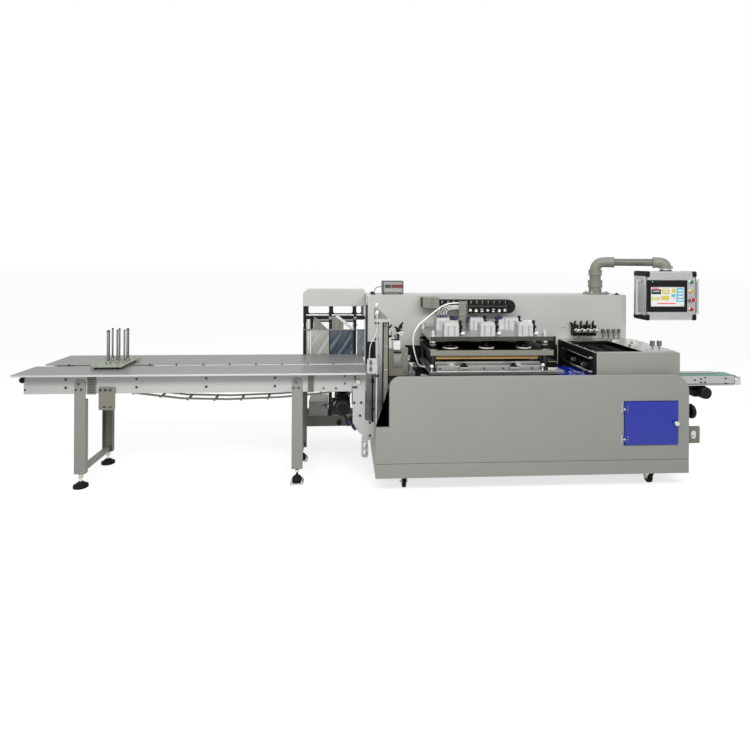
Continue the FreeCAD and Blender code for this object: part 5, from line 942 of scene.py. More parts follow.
plate = pressed(rounded_rect(91, 91, 8, 4), [(0.6, 0.2), (0, 0.8), (0, 10.0), (0.8, 10.8)])
piece("anchor_plates", stainless_bar, (plate, [(-535, y, 0) for y in FOOT_YS]))
anchors = together(turned([(9, 0), (9, 1.4)], 18), turned([(7.6, 1.4), (7.6, 8), (6.8, 8.8)], 6),
                   turned([(3.9, 8.8), (3.9, 17), (3.2, 17.8)], 12))
places = [(-535 + dx, y + dy, 10.8) for y in FOOT_YS for dx in (-34, 34) for dy in (-34, 34)]
piece("floor_anchors", zinc_bolt, (anchors, places))
piece("foot_soles", rubber_black, (turned(
    [(48.2, 0.3), (48.2, 5.0), (46.5, 6.2), (48.2, 7.4), (48.2, 13), (46, 16.4)], 40
), [(-1995, y, 0) for y in FOOT_YS]))
print("anchors", made["floor_anchors"], "faces")

# %% [markdown]
# The magazine is a green plate on black feet with six polished pins. Each pin is held by a clamp collar
# that is split on one side, and topped by a small chamfered cap.

# %% Clamp collars, pin caps and feet
PIN_PLACES = np.array([
    (-1899, 390, 11), (-1921, 513, 6.5), (-1847, 415, 6.5), (-1869, 507, 6.5), (-1796, 413, 6.5),
    (-1804, 493, 10),
], float)
PLATE_TOP, PIN_TOP = 803.0, 1039.0
collars, caps = [], []
for x, y, r in PIN_PLACES:
    ring = turned([(r + 6.6, 0), (r + 6.6, 1), (r + 7, 1.6), (r + 7, 12), (r + 6, 13.6), (r + 1.5, 13.6),
                   (r + 0.4, 14.4)], 26)
    collars.append(at_each(ring, [(x, y, PLATE_TOP)]))
    collars.append(at_each(cap_screw(3), [(x, y - r - 6.6, PLATE_TOP + 7)], FRONT))
    caps.append(at_each(turned([(r + 0.2, -9), (r + 0.2, -1), (r - 1.6, 0.4)], 20), [(x, y, PIN_TOP)]))
piece("pin_collars", steel_plate, (together(*collars),))
piece("pin_caps", black_oxide, (together(*caps),))
foot = turned([(10.5, 0), (10.5, 3), (9.6, 4.2), (9.6, 10.5)], 22)
foot_places = grid((-1950, -1800), (315, 500, 605), (779.2,))
piece("magazine_feet", rubber_black, (foot, foot_places))
piece("magazine_screws", dark_bolt, (cap_screw(5), grid((-1950, -1800), (315, 605), (803,))))
print("collars", made["pin_collars"], "faces")

# %% [markdown]
# Under the right end hangs the gearmotor. Its housing has cooling fins, a fan cover with a ring of slots
# and four long screws, and its plain name field is left bare.

# %% Gearmotor housing
MOTOR_X, MOTOR_Z = -224.0, 488.0
fins = [(55.5, 8)]
for k in range(10):
    base = 22 + 10.5 * k
    fins += [(55.5, base), (59.5, base + 0.8), (59.5, base + 3.2), (55.5, base + 4.0)]
fins += [(55.5, 134), (52, 138)]
fan_cover = turned([(57.5, 0), (57.5, 18), (54, 21), (30, 21.6), (29, 20.2), (10, 20.2), (9, 21.6)], 40)
piece("motor_fins", motor_black,
    (turned(fins, 48), [(MOTOR_X, 440, MOTOR_Z)], FRONT),
    (fan_cover, [(MOTOR_X, 321, MOTOR_Z)], FRONT))
spokes = []
for k in range(16):
    angle = 2 * np.pi * k / 16
    spokes.append(at_each(
        block(4.0, 16, 0.8, 1.5, 0.2),
        [(MOTOR_X + 42 * np.sin(angle), 299.4, MOTOR_Z + 42 * np.cos(angle))],
        FRONT,
        np.degrees(angle),
    ))
piece("fan_slots", dark_plate, (together(*spokes),), slot="dark_steel")
piece("motor_name_field", fitting_grey, (block(46, 30, 0.8, 2, 0.2), [(-262, 321.6, 512)], FRONT))
corners = grid((MOTOR_X - 48, MOTOR_X + 48), (440,), (MOTOR_Z - 48, MOTOR_Z + 48))
piece("motor_screws", zinc_bolt, (cap_screw(7), corners, FRONT))
piece("terminal_screws", zinc_bolt, (cap_screw(4), grid((-300, -270), (338, 418), (530,))))
gland = together(turned([(9, 0), (9, 6)], 6), turned([(8, 6), (8, 13), (5.5, 17), (3.4, 17)], 18))
piece("cable_gland", nylon_black, (gland, [(-309, 377, 498)], LEFT))
print("fins", made["motor_fins"], "faces")

# %% [markdown]
# A short roller chain carries the motor's turn up to the drive shaft. Both wheels have the usual round
# tooth gaps, worked out as a radius that swings between root and tip.

# %% Drive wheels and their chain
def chain_wheel(teeth, pitch, thick, hub):
    """A flat toothed wheel: the radius is the pitch radius plus a fifth of the pitch times cos(teeth a)."""
    a = np.arange(teeth * 8) * 2 * np.pi / (teeth * 8)
    radius = pitch / (2 * np.sin(np.pi / teeth)) + 0.2 * pitch * np.cos(teeth * a)
    outline = np.stack([radius * np.cos(a), radius * np.sin(a)], axis=-1)
    disc = pressed(outline, [(0.6, 0), (0, 0.8), (0, thick - 0.8), (0.6, thick)])
    return together(disc, turned([(hub, -6), (hub, thick + 8), (hub - 1.5, thick + 9.5)], 24))


WHEEL_PITCH = 12.7
small_r = WHEEL_PITCH / (2 * np.sin(np.pi / 17))
large_r = WHEEL_PITCH / (2 * np.sin(np.pi / 21))
lower, upper = np.array([MOTOR_X, MOTOR_Z]), np.array([DRIVE_X, 700.0])
piece("drive_wheels", steel_plate,
    (chain_wheel(17, WHEEL_PITCH, 7, 18), [(lower[0], 566, lower[1])], REAR),
    (chain_wheel(21, WHEEL_PITCH, 7, 24), [(upper[0], 566, upper[1])], REAR))
line_way = (upper - lower) / np.linalg.norm(upper - lower)
out = np.array([line_way[1], -line_way[0]])
half_turn = np.linspace(0, np.pi, 17)[:, None]
near = lower + small_r * (np.cos(half_turn) * -out - np.sin(half_turn) * line_way)
far = upper + large_r * (np.cos(half_turn) * out + np.sin(half_turn) * line_way)
drive_loop = np.concatenate([near, far, near[:1]])
loop_links = link_plates(drive_loop, WHEEL_PITCH, (564.2, 575.4), 11.4, 9.0, 1.4)
piece("drive_links", steel_plate, (loop_links,), slot="dark_steel")
print("drive links", made["drive_links"], "faces")

# %% [markdown]
# The end plates carry the drive to the cabinet's side. Their screws are black, and the slotted white bar
# below them is set with two screws on big washers.

# %% Screws of the end plates
plate_holes = np.array(
    [(-140, 173, 560), (-92, 173, 560), (-30, 173, 420), (-30, 173, 330), (-100, 173, 470)], float
)
piece("end_screws", dark_bolt,
    (hex_bolt(8), plate_holes, FRONT),
    (hex_bolt(8), plate_holes + [0, 474, 0], REAR))
bar_screw = together(turned([(13, 0), (13, 2), (12, 2.6)], 26), at_each(cap_screw(8), [(0, 0, 2.6)]))
piece("bar_screws", zinc_bolt, (bar_screw, grid((-65,), (161,), (214, 264)), FRONT))
print("end screws", made["end_screws"], "faces")
print("beige back legs", repaint(dressed["leg_frames"], drive_beige, (-2050, 560, 60), (-1940, 700, 700)),
      repaint(dressed["leg_frames"], drive_beige, (-590, 560, 60), (-480, 700, 700)))

# %% [markdown]
# Behind the table stands the film unwinder: black posts under a grey hood. Its rear plate and its box are
# grey, and its base beams are beige. The film hangs off the front bar in three panels, and thin film always
# creases, so each panel is a fine grid whose depth is a sum of long waves that fade out at the bar.

# %% Creased film panels
FILM_FRONT_Y = 852.0
FILM_TOP_Z, FILM_LOW_Z = 974.0, 750.0
PANEL_ENDS = ((-483.2, -334.8), (-328.2, -137.9), (-105.8, -45.1))


def film_panel(x0, x1, seed):
    """A hanging sheet: at height share t below the bar the depth is
    t (3 sin((x + 170t)/15 + s) + 1.8 sin((x + 140t)/8 + 2s) + 1.5 sin(x/37 + 5t)), so slanting folds run
    down from the bar and its edge stays straight."""
    columns, rows = int((x1 - x0) / 3.0), 72
    x, t = np.meshgrid(np.linspace(x0, x1, columns), np.linspace(0, 1, rows))
    wave = 3.0 * np.sin((x + 170 * t) / 15 + seed) + 1.8 * np.sin((x + 140 * t) / 8 + 2 * seed)
    wave += 1.5 * np.sin(x / 37 + 5 * t)
    y = FILM_FRONT_Y + 0.4 - 0.55 * t * (wave + 6.5)
    z = FILM_TOP_Z - t * (FILM_TOP_Z - FILM_LOW_Z) + 3.0 * t * np.sin(x / 26 + seed)
    i, j = np.meshgrid(np.arange(rows - 1), np.arange(columns - 1), indexing="ij")
    a = i * columns + j
    faces = np.stack([a, a + columns, a + columns + 1, a + 1], axis=-1).reshape(-1, 4)
    return np.stack([x, y, z], axis=-1).reshape(-1, 3), faces.tolist()


film_materials = (film_white, film_dark, film_bluish)
for k, (x0, x1) in enumerate(PANEL_ENDS):
    panel = piece(
        f"film_panel_{k}",
        film_materials[k],
        (film_panel(x0, x1, 1.7 * k),),
        slot="film",
        stands_for=["film_web"],
        smooth=80.0,
    )
    body = panel.modifiers.new("thickness", "SOLIDIFY")
    body.thickness = 0.0002
top_sheet = pressed(rounded_rect(397, 150, 1, 2), [(0, 0), (0, 0.3)])
top_film = piece("film_top_run", film_bluish, (top_sheet, [(-321.5, 981, 1032.2)]), stands_for=["film_web"])
print("film panels", [made[f"film_panel_{k}"] for k in range(3)], "faces")

# %% [markdown]
# The hood is one folded shell, held by screws along its lower edge. The first post carries a grey strip
# that is punched with two rows of holes. A black roller, a silver turning rod and clamps finish the front.

# %% Frame colours, punched strip, roller and clamps
print("beige base", repaint(dressed["film_frame"], bracket_beige, (-560, 850, 170), (-30, 1110, 267)))
# The box and the rear plate take the lighter rail grey: painted light against the shade under the table and
# inside the hood.
print("grey box and plate", repaint(dressed["film_frame"], rail_grey_painted_light, (-520, 850, 268), (-320, 1110, 392)),
      repaint(dressed["film_frame"], rail_grey_painted_light, (-560, 1094, 1020), (-30, 1110, 1172)))
strip = aim(block(30, 396, 1.4, 1, 0.3), FRONT)
piece("punched_strip", stainless_sheet, (strip, [(-504, 868.2, 863)]))
hole = aim(turned([(3.4, 0), (3.4, 0.25)], 12), FRONT)
hole_places = grid((-511, -497), (866.8,), row((0, 0, 676), (0, 0, 12), 32)[:, 2])
piece("strip_holes", frame_black, (hole, hole_places))
roll = together(
    turned([(13, 0), (13, 96), (12, 97)], 28),
    turned([(4, -8), (4, 0)], 12),
    turned([(4, 97), (4, 106)], 12),
)
piece("upright_roller", rubber_black, (roll, [(-477, 858, 984)]))
rod_span = np.array([-143 + 6, 852, 980.0]) - np.array([-271 - 6, 852, 1092.0])
flat_rod = aim(block(24, 4, float(np.linalg.norm(rod_span)), 1.5, 0.4), rod_span)
piece("turning_rod", aluminium_plate, (flat_rod, [(-277, 849.5, 1092)]), slot="chrome")
clamp = together(block(26, 22, 18, 3), at_each(cap_screw(5), [(-7, 0, 18), (7, 0, 18)]))
piece("film_clamps", steel_plate, (clamp, grid((-325, -123), (862,), (1074,)), FRONT))
piece("film_cross_rod", ground_rod, (turned([(5, 0), (5, 470)], 16), [(-538, 870, 1096)], RIGHT))
piece("film_hood_screws", zinc_bolt,
    (cap_screw(5), row((-520, 850, 1186), (91, 0, 0), 6), FRONT),
    (cap_screw(5), row((-520, 1112, 1186), (91, 0, 0), 6), REAR),
    (cap_screw(5), grid((-550,), (890, 1070), (1186,)), LEFT))
piece("beam_screws", zinc_bolt, (hex_bolt(8), grid((-520, -170, -80), (862,), (214, 240)), FRONT))
base_knob = turned([(9, 0), (9, 12), (18, 16), (20, 20), (20, 30), (17, 34)], 30)
piece("beam_knob", nylon_black, (base_knob, [(-250, 862, 215)], FRONT))
piece("box_lid", rail_grey_painted_light,
    (block(138, 104, 3, 4), [(-421.5, 866.2, 326)], FRONT),
    (cap_screw(4), grid((-484, -359), (863.2,), (281, 371)), FRONT))
piece("cable_entry", nylon_black, (gland, [(-361, 866, 356)], FRONT))
print("strip holes", made["strip_holes"], "faces")

# %% [markdown]
# On each roller's shaft sits a split collar, and the supply roll carries film between two flanges.

# %% Roller collars and the supply roll
SUPPLY_X, SUPPLY_Z = -324.8, 560
ROLLER_PLACES = (
    (-536.5, 1010), (SUPPLY_X, 940), (-122.8, 1010), (SUPPLY_X, SUPPLY_Z), (-536.5, 700), (-122.8, 700)
)
collar = turned([(14, 0), (14, 9), (13, 10)], 22)
ends = [at_each(collar, [(x, 900, z)], FRONT) for x, z in ROLLER_PLACES]
ends += [at_each(collar, [(x, 1062, z)], REAR) for x, z in ROLLER_PLACES]
piece("roller_collars", steel_plate, (together(*ends),))
flange = turned([(52, 0), (52, 3), (50, 4)], 44)
flanges = [at_each(flange, [(SUPPLY_X, y, SUPPLY_Z)], REAR) for y in (906, 1052)]
piece("supply_flanges", nylon_black, (together(*flanges),))
wound = turned([(30.2, 0), (46, 0.5), (46, 141.5), (30.2, 142)], 56)
piece("supply_roll", film_white, (wound, [(SUPPLY_X, 910.3, SUPPLY_Z)], REAR))
print("collars", made["roller_collars"], "faces")

# %% [markdown]
# At the cabinet's left end two polished rods and a flat post carry the film guide. A gusset stiffens the
# head, and a white cap sits on it. The valve stand behind it holds two white regulator blocks, black knobs
# and push-in fittings, and a window with a ribbed metal insert.

# %% Fittings on the guide head
GUIDE_HEAD_TOP = 1151.0
gusset_outline = [(-10, 0), (92, 0), (26, 62), (-10, 74)]
gusset = aim(pressed(gusset_outline, [(0.6, 0), (0, 0.6), (0, 3.4), (0.6, 4.0)]), FRONT)
piece("guide_gusset", bracket_beige, (gusset, [(0, 112, GUIDE_HEAD_TOP)]))
cap = turned([(9.4, 0), (11, 1.5), (11, 16), (9, 19), (5, 20.5)], 22)
print("post", repaint(dressed["guide_posts"], bracket_beige, (58, 111, 440), (88, 141, 1132)))
side_rail = block(8, 13, 690, 1, 0.4)
piece("post_rails", frame_black, (side_rail, [(54.6, 132, 442), (91.8, 132, 442)]))
piece("rod_caps", nylon_white, (cap, [(14, 200, 1229), (10, 80, 1189)]))
knob_round = turned([(5, 0), (5, 5), (11, 8), (13, 14), (11, 20), (5, 23)], 24)
piece("head_knobs", nylon_white, (knob_round, [(8, 108, 1186)], FRONT))
piece("head_screws", zinc_bolt,
    (cap_screw(6), grid((28, 50, 86), (70, 126), (GUIDE_HEAD_TOP,))),
    (cap_screw(6), grid((66, 80), (112,), (800, 960, 1110)), FRONT))
ring = turned([(9.6, 0), (14.5, 0), (15.5, 1), (15.5, 13), (14.5, 14), (9.6, 14)], 24)
piece("rod_rings", black_oxide,
    (ring, [(10, 80, 1118), (10, 80, 760), (14, 200, 990), (14, 200, 870)]),
    (cap_screw(4), [(10, 65.5, 1125), (10, 65.5, 767), (14, 185.5, 997), (14, 185.5, 877)], FRONT))
slot_frame = aim(pressed(rounded_rect(22, 40, 11, 6), [(0.4, 0), (0, 0.4), (0, 0.9), (0.4, 1.2)]), FRONT)
piece("arm_slots", zinc_bolt, (slot_frame, [(-32, 61.2, 815), (-32, 61.2, 859)]))
slot_dark = aim(pressed(rounded_rect(12, 26, 6, 6), [(0, 0), (0, 0.5)]), FRONT)
piece("arm_slot_shadows", dark_bolt,
    (slot_dark, [(-32, 59.8, 815), (-32, 59.8, 859)]),
    (cap_screw(6), [(-32, 59.6, 822), (-32, 59.6, 852)], FRONT))
print("head fittings", made["head_screws"], "faces")

# %% Fittings on the valve stand
VALVE_FRONT, VALVE_TOP = 300.0, 913.0
piece("stand_screws", zinc_bolt,
    (cap_screw(7), grid((110, 231), (VALVE_FRONT,), (874, 740)), FRONT),
    (cap_screw(4), grid((147, 199), (VALVE_FRONT - 2,), (872, 782)), FRONT))
window_plate = aim(block(66, 112, 3, 3, 0.6), FRONT)
piece("stand_window", steel_plate, (window_plate, [(173, VALVE_FRONT, 832)]))
window_ribs = aim(block(3.4, 84, 2, 1.4, 0.4), FRONT)
piece("stand_ribs", stainless_bar, (window_ribs, row((152, VALVE_FRONT - 3, 824), (7, 0, 0), 7)))
slit = aim(block(56, 12, 2.2, 2, 0.4), FRONT)
piece("stand_slit", nylon_black, (slit, [(173, VALVE_FRONT - 3, 885)]))
regulator = together(block(50, 38, 66, 5), at_each(block(40, 30, 10, 4), [(0, 0, 66)]))
piece("regulator_blocks", nylon_white,
    (regulator, [(135, 331, VALVE_TOP)]),
    (block(52, 44, 62, 5), [(166, 306, VALVE_TOP - 6)]))
piece("regulator_band", fitting_blue, (block(46, 4, 9, 1), [(150, 309, VALVE_TOP + 61)]))
sleeve = turned([(11, 0), (11, 26), (13, 28), (13, 40), (10, 44)], 20)
piece("valve_knobs", nylon_black,
    (knurled(14, 24, 20), [(178, 330, 1030), (198, 338, 1052)]),
    (sleeve, [(178, 330, 972), (122, 331, 989), (198, 338, 1000)]),
    (push_fitting(8, 30), [(196, 318, 1078), (116, 326, 1062)], (0.5, -0.5, 0.7)),
    (push_fitting(8, 28), [(176, 322, 1056), (112, 326, 1046)], (-0.8, -0.3, 0.4)))
gauge = turned([(15, 0), (16.5, 1), (16.5, 14), (15, 16)], 28)
piece("pressure_gauges", nylon_white, (gauge, [(111, 320, 1024), (199, 322, 1020)], FRONT))
gauge_face = aim(turned([(12.5, 0), (12.5, 0.6)], 24), FRONT)
piece("gauge_faces", aluminium_plate, (gauge_face, [(111, 304, 1024), (199, 306, 1020)]))
print("valve stand", made["valve_knobs"], "faces")

# %% [markdown]
# In the gap beside the cabinet runs a black guide with a clamp knob, and under it a black sensor block with
# blue caps.
# The counter on the wall shows a green and two red figures behind its window. Only the lit bars are drawn.

# %% Gap guide and the sensor block
guide_bar = block(12, 14, 330, 2)
piece("gap_guide", nylon_black,
    (guide_bar, [(-12, 205, 415)]),
    (knob_round, [(-12, 198, 508)], FRONT),
    (block(26, 30, 22, 3), [(-12, 208, 690)]))
piece("sensor_block", nylon_black,
    (block(62, 40, 26, 4), [(-168, 200, 428)], FRONT, 38),
    (block(40, 22, 20, 4), [(-140, 198, 384)], FRONT, 130),
    (push_fitting(9, 34), [(-190, 190, 440)], (-0.6, 0, 0.8)))
piece("sensor_cap", fitting_blue,
    (block(24, 24, 5, 4), [(-136, 178, 380)], FRONT, 130),
    (block(14, 34, 4, 3), [(-176, 174, 424)], FRONT, 38))
print("sensor", made["sensor_block"], "faces")


# %% Lit figures of the counter
def lit(name, colour, strength):
    """A lit display colour: a dark gloss base that glows by the strength given."""
    material, tree, shader, coords = finish(name, roughness=0.25)
    cells = add(tree, "ShaderNodeTexNoise", {"Vector": coords, "Scale": 260.0, "Detail": 1.0})
    glow = add(tree, "ShaderNodeMix", {
        0: cells.outputs["Fac"], 6: shade(colour, 0.9), 7: shade(colour, 1.1),
    }, data_type="RGBA")
    shader.inputs["Base Color"].default_value = shade(colour, 0.25)
    tree.links.new(glow.outputs[2], shader.inputs["Emission Color"])
    shader.inputs["Emission Strength"].default_value = strength
    return material


led_red = lit("led_display_red", "#e8564a", 1.0)
led_green = lit("led_display_green", "#4f8a50", 0.7)
lcd_blue = lit("lcd_display_blue", "#5fb8cf", 0.75)
lcd_yellow = lit("lcd_display_yellow", "#d9c95a", 0.7)
lcd_white = lit("lcd_display_white", "#dfe3e2", 0.8)
lcd_dark = lit("lcd_display_dark", "#23303a", 0.6)

COUNTER_FRONT, WINDOW_Y, FIGURE_Y, FIGURE_Z = 745.0, 742.0, 740.8, 1341.0
face_plate = aim(pressed(rounded_rect(150, 84, 4, 4), [(1.5, 0), (0, 1.2), (0, 2.2), (1.2, 3.0)]), FRONT)
piece("counter_face", mid_grey_and_groove_shade, (face_plate, [(181, COUNTER_FRONT, 1333)]))
window = aim(block(44, 26, 1.2, 2, 0.3), FRONT)
piece("counter_windows", nylon_black, (window, grid((138, 189, 236), (WINDOW_Y,), (FIGURE_Z,))))
bars = [(0, z, 10, 2) for z in (9, 0, -9)] + [(x, z, 2, 7) for z in (4.5, -4.5) for x in (-5, 5)]
digit = together(
    *[aim(pressed(rounded_rect(w, h, 0.9, 2) + [x, z], [(0, 0), (0, 0.4)]), FRONT) for x, z, w, h in bars]
)
piece("counter_red", led_red, (digit, grid((180, 197, 228, 245), (FIGURE_Y,), (FIGURE_Z,))))
piece("counter_green", led_green, (digit, grid((129, 146), (FIGURE_Y,), (FIGURE_Z,))))
key = aim(block(11, 9, 1.5, 2, 0.4), FRONT)
piece("counter_keys", fitting_grey, (key, row((128, WINDOW_Y, 1310), (21, 0, 0), 6)))
print("counter digits", made["counter_red"], "faces")

# %% [markdown]
# The press is where the eye goes first. Six compact air cylinders stand on its top plate. Their bodies are
# extruded, with two sensor grooves on each side, a screw in each corner and fittings at the ports. The
# plate's sawn edges are darker than its milled face, so those faces get a second finish.

# %% Grooves, screws and second finishes of the cylinders
TOP_FACE = 1018.0
CYLINDER_XS, CYLINDER_YS = (546.64, 808.0, 1081.68), (245.0, 560.0)
HALF_W = 54.0
print("dark edges", repaint(dressed["press_top"], dark_plate, (380, 150, 985), (1280, 161, 1020)),
      repaint(dressed["press_top"], dark_plate, (380, 679, 985), (1280, 690, 1020)),
      repaint(dressed["press_top"], bracket_beige, (670, 560, 1019), (760, 660, 1240)))
groove = aim(block(9, 70, 0.9, 3, 0.3), FRONT)
groove_lip = aim(pressed(rounded_rect(14, 72, 3, 3), [(0.4, 0), (0, 0.3), (0, 0.5), (0.4, 0.8)]), FRONT)
groove_places = [
    (x + dx, y - HALF_W, TOP_FACE + 38) for x in CYLINDER_XS for y in CYLINDER_YS for dx in (-26, 20)
]
side_groove = aim(block(70, 9, 0.9, 3, 0.3), LEFT)
side_places = [
    (x - HALF_W, y + dy, TOP_FACE + 38) for x in CYLINDER_XS for y in CYLINDER_YS for dy in (-22, 22)
]
# The grooves are flat strips standing on the cylinder, in a darker grey than its body: painted shade where
# the groove's hollow would be.
piece("cylinder_grooves", mid_grey_and_groove_shade,
    (groove, np.array(groove_places) - [0, 0.6, 0]),
    (side_groove, np.array(side_places) - [0.4, 0, 0]),
    body="press")
piece("cylinder_lips", fitting_grey, (groove_lip, groove_places), body="press")
cap_corners = [(x + dx, y + dy - 2, TOP_FACE + 90) for x in CYLINDER_XS for y in CYLINDER_YS
               for dx in (-38, 38) for dy in (-38, 38)]
piece("cylinder_screws", zinc_bolt, (cap_screw(7), cap_corners), body="press")
cap_seam = pressed(rounded_rect(108.6, 104.6, 10, 4), [(0, 0), (0, 1.2)])
seam_places = grid(CYLINDER_XS, np.add(CYLINDER_YS, -2), (TOP_FACE + 12, TOP_FACE + 64))
piece("cylinder_seams", mid_grey_and_groove_shade, (cap_seam, seam_places), body="press")
port_ring = turned([(13, 0), (13, 1.2), (10, 2.2)], 20)
port_places = grid(np.add(CYLINDER_XS, HALF_W), CYLINDER_YS, (TOP_FACE + 22, TOP_FACE + 70))
piece("port_rings", brass_nickel, (port_ring, port_places, RIGHT), body="press", slot="steel")
print("grooves", made["cylinder_grooves"], "faces")

# %% [markdown]
# Push-in fittings crowd between the cylinders: black speed controllers with knurled screws on the front
# ones, white silencers under them, and dark blue sleeves where the thin hoses land.

# %% Air fittings of the press
elbow_path = [(0, 0, 0), (9, 0, 0), (16, 0, 3), (19, 0, 10), (19, 0, 20)]
controller = together(
    aim(push_fitting(12, 17), RIGHT),
    tube(elbow_path, 10, 14, up=(0, 1, 0)),
    at_each(knurled(11.5, 18, 16), [(19, 0, 16)]),
    at_each(push_fitting(10, 24), [(18, -2, 0)], (0.6, -0.4, -0.6)),
)
piece("speed_controllers", nylon_black, (controller, port_places), body="press")
silencer = turned([(7, 0), (7, 4), (9, 6), (9, 22), (6, 27), (2, 28)], 18)
piece("silencers", nylon_white,
    (silencer, [(x + HALF_W + 20, 222, TOP_FACE + 12) for x in CYLINDER_XS], (0.7, -0.5, 0.3)),
    (silencer, [(x + HALF_W + 24, 262, TOP_FACE) for x in CYLINDER_XS]),
    body="press")
hose_ends = [(516.64 + 20 * k, 572, 1108) for k in range(4)]
blue_sleeve = turned(
    [(7.6, 0), (7.6, 6), (6.6, 7), (6.6, 17), (5.4, 18), (5.4, 20), (3.2, 20), (3.2, 18)], 18
)
big_sleeve = turned([(13, 0), (13, 10), (11.5, 12), (11.5, 28), (9.5, 30), (9.5, 36), (5, 36), (5, 32)], 20)
piece("blue_fittings", fitting_blue,
    (blue_sleeve, hose_ends),
    (big_sleeve, [(620, 545, 1092), (642, 534, 1086), (742, 545, 1084)], (0.3, -0.3, 0.9)),
    (big_sleeve, [(1000, 536, 1098), (1022, 544, 1092), (984, 552, 1086)], (-0.6, -0.4, 0.6)),
    body="press")
piece("manifolds", fitting_grey,
    (block(60, 30, 72, 4), [(632, 534, TOP_FACE)]),
    (block(56, 34, 86, 4), [(1012, 540, TOP_FACE)]),
    (block(60, 24, 12, 3), [(546, 572, 1096)]),
    body="press")
side_block = together(block(84, 70, 62, 9), at_each(block(60, 46, 14, 8), [(0, 0, 62)]))
piece("side_unit", nylon_white, (side_block, [(1190, 470, TOP_FACE)]), body="press")
print("fittings", made["speed_controllers"] + made["blue_fittings"], "faces")

# %% [markdown]
# The corner columns end in bright nuts. Under the top plate each piston pushes on a disc with a pale
# ceramic rim, which keeps the heat of the plate away from the cylinder.

# %% Column nuts, disc rims and plate details
COLUMN_XS, COLUMN_YS = (412.0, 1215.0), (190.0, 650.0)
domed_nut = together(turned([(19, 0), (23, 0.5), (23, 3.6), (21, 4.4)], 28),
                     turned([(18.6, 4), (18.6, 24), (15, 28)], 6),
                     turned([(12, 27), (12, 38), (9, 42)], 20))
piece("column_nuts", zinc_bolt, (domed_nut, grid(COLUMN_XS, COLUMN_YS, (TOP_FACE,))), body="press")
under_nut = together(turned([(17.4, 0), (23, 0), (24, 1), (24, 13), (23, 14)], 6),
                     turned([(17.3, -14), (26, -14), (26, -11), (17.3, -9)], 28))
piece("under_nuts", zinc_bolt, (under_nut, grid(COLUMN_XS, COLUMN_YS, (972,))), body="press")
foot_collar = turned([(25.6, 0), (25.6, 10), (22, 16), (17.4, 20)], 30)
piece("foot_collars", black_oxide, (foot_collar, grid(COLUMN_XS, COLUMN_YS, (776,))), body="press")
rim = turned([(43, 0), (53.5, 0), (55, 1.2), (55, 5.8), (53.5, 7), (43, 7), (42, 4)], 44)
disc_places = grid(CYLINDER_XS, CYLINDER_YS, (926,))
piece("disc_rims", ceramic_white, (rim, disc_places), body="platen")
disc_hub = turned([(13, 0), (30, 0), (30, 5), (22, 9), (22, 16), (13.2, 18)], 30)
piece("disc_hubs", black_oxide, (disc_hub, disc_places + [0, 0, 6]), body="platen")
bush_places = grid(COLUMN_XS, COLUMN_YS, (921.8,))
bush_flange = turned([(26.2, 0), (32, 0), (32, 5), (29, 8), (26.2, 8)], 30)
piece("bush_flanges", steel_plate, (bush_flange, bush_places), body="platen")
print("dark edge of the platen", repaint(
    dressed["platen_plate"], edge_olive, (380, 150, 880), (1280, 161, 925)
))

# %% [markdown]
# Below, the fixed base shows a bright machined bar, a front bar with holes and two black clamps on it. A
# white ball knob sits at each end of the bar.

# %% Base bar, clamps and knobs
print("front bar", repaint(dressed["press_base"], stainless_sheet, (430, 150, 770), (1200, 162, 817)))
bar_holes = [(x, 152, 796) for x in (456, 620, 770, 905, 1110, 1172)]
bar_ring = aim(turned([(7, 0), (7, 1.2), (4.6, 1.2), (4.6, 0.2)], 16), FRONT)
piece("bar_rings", dark_bolt, (bar_ring, bar_holes), body="press")
clamp_block = together(block(52, 26, 26, 4), at_each(block(30, 18, 18, 6), [(0, -2, 24)]))
piece("bar_clamps", nylon_black, (clamp_block, [(626, 154, 792), (979, 154, 792)]), body="press")
clamp_plate = aim(block(60, 14, 4, 3), FRONT)
piece("clamp_plates", zinc_bolt, (clamp_plate, [(626, 141, 800), (979, 141, 800)]), body="press")
angles = np.linspace(-np.pi / 2, np.pi / 2, 13)
ball = turned(np.column_stack([np.maximum(13 * np.cos(angles), 0.3), 13 * np.sin(angles)]), 22)
piece("ball_knobs", nylon_white,
    (ball, [(398, 146, 812), (1186, 142, 818)]),
    (turned([(5, 775), (5, 806)], 12), [(398, 152, 0)]),
    (turned([(5, 775), (5, 810)], 12), [(1186, 146, 0)]),
    body="press")
base_strip = pressed(rounded_rect(760, 10, 1, 2), [(0.6, 0), (0, 0.6), (0, 3.4), (0.6, 4)])
piece("base_strips", stainless_bar, (
    base_strip, [(816, 222, 828), (816, 238, 828), (816, 600, 828)]
), body="press")
piece("base_covers", black_plate,
    (block(116, 404, 2.2, 3), [(1256, 420, 828)]),
    (block(116, 40, 2, 2), [(1256, 216, 807)], FRONT),
    (block(400, 40, 2, 2), [(422, 420, 806)], LEFT, 90),
    body="press")
piece("base_screws", zinc_bolt, (
    cap_screw(7), grid(row((440, 0, 0), (188, 0, 0), 5)[:, 0], (158, 678), (775,))
), body="press")
print("base", made["bar_rings"] + made["ball_knobs"], "faces")

# %% [markdown]
# The drag chain is a row of box links. Each link has a raised side plate with a pin, and the openings show
# the white cables that it carries. Its wall bracket and its upright bracket have punched holes.

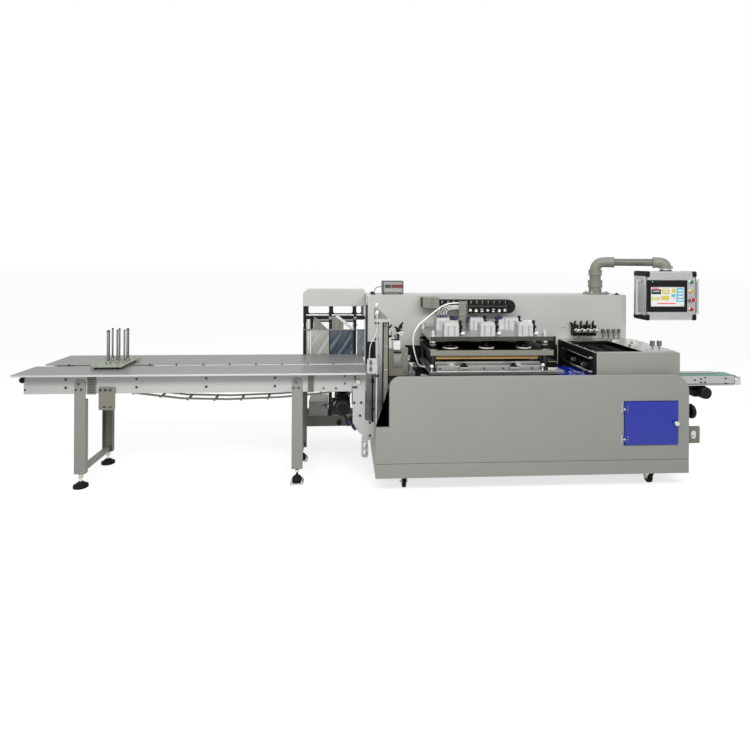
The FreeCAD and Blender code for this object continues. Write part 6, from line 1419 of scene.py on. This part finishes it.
# %% Chain links, pins and the cables inside
CHAIN_FRONT = 590.0
LINK_STEP = 46.0
low_links = np.arange(751.68 + 6, 1081.68 - 6, LINK_STEP)
top_links = np.arange(532.56 + 6, 1081.68 - 6, LINK_STEP)
side_plate = aim(block(15, 44, 2.2, 4, 0.8), FRONT)
web_places = [(x, CHAIN_FRONT, z) for z, xs in ((1161, low_links), (1221, top_links)) for x in xs]
pin = aim(turned([(5.5, 0), (5.5, 1.4), (4, 2.4)], 16), FRONT)
chain_links = piece("chain_links", nylon_black,
    (side_plate, web_places),
    (pin, np.array(web_places) - [0, 2.0, 0]),
    body=None)
side = np.linspace(0, 1, 60)
cables = []
for y, z, swing, beat in ((602, 1151, 5, 5), (602, 1165, 5, 7), (618, 1158, 5, 4), (632, 1168, 4, 6)):
    x = 748 + side * 330
    path = np.column_stack([x, np.full_like(x, y), z + swing * np.sin(beat * np.pi * side)])
    cables.append(tube(path, 6.5, 10))
piece("chain_cables", hose_white, (together(*cables),), body="press")
hole_ring = aim(turned([(4.5, 0), (4.5, 0.5)], 14), FRONT)
wall_holes = at_each(hole_ring, grid((464, 478), (579.8,), (1200, 1222, 1244)))
piece("bracket_holes", dark_bolt, (
    block(7, 16, 0.6, 3.4, 0.1), grid((739,), (566,), row((0, 0, 1040), (0, 0, 24), 8)[:, 2]), FRONT
), body="press")
piece("wall_bracket_holes", dark_bolt, (wall_holes,))
piece("bracket_end", nylon_black, (block(16, 66, 78, 6), [(402, 614, 1183)]))
piece("upright_screws", zinc_bolt, (
    cap_screw(6), grid((694, 714), (566,), (1030, 1130, 1216)), FRONT
), body="press")
print("chain links", made["chain_links"], "faces")


# %% [markdown]
# The upper run is fixed to the wall bracket and the lower run travels with the press. So the chain and its
# links ride on neither body, and each has its place baked into its mesh.

# %% The chain between the wall and the press
for part in (bevelled_copy("drag_chain", nylon_black, 0.6, rides=False), chain_links):
    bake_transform(part)

# %% [markdown]
# The transport unit is a dark box of rollers. Bright flat bars close its rear and right top edges, polished
# rods cross its window, and knurled screws press the rollers together.

# %% Top bars, rods and screws of the transport unit
TRANSPORT_X0 = 1525.0
ROLLER_ZS = (779, 850)
piece("transport_bars", stainless_bar,
    (block(14, 566, 4, 1.5, 0.5), [(1534, 367, 914.2)]),
    (block(606, 92, 5, 2, 0.5), [(1832, 648, 914.2)]),
    (block(248, 500, 5, 2, 0.5), [(2010, 350, 914.2)]),
    (block(150, 60, 8, 2, 0.5), [(2012, 134, 914.2)]),
    (block(74, 40, 16, 3, 0.5), [(1930, 560, 919), (2040, 452, 919), (1940, 300, 919)]))
piece("transport_screws", zinc_bolt,
    (cap_screw(6), row((1534, 110, 918.2), (0, 128, 0), 5)),
    (cap_screw(6), row((1580, 684, 919.2), (62, 0, 0), 5)),
    (cap_screw(6), row((2124, 190, 919.2), (0, 100, 0), 5)),
    (cap_screw(7), row((1906, 200, 919.2), (0, 90, 0), 5)))
piece("transport_rods", ground_rod,
    (turned([(6, 0), (7, 1), (7, 479), (6, 480)], 16), grid((1532,), (153,), (766, 858)), REAR),
    (turned([(4, 0), (5, 1), (5, 372), (4, 373)], 14), [(1462, 62, 753)], REAR))
shaft_end = together(turned([(19, 0), (19, 8), (16, 10)], 24), turned([(12, 10), (12, 16), (10, 18)], 18))
roller_xs = [TRANSPORT_X0 + 84.9 + 130.0 * k for k in range(4)]
bearing_places = grid(roller_xs, (151,), ROLLER_ZS)
piece("bearing_ends", zinc_bolt, (shaft_end, bearing_places, REAR))
piece(
    "roller_wheels", black_oxide, (chain_wheel(14, 15.9, 8, 15), grid(roller_xs, (618,), ROLLER_ZS), REAR)
)
piece("inlet_fittings", stainless_bar,
    (block(40, 24, 12, 4), [(1528, 250, 800), (1526, 420, 806)], (0.2, -1, 0.1)),
    (block(14, 220, 8, 3), [(1519, 330, 762)]),
    (hex_bolt(8), grid((1525,), (112, 128), (774, 872)), LEFT))
nut_collar = together(turned([(10, 0), (10, 7), (9, 8)], 6), turned([(15, -2), (15, 0)], 22))
screw_xs = [1878.6 + 44 * k for k in range(4)]
screw_places = [(x, 655, 916) for x in screw_xs] + [(1979, 135, 921), (2029, 135, 921)]
piece("adjuster_nuts", zinc_bolt, (nut_collar, screw_places))
piece("adjuster_heads", dark_rod,
    (knurled(14.6, 31, 26), [(x, 655, 972) for x in screw_xs]),
    (knurled(16.6, 37, 28), [(1979, 135, 951), (2029, 135, 951)]))
print("transport", made["roller_wheels"] + made["adjuster_heads"], "faces")

# %% [markdown]
# Four small air cylinders stand on the wall behind the rollers. Black bodies carry bright front caps, and a
# push-in elbow and a speed controller sit on each.

# %% Wall cylinders and the guard's strips
WALL_CYLINDERS = [TRANSPORT_X0 + (0.2 + 0.0813 * k) * 615.0 for k in range(4)]
print("black bodies", repaint(
    dressed["transport_adjusters"], nylon_black, (1600, 638, 949), (1830, 701, 1036)
))
front_cap = turned([(14, 0), (16, 0), (17, 1), (17, 11), (14.5, 13)], 26)
nose = turned([(13.4, 0), (15, 1), (15, 7), (12, 8.5), (7, 8.5), (6, 7)], 24)
piece("wall_cylinder_caps", zinc_bolt,
    (front_cap, [(x, 640, 995) for x in WALL_CYLINDERS], FRONT),
    (nose, [(x, 598, 995) for x in WALL_CYLINDERS], FRONT))
piece("wall_cylinder_bands", nylon_white, (
    block(37.4, 16, 30, 3), [(x, 656, 1006) for x in WALL_CYLINDERS[1::2]]
))
small_elbow = together(push_fitting(7.5, 18), at_each(
    tube([(0, 0, 0), (0, -2, 8), (0, -9, 14), (0, -20, 15)], 6, 12, up=(1, 0, 0)), [(0, 0, 16)]
))
piece("wall_fittings", nylon_black,
    (small_elbow, [(x, 668, 1035) for x in WALL_CYLINDERS]),
    (knurled(9, 20, 16), [(x - 8, 648, 1035) for x in WALL_CYLINDERS]),
    (push_fitting(9, 26), [(1634, 676, 1040)], (-0.8, -0.2, 0.5)))
piece("guard_screws", zinc_bolt, (cap_screw(5), grid((1320, 1500), (74, 188), (746.8,))))
piece("guard_flats", stainless_bar,
    (block(118, 12, 4, 1, 0.4), [(1460, 212, 752)]),
    (block(12, 12, 6, 1, 0.4), grid((1410, 1506), (212,), (746.8,))))
print("wall fittings", made["wall_fittings"], "faces")

# %% [markdown]
# The outfeed is a short belt between two extruded side rails, driven by a small motor slung below it. The
# rail's bolts are dark, the end blocks let the roller slide for tension, and the belt's seam is left plain.

# %% Outfeed bolts, grooves and motor details
RAIL_Y0, RAIL_Y1 = 235.0, 395.0
BELT_MOTOR_X, BELT_MOTOR_Z = 2446.2, 586
both = []
for axis, y in ((FRONT, RAIL_Y0), (REAR, RAIL_Y1)):
    both.append(at_each(cap_screw(7), [
        (2212, y, 674), (2364, y, 682), (2410, y, 690), (2441, y, 700), (2441, y, 664), (2410, y, 664),
        (2600, y, 692), (2600, y, 656),
    ], axis))
piece("outfeed_bolts", dark_bolt, (together(*both),))
slot_shape = block(500, 6, 0.8, 2, 0.2)
piece("outfeed_grooves", case_grey,
    (slot_shape, [(2413, RAIL_Y0 - 0.2, 652)], FRONT),
    (slot_shape, [(2413, RAIL_Y1 + 0.2, 652)], REAR))
side_block = together(block(40, 46, 5, 3), at_each(turned([(10, 0), (10, 4), (8, 5)], 20), [(-6, 4, 5)]))
piece("outfeed_end_blocks", stainless_bar,
    (side_block, [(2690, 237, 674)], FRONT),
    (side_block, [(2690, 393, 674)], REAR))
tension = aim(
    together(turned([(4, 0), (4, 46)], 12), at_each(turned([(7, 0), (7, 6)], 6), [(0, 0, 14)])), RIGHT
)
piece("tension_screws", zinc_bolt, (tension, [(2662, 244, 694), (2662, 386, 694)]))
ribs = [(42.2, 6)]
for k in range(5):
    base = 10 + 9 * k
    ribs += [(42.2, base), (45, base + 0.8), (45, base + 3.4), (42.2, base + 4.2)]
ribs += [(42.2, 62)]
piece("belt_motor_ribs", motor_black, (turned(ribs, 40), [(BELT_MOTOR_X, 232, BELT_MOTOR_Z)], REAR))
end_cap = turned([(43, 0), (43, 8), (36, 13), (12, 14), (10, 12)], 36)
piece("belt_motor_cap", motor_black, (end_cap, [(BELT_MOTOR_X, 236, BELT_MOTOR_Z)], FRONT))
piece("outfeed_guide", aluminium_plate,
    (block(430, 66, 3, 3), [(2390, 360, 712)]),
    (block(20, 30, 30, 2), grid((2200, 2580), (388,), (684,))),
    slot="panel_grey")
gear_screws = at_each(cap_screw(6), grid((2412, 2480), (370,), (552, 620)), REAR)
piece("belt_motor_box", nylon_black, (block(44, 34, 26, 4), [(2392, 318, 592)]))
piece("belt_gear_screws", zinc_bolt, (gear_screws,))
print("outfeed", made["outfeed_bolts"], "faces")

# %% [markdown]
# On the right end panel a hand knob turns the width adjuster. It is moulded with seven lobes, so its rim is
# a circle whose radius swings gently.

# %% Lobed hand knob and the adjuster's screws
KNOB_Y, KNOB_Z = 360, 462
a = np.linspace(0, 2 * np.pi, 84, endpoint=False)
lobes = 42.5 + 2.6 * np.cos(7 * a)
lobe_ring = np.stack([lobes * np.cos(a), lobes * np.sin(a)], axis=-1)
lobed = pressed(lobe_ring, [(3, 0), (0.6, 3), (0, 8), (0, 28), (0.6, 34), (4, 38.5), (20, 39.5)])
piece("hand_knob", nylon_black, (lobed, [(2262, KNOB_Y, KNOB_Z)], RIGHT))
knob_cap = turned([(15, 0), (15, 1.4), (12, 3)], 28)
piece("hand_knob_cap", zinc_bolt, (knob_cap, [(2301.3, KNOB_Y, KNOB_Z)], RIGHT))
shaft = turned([(16, 0), (16, 14), (14.6, 16), (14.6, 84), (18, 86), (18, 94)], 26)
piece("knob_shaft", zinc_bolt, (shaft, [(2168, KNOB_Y, KNOB_Z)], RIGHT))
piece("adjuster_screws", zinc_bolt, (hex_bolt(8), grid((2168,), (315, 405), (265, 400, 505)), RIGHT))
piece("end_panel_screws", zinc_bolt,
    (cap_screw(5), grid((2144,), (130, 480, 560, 640), (740, 880)), RIGHT),
    (hex_bolt(10), grid((2162,), (60, 640), (150, 400, 640)), RIGHT))
print("hand knob", made["hand_knob"], "faces")


# %% [markdown]
# The belt's adjuster shows at the cabinet's right side: a slotted plate with a bolt in its slot, and a black
# hand knob above it. The CAD adjuster is the one further back, which the cabinet hides from the front.

# %% Front adjuster at the cabinet's right side
SIDE_X, ADJUSTER_Y = 2162.0, 62.0
knob_steps = [
    (14, -38), (14, 0), (30, 0), (46, 3), (50, 8), (50, 22), (46, 27), (26, 29), (22, 33), (0.4, 33.5)
]
piece("front_adjuster_knob", nylon_black, (turned(knob_steps, 40), [(SIDE_X + 38, ADJUSTER_Y, 506)], RIGHT))
piece("front_adjuster_plate", drive_beige,
    (block(117, 120, 5, 10, 0.8), [(SIDE_X + 58.5, ADJUSTER_Y, 342)], FRONT),
    (block(6, 76, 262, 3), [(SIDE_X + 3, ADJUSTER_Y + 38, 252)]))
slot_rim = aim(pressed(rounded_rect(34, 56, 16, 6), [(0.5, 0), (0, 0.5), (0, 2.0)]), FRONT)
piece("front_adjuster_slot", zinc_bolt,
    (slot_rim, [(SIDE_X + 70, ADJUSTER_Y - 5, 342)]),
    (hex_bolt(9), [(SIDE_X + 70, ADJUSTER_Y - 7, 334)], FRONT),
    (cap_screw(5), grid((SIDE_X + 22,), (ADJUSTER_Y - 5,), (306, 342, 378)), FRONT))
print("front adjuster", made["front_adjuster_plate"], "faces")

# %% [markdown]
# The operator box is an extruded housing with ribbed long sides and black plastic caps at its corners. Its
# front is a silver plate. The screen sits in a black frame and shows a plain generic page, with no words.

# %% Housing caps, ribs and screws
BOX_X0, BOX_X1, BOX_Z0, BOX_Z1 = 2150.9, 2565.9, 1089.0, 1474.0
BOX_FRONT, BOX_BACK = 515.0, 685.0
print("black frame", repaint(dressed["hmi_panel"], nylon_black, (2155, 508, 1150), (2492, 514.9, 1410)))
cap_shape = pressed(rounded_rect(36, 48, 13, 5), [(2.0, 0), (0, 2.0), (0, 171), (2.0, 173)])
cap_places = grid((BOX_X0 + 16.6, BOX_X1 - 16.6), (BOX_BACK + 1.2,), (BOX_Z0 + 22.6, BOX_Z1 - 22.6))
piece("corner_caps", nylon_black, (cap_shape, cap_places, FRONT), body="hmi_box")
rib_ys = np.arange(538, 676, 15.0)
rib = block(4.2, 8, 306, 1.8, 0.5)
piece("side_ribs", aluminium_profile,
    (rib, grid((BOX_X0 - 0.6,), rib_ys, (BOX_Z0 + 39,))),
    (rib, grid((BOX_X1 + 0.6,), rib_ys, (BOX_Z0 + 39,))),
    body="hmi_box")
edge_line = block(3, 3.4, 304, 1, 0.4)
piece("front_lines", case_grey, (
    edge_line, grid((BOX_X0 + 8, BOX_X1 - 8), (514.4,), (BOX_Z0 + 40,))
), body="hmi_box")
piece("operator_box_screws", zinc_bolt,
    (cap_screw(5), grid((BOX_X0 + 30, BOX_X1 - 30), (515,), (BOX_Z0 + 52, BOX_Z1 - 52)), FRONT),
    (cap_screw(6), grid((BOX_X0 + 40, BOX_X1 - 40), (685,), (BOX_Z0 + 55, BOX_Z1 - 55)), REAR),
    (turned([(13, 0), (13, 3), (11, 4)], 24), grid((BOX_X0,), (572,), (1139, 1401)), LEFT),
    (turned([(13, 0), (13, 3), (11, 4)], 24), grid((BOX_X1,), (572,), (1139, 1401)), RIGHT),
    body="hmi_box")
back_plate = aim(block(350, 250, 3, 8), REAR)
piece("operator_rear_cover", aluminium_plate, (back_plate, [(2358.4, BOX_BACK, 1282)]), body="hmi_box")
vent = aim(block(60, 5, 1.2, 2.4, 0.3), REAR)
vent_places = grid((2290, 2428), (BOX_BACK + 2.4,), row((0, 0, 1190), (0, 0, 13), 7)[:, 2])
# The vents are black strips on the plate: painted shade inside the box, where the slots would open.
piece("operator_rear_vents", nylon_black, (vent, vent_places), body="hmi_box")
print("housing", made["side_ribs"], "faces")

# %% The screen's page and the four buttons
SCREEN_FRONT = 509.0
glass = aim(block(300, 214, 1.6, 6, 0.4), FRONT)
piece("screen_glass", screen_black, (glass, [(2325, SCREEN_FRONT, 1276)]), body="hmi_box")


def field(x, z, width, height, level=0):
    """A flat coloured field on the page, centred on (x, z), level steps of 0.3 mm above the glass."""
    return at_each(aim(pressed(rounded_rect(width, height, 2, 3), [(0, 0), (0, 0.4)]), FRONT),
                   [(x, SCREEN_FRONT - 1.5 - 0.3 * level, z)])


piece("screen_page", lcd_white, (field(2325, 1276, 270, 154),), body="hmi_box")
piece("screen_dark_fields", lcd_dark, (
    together(field(2232, 1314, 78, 40, 1), field(2325, 1351, 268, 3, 1)),
), body="hmi_box")
piece("screen_blue_fields", lcd_blue, (
    together(field(2425, 1290, 58, 110, 1), field(2372, 1284, 36, 22, 1)),
), body="hmi_box")
piece("screen_yellow_fields", lcd_yellow, (together(
    field(2310, 1318, 62, 46, 1),
    field(2228, 1262, 68, 26, 1),
    field(2306, 1266, 66, 34, 1),
    field(2374, 1322, 30, 36, 1),
    field(2440, 1208, 24, 8, 1),
),), body="hmi_box")
piece("screen_red_fields", led_red, (together(
    field(2226, 1342, 56, 10, 2),
    field(2316, 1222, 150, 9, 1),
    field(2316, 1240, 12, 5, 2),
    field(2376, 1262, 9, 9, 2),
),), body="hmi_box", slot="grey_plastic")
piece("screen_white_fields", lcd_white, (together(
    field(2310, 1330, 44, 7, 2),
    field(2310, 1312, 44, 7, 2),
    field(2228, 1266, 50, 6, 2),
    *[field(2428, z, 40, 12, 2) for z in (1325, 1300, 1275, 1250)],
    field(2232, 1318, 50, 6, 2),
),), body="hmi_box")
piece("status_light", lcd_white, (
    turned([(3.4, 0), (3.4, 1), (2, 2)], 16), [(2202, 509, 1392)], FRONT
), body="hmi_box")
bezel = turned([(17.5, 0), (18.5, 1), (18.5, 4), (15.6, 6.5), (15.6, 9)], 28)
push = turned([(15.0, 8), (15.0, 12), (13.5, 13.4), (8, 14.2), (0.4, 14.4)], 28)
BUTTON_X = 2519.9
START_Z, RESET_Z, MUSHROOM_Z, STOP_Z = 1390.8, 1316.9, 1249.9, 1174.9
bezels = [(BUTTON_X, BOX_FRONT, z) for z in (START_Z, RESET_Z, MUSHROOM_Z, STOP_Z)]
piece("button_bezels", brass_nickel, (bezel, bezels, FRONT), body="hmi_box")
for name, z, paint in (("button_start", START_Z, button_green), ("button_reset", RESET_Z, button_yellow),
                       ("button_stop", STOP_Z, button_red)):
    piece(name, paint, (push, [(BUTTON_X, BOX_FRONT, z)], FRONT), body="hmi_box", slot="grey_plastic")
mushroom = turned(
    [(15.6, 4), (15.6, 15), (21, 17), (22.8, 20), (22.8, 25), (20, 29), (12, 31), (0.4, 31.6)], 34
)
piece("button_mushroom", button_red, (mushroom, [(BUTTON_X, BOX_FRONT, MUSHROOM_Z)], FRONT), body="hmi_box")
print("buttons at", bezels[0])

# %% [markdown]
# The arm is plumbing pipe: two wide elbows with moulded rings at their mouths, and a level pipe that is
# darker and shinier. The rings are turned collars that sit on the elbows' ends.

# %% Rings on the elbows, the flange's bolts and the box's neck
POST_AT, DROP_AT, ARM_Z = np.array([1886.0, 810.0]), np.array([2365.0, 600.0]), 1543.0
way = (DROP_AT - POST_AT) / np.linalg.norm(DROP_AT - POST_AT)
along_arm = (way[0], way[1], 0)
near, far = POST_AT + 144 * way, DROP_AT - 92 * way
mouth_ring = turned([(41, -16), (44.6, -14), (45, -12), (45, -2), (43, 1), (34, 3), (30.5, 3)], 40)
mouth_back = turned([(30.5, -3), (34, -3), (43, -1), (45, 2), (45, 12), (44.6, 14), (41, 16)], 40)
inner_ring = turned([(42.2, 0), (43.8, 1), (43.8, 6), (42.2, 7)], 40)
piece("elbow_rings", pvc_grey,
    (mouth_ring, [(*near, ARM_Z)], along_arm),
    (mouth_back, [(*far, ARM_Z)], along_arm),
    (inner_ring, [(*POST_AT + s * way, ARM_Z) for s in (84, 100)], along_arm),
    (inner_ring, [(*DROP_AT, 1514 - 14)]),
    (turned([(52.2, 0), (54.4, 1), (54.4, 9), (52.2, 10)], 40), [(*POST_AT, 1432), (*POST_AT, 1466)]),
    (turned([(44.2, 0), (46, 1), (46, 6), (44.2, 7)], 40), [(*POST_AT, 1410)]),
    body="hmi_arm")
piece("post_rings", pvc_grey,
    (turned([(56.2, 0), (58, 1), (58, 9), (56.2, 10)], 40), [(*POST_AT, 1336), (*POST_AT, 1380)]),
    (turned([(50.2, 0), (52, 1), (52, 7), (50.2, 8)], 40), [(*POST_AT, 1300)]))
FLANGE_R = 78
angle = np.radians([45, 135, 225, 315])
flange_places = np.column_stack(
    [POST_AT[0] + FLANGE_R * np.cos(angle), POST_AT[1] + FLANGE_R * np.sin(angle), np.full(4, 1289.0)]
)
piece("flange_bolts", zinc_bolt, (hex_bolt(10), flange_places))
neck_ring = turned([(40.4, 0), (48, 0), (48, 5), (43, 9), (40.4, 9)], 40)
piece("box_neck_ring", nylon_black, (neck_ring, [(*DROP_AT, 1474)]), body="hmi_box")
print("shiny pipe", repaint(dressed["hmi_arm"], pvc_dark, (2022, 600, 1505), (2276, 820, 1580)))

# %% [markdown]
# The cabinet is a folded cover with few details, so each one counts: the screws of the deck, the black
# strips that paint the shadow in the gap round the blue door, the bright knob and hinges, and the punched
# strip at the wall's left edge.

# %% Painted shadow round the door, knob and hinge screws
DOOR_X0, DOOR_X1, DOOR_Z0, DOOR_Z1 = 1702.0, 2080.0, 298.0, 595.0
HINGE_SCREW_ZS = (324, 341, 358, 528, 545, 562)
rim_long = aim(block(5, 303, 0.9, 1, 0.2), FRONT)
rim_wide = aim(block(384, 5, 0.9, 1, 0.2), FRONT)
# Thin black strips round the door's edges: painted shadow in the gap between the door and the cover.
piece("door_gap_shadow", rubber_black,
    (rim_long, [(DOOR_X0 - 0.5, 0.1, 446.5), (DOOR_X1 + 0.5, 0.1, 446.5)]),
    (rim_wide, [(1891, 0.1, DOOR_Z0 - 0.5), (1891, 0.1, DOOR_Z1 + 0.5)]))
knob_shape = turned([(9, 0), (12, 0.5), (12, 2), (9.4, 3.5), (9.4, 9), (13, 10), (15.8, 11.5), (15.8, 22.5),
                     (13.5, 25), (8, 25.6), (0.4, 25.8)], 32)
piece("door_knob", brass_nickel, (knob_shape, [(2060, -7, 446.5)], FRONT), body="access_door")
piece(
    "hinge_leaf_screws",
    zinc_bolt,
    (cap_screw(3.4), grid((1720,), (-11,), HINGE_SCREW_ZS), FRONT),
    body="access_door",
)
piece("hinge_fixed_screws", zinc_bolt, (cap_screw(2.6), grid((1684,), (-4,), HINGE_SCREW_ZS), FRONT))
print("door", made["door_knob"], "faces")

# %% Deck screws, wall strip, painted shade on the lower wall and small holes
piece("deck_screws", zinc_bolt,
    (cap_screw(6), row((150, 48, 717), (150, 0, 0), 9)),
    (cap_screw(6), row((150, 688, 717), (150, 0, 0), 9)),
    (cap_screw(5), [(x, y, 737) for y in (235, 605) for x in range(345, 1400, 75)]))
strip = aim(block(22, 118, 1.6, 1, 0.3), FRONT)
piece("wall_strip", stainless_sheet, (strip, [(-24, 700.2, 1212)]))
# Black sheets on the wall: a strip at its left edge, a patch behind the guide posts, a long band behind the
# press and a patch to the right of the press. They are painted shade where the wall's lower part lies in
# shadow. The left strip also stands for the machine's black side plate.
piece("lower_wall_painted_shade", frame_black,
    (block(14, 470, 1.6, 1, 0.3), [(-32, 700.2, 960)], FRONT),
    (block(96, 180, 1.6, 1, 0.3), [(9, 700.4, 812)], FRONT),
    (block(1246, 150, 1.6, 4, 0.3), [(895, 700.2, 797)], FRONT),
    (block(170, 120, 1.6, 4, 0.3), [(1420, 700.4, 880)], FRONT))
dot = aim(turned([(4.2, 0), (4.2, 0.4)], 12), FRONT)
piece("wall_dots", rubber_black,
    (dot, grid((-28,), (698.7,), row((0, 0, 1164), (0, 0, 19), 6)[:, 2])),
    (dot, [(1583, 700.1, 1010), (1560, 700.1, 1010)]),
    slot="dark_frame")
piece("feed_guides", stainless_bar,
    (block(50, 60, 24, 3), [(278, 320, 717)]),
    (block(14, 14, 83, 2), grid((270,), (250, 335, 450, 530), (717,))),
    (block(22, 120, 6, 2), [(270, 290, 799.5), (270, 490, 799.5)]),
    (block(46, 18, 6, 2), [(276, 300, 805), (276, 524, 805)]),
    (block(34, 30, 26, 3), [(272, 480, 805)]))
piece("feed_guide_bolts", zinc_bolt, (cap_screw(8), grid((262, 294), (300, 340), (741,))))
print("deck", made["deck_screws"], "faces")

# %% [markdown]
# The casters have a hub cap and an axle nut on each side, and four bolts hold each one's plate. The nuts
# ride on the fork, the caps on the wheel and the bolts on the cabinet.

# %% Casters
CASTER_PLACES = {"fl": (200, 70), "fr": (1930, 70), "rl": (200, 880), "rr": (1930, 880)}
axle_nut = turned([(8.5, 0), (8.5, 5), (7.4, 6)], 6)
hub_cap = turned([(14.2, 0), (17, 0), (18, 0.8), (18, 1.6), (14.2, 1.8)], 26)
for tag, (x, y) in CASTER_PLACES.items():
    axle_y = y + 28
    piece("axle_nuts_" + tag, zinc_bolt,
        (axle_nut, [(x - 21.2, axle_y, 40)], LEFT),
        (axle_nut, [(x + 21.2, axle_y, 40)], RIGHT),
        body="fork_" + tag)
    piece("hub_caps_" + tag, fitting_grey,
        (hub_cap, [(x - 12.4, axle_y, 40)], LEFT),
        (hub_cap, [(x + 12.4, axle_y, 40)], RIGHT),
        body="wheel_" + tag)
plate_bolt_places = [
    (x + dx, y + dy, 110) for x, y in CASTER_PLACES.values() for dx in (-36, 36) for dy in (-30, 30)
]
piece("caster_bolts", zinc_bolt, (hex_bolt(7), np.array(plate_bolt_places) - [0, 0, 4], (0, 0, -1)))
print("casters", made["hub_caps_fl"], "faces each")

# %% [markdown]
# The photograph shows no back. A cabinet of this kind has plain doors there, so each gets the usual parts:
# a swing handle, two hinges and rows of pressed louvres that let the warm air out.

# %% Rear doors
REAR_Y = 968.0
LOCK_DX = 640
DOOR_STARTS = (-20.0, 685.0, 1390.0)
hood_shape = pressed(rounded_rect(96, 17, 7, 5), [(0, 0), (0.4, 1.5), (2.0, 4.5), (5.0, 7.0)])
slit_shape = block(84, 4, 1.6, 1.8, 0.3)
louvre_xs = [x0 + dx for x0 in DOOR_STARTS for dx in (220, 342, 464)]
louvre_zs = [*range(250, 460, 30), *range(990, 1180, 30)]
piece("rear_louvres", panel_grey_painted_light, (hood_shape, grid(louvre_xs, (REAR_Y,), louvre_zs), REAR), smooth=50.0)
# Under each hood a black slit stands in for the opening: painted shade of the cabinet's inside.
piece("rear_louvre_slits", rubber_black, (
    slit_shape, grid(louvre_xs, (REAR_Y - 0.4,), [z - 10.5 for z in louvre_zs]), REAR
), slot="dark_frame")
print("louvres", made["rear_louvres"], "faces")

handle_base = pressed(rounded_rect(34, 150, 12, 5), [(0.8, 0), (0, 0.8), (0, 7), (2, 9)])
handle_bar = pressed(rounded_rect(20, 112, 9, 5), [(2, 0), (0, 2), (0, 9), (2.4, 12)])
lock_core = turned([(9, 0), (9, 5), (7.6, 6.4), (4, 6.4), (4, 5.4)], 24)
piece("rear_handles", nylon_black,
    (handle_base, [(x0 + LOCK_DX, REAR_Y, 706) for x0 in DOOR_STARTS], REAR),
    (handle_bar, [(x0 + LOCK_DX, REAR_Y + 9, 698) for x0 in DOOR_STARTS], REAR))
piece(
    "rear_locks", brass_nickel, (lock_core, [(x0 + LOCK_DX, REAR_Y + 9, 764) for x0 in DOOR_STARTS], REAR)
)
barrel = together(
    turned([(7, 0), (8, 1), (8, 27), (7, 28)], 20), turned([(7, 30), (8, 31), (8, 59), (7, 60)], 20)
)
piece("rear_hinges", zinc_bolt, (barrel, grid([x0 + 6 for x0 in DOOR_STARTS], (REAR_Y + 7,), (280, 1080))))
ear = together(turned([(20, 0), (20, 8)], 28), at_each(cap_screw(8), [(0, 0, 8)]))
piece("cabinet_top_plugs", frame_black, (ear, grid((20, 2035), (740, 910), (1275,))))
gland_plate = aim(block(180, 90, 5, 4), LEFT)
piece("cable_entry_plate", stainless_sheet, (gland_plate, [(-40, 820, 300)]))
piece("cable_entry_glands", nylon_black, (gland, grid((-45,), (790, 820, 850), (270, 330)), LEFT))
print("rear door fittings", made["rear_handles"], "faces")

# %% [markdown]
# The motor side of the infeed, the film unit's back and the underside of the table stay as plain as the real
# ones: painted channels with cross bolts, and a chain tensioner at the idler end.

# %% Chain tensioner at the idler end
tension_rod = turned([(6, 0), (6, 92), (5, 94)], 16)
tension_nut = turned([(11, 0), (11, 9), (10, 10)], 6)
piece("chain_tensioner", zinc_bolt,
    (tension_rod, grid((-2300,), (215, 605), (733,)), LEFT),
    (tension_nut, grid((-2356, -2370), (215, 605), (733,)), LEFT))
bumper = turned([(17, 0), (19, 2), (19, 20), (16, 23), (6, 24)], 26)
piece("idler_plugs", rubber_black, (bumper, [(-2376, 204, 731)], FRONT))
print("tensioner", made["chain_tensioner"], "faces")


# %% [markdown]
# At the end the new pieces are counted, with their faces.

print(len(made), "new pieces with", sum(made.values()), "faces")
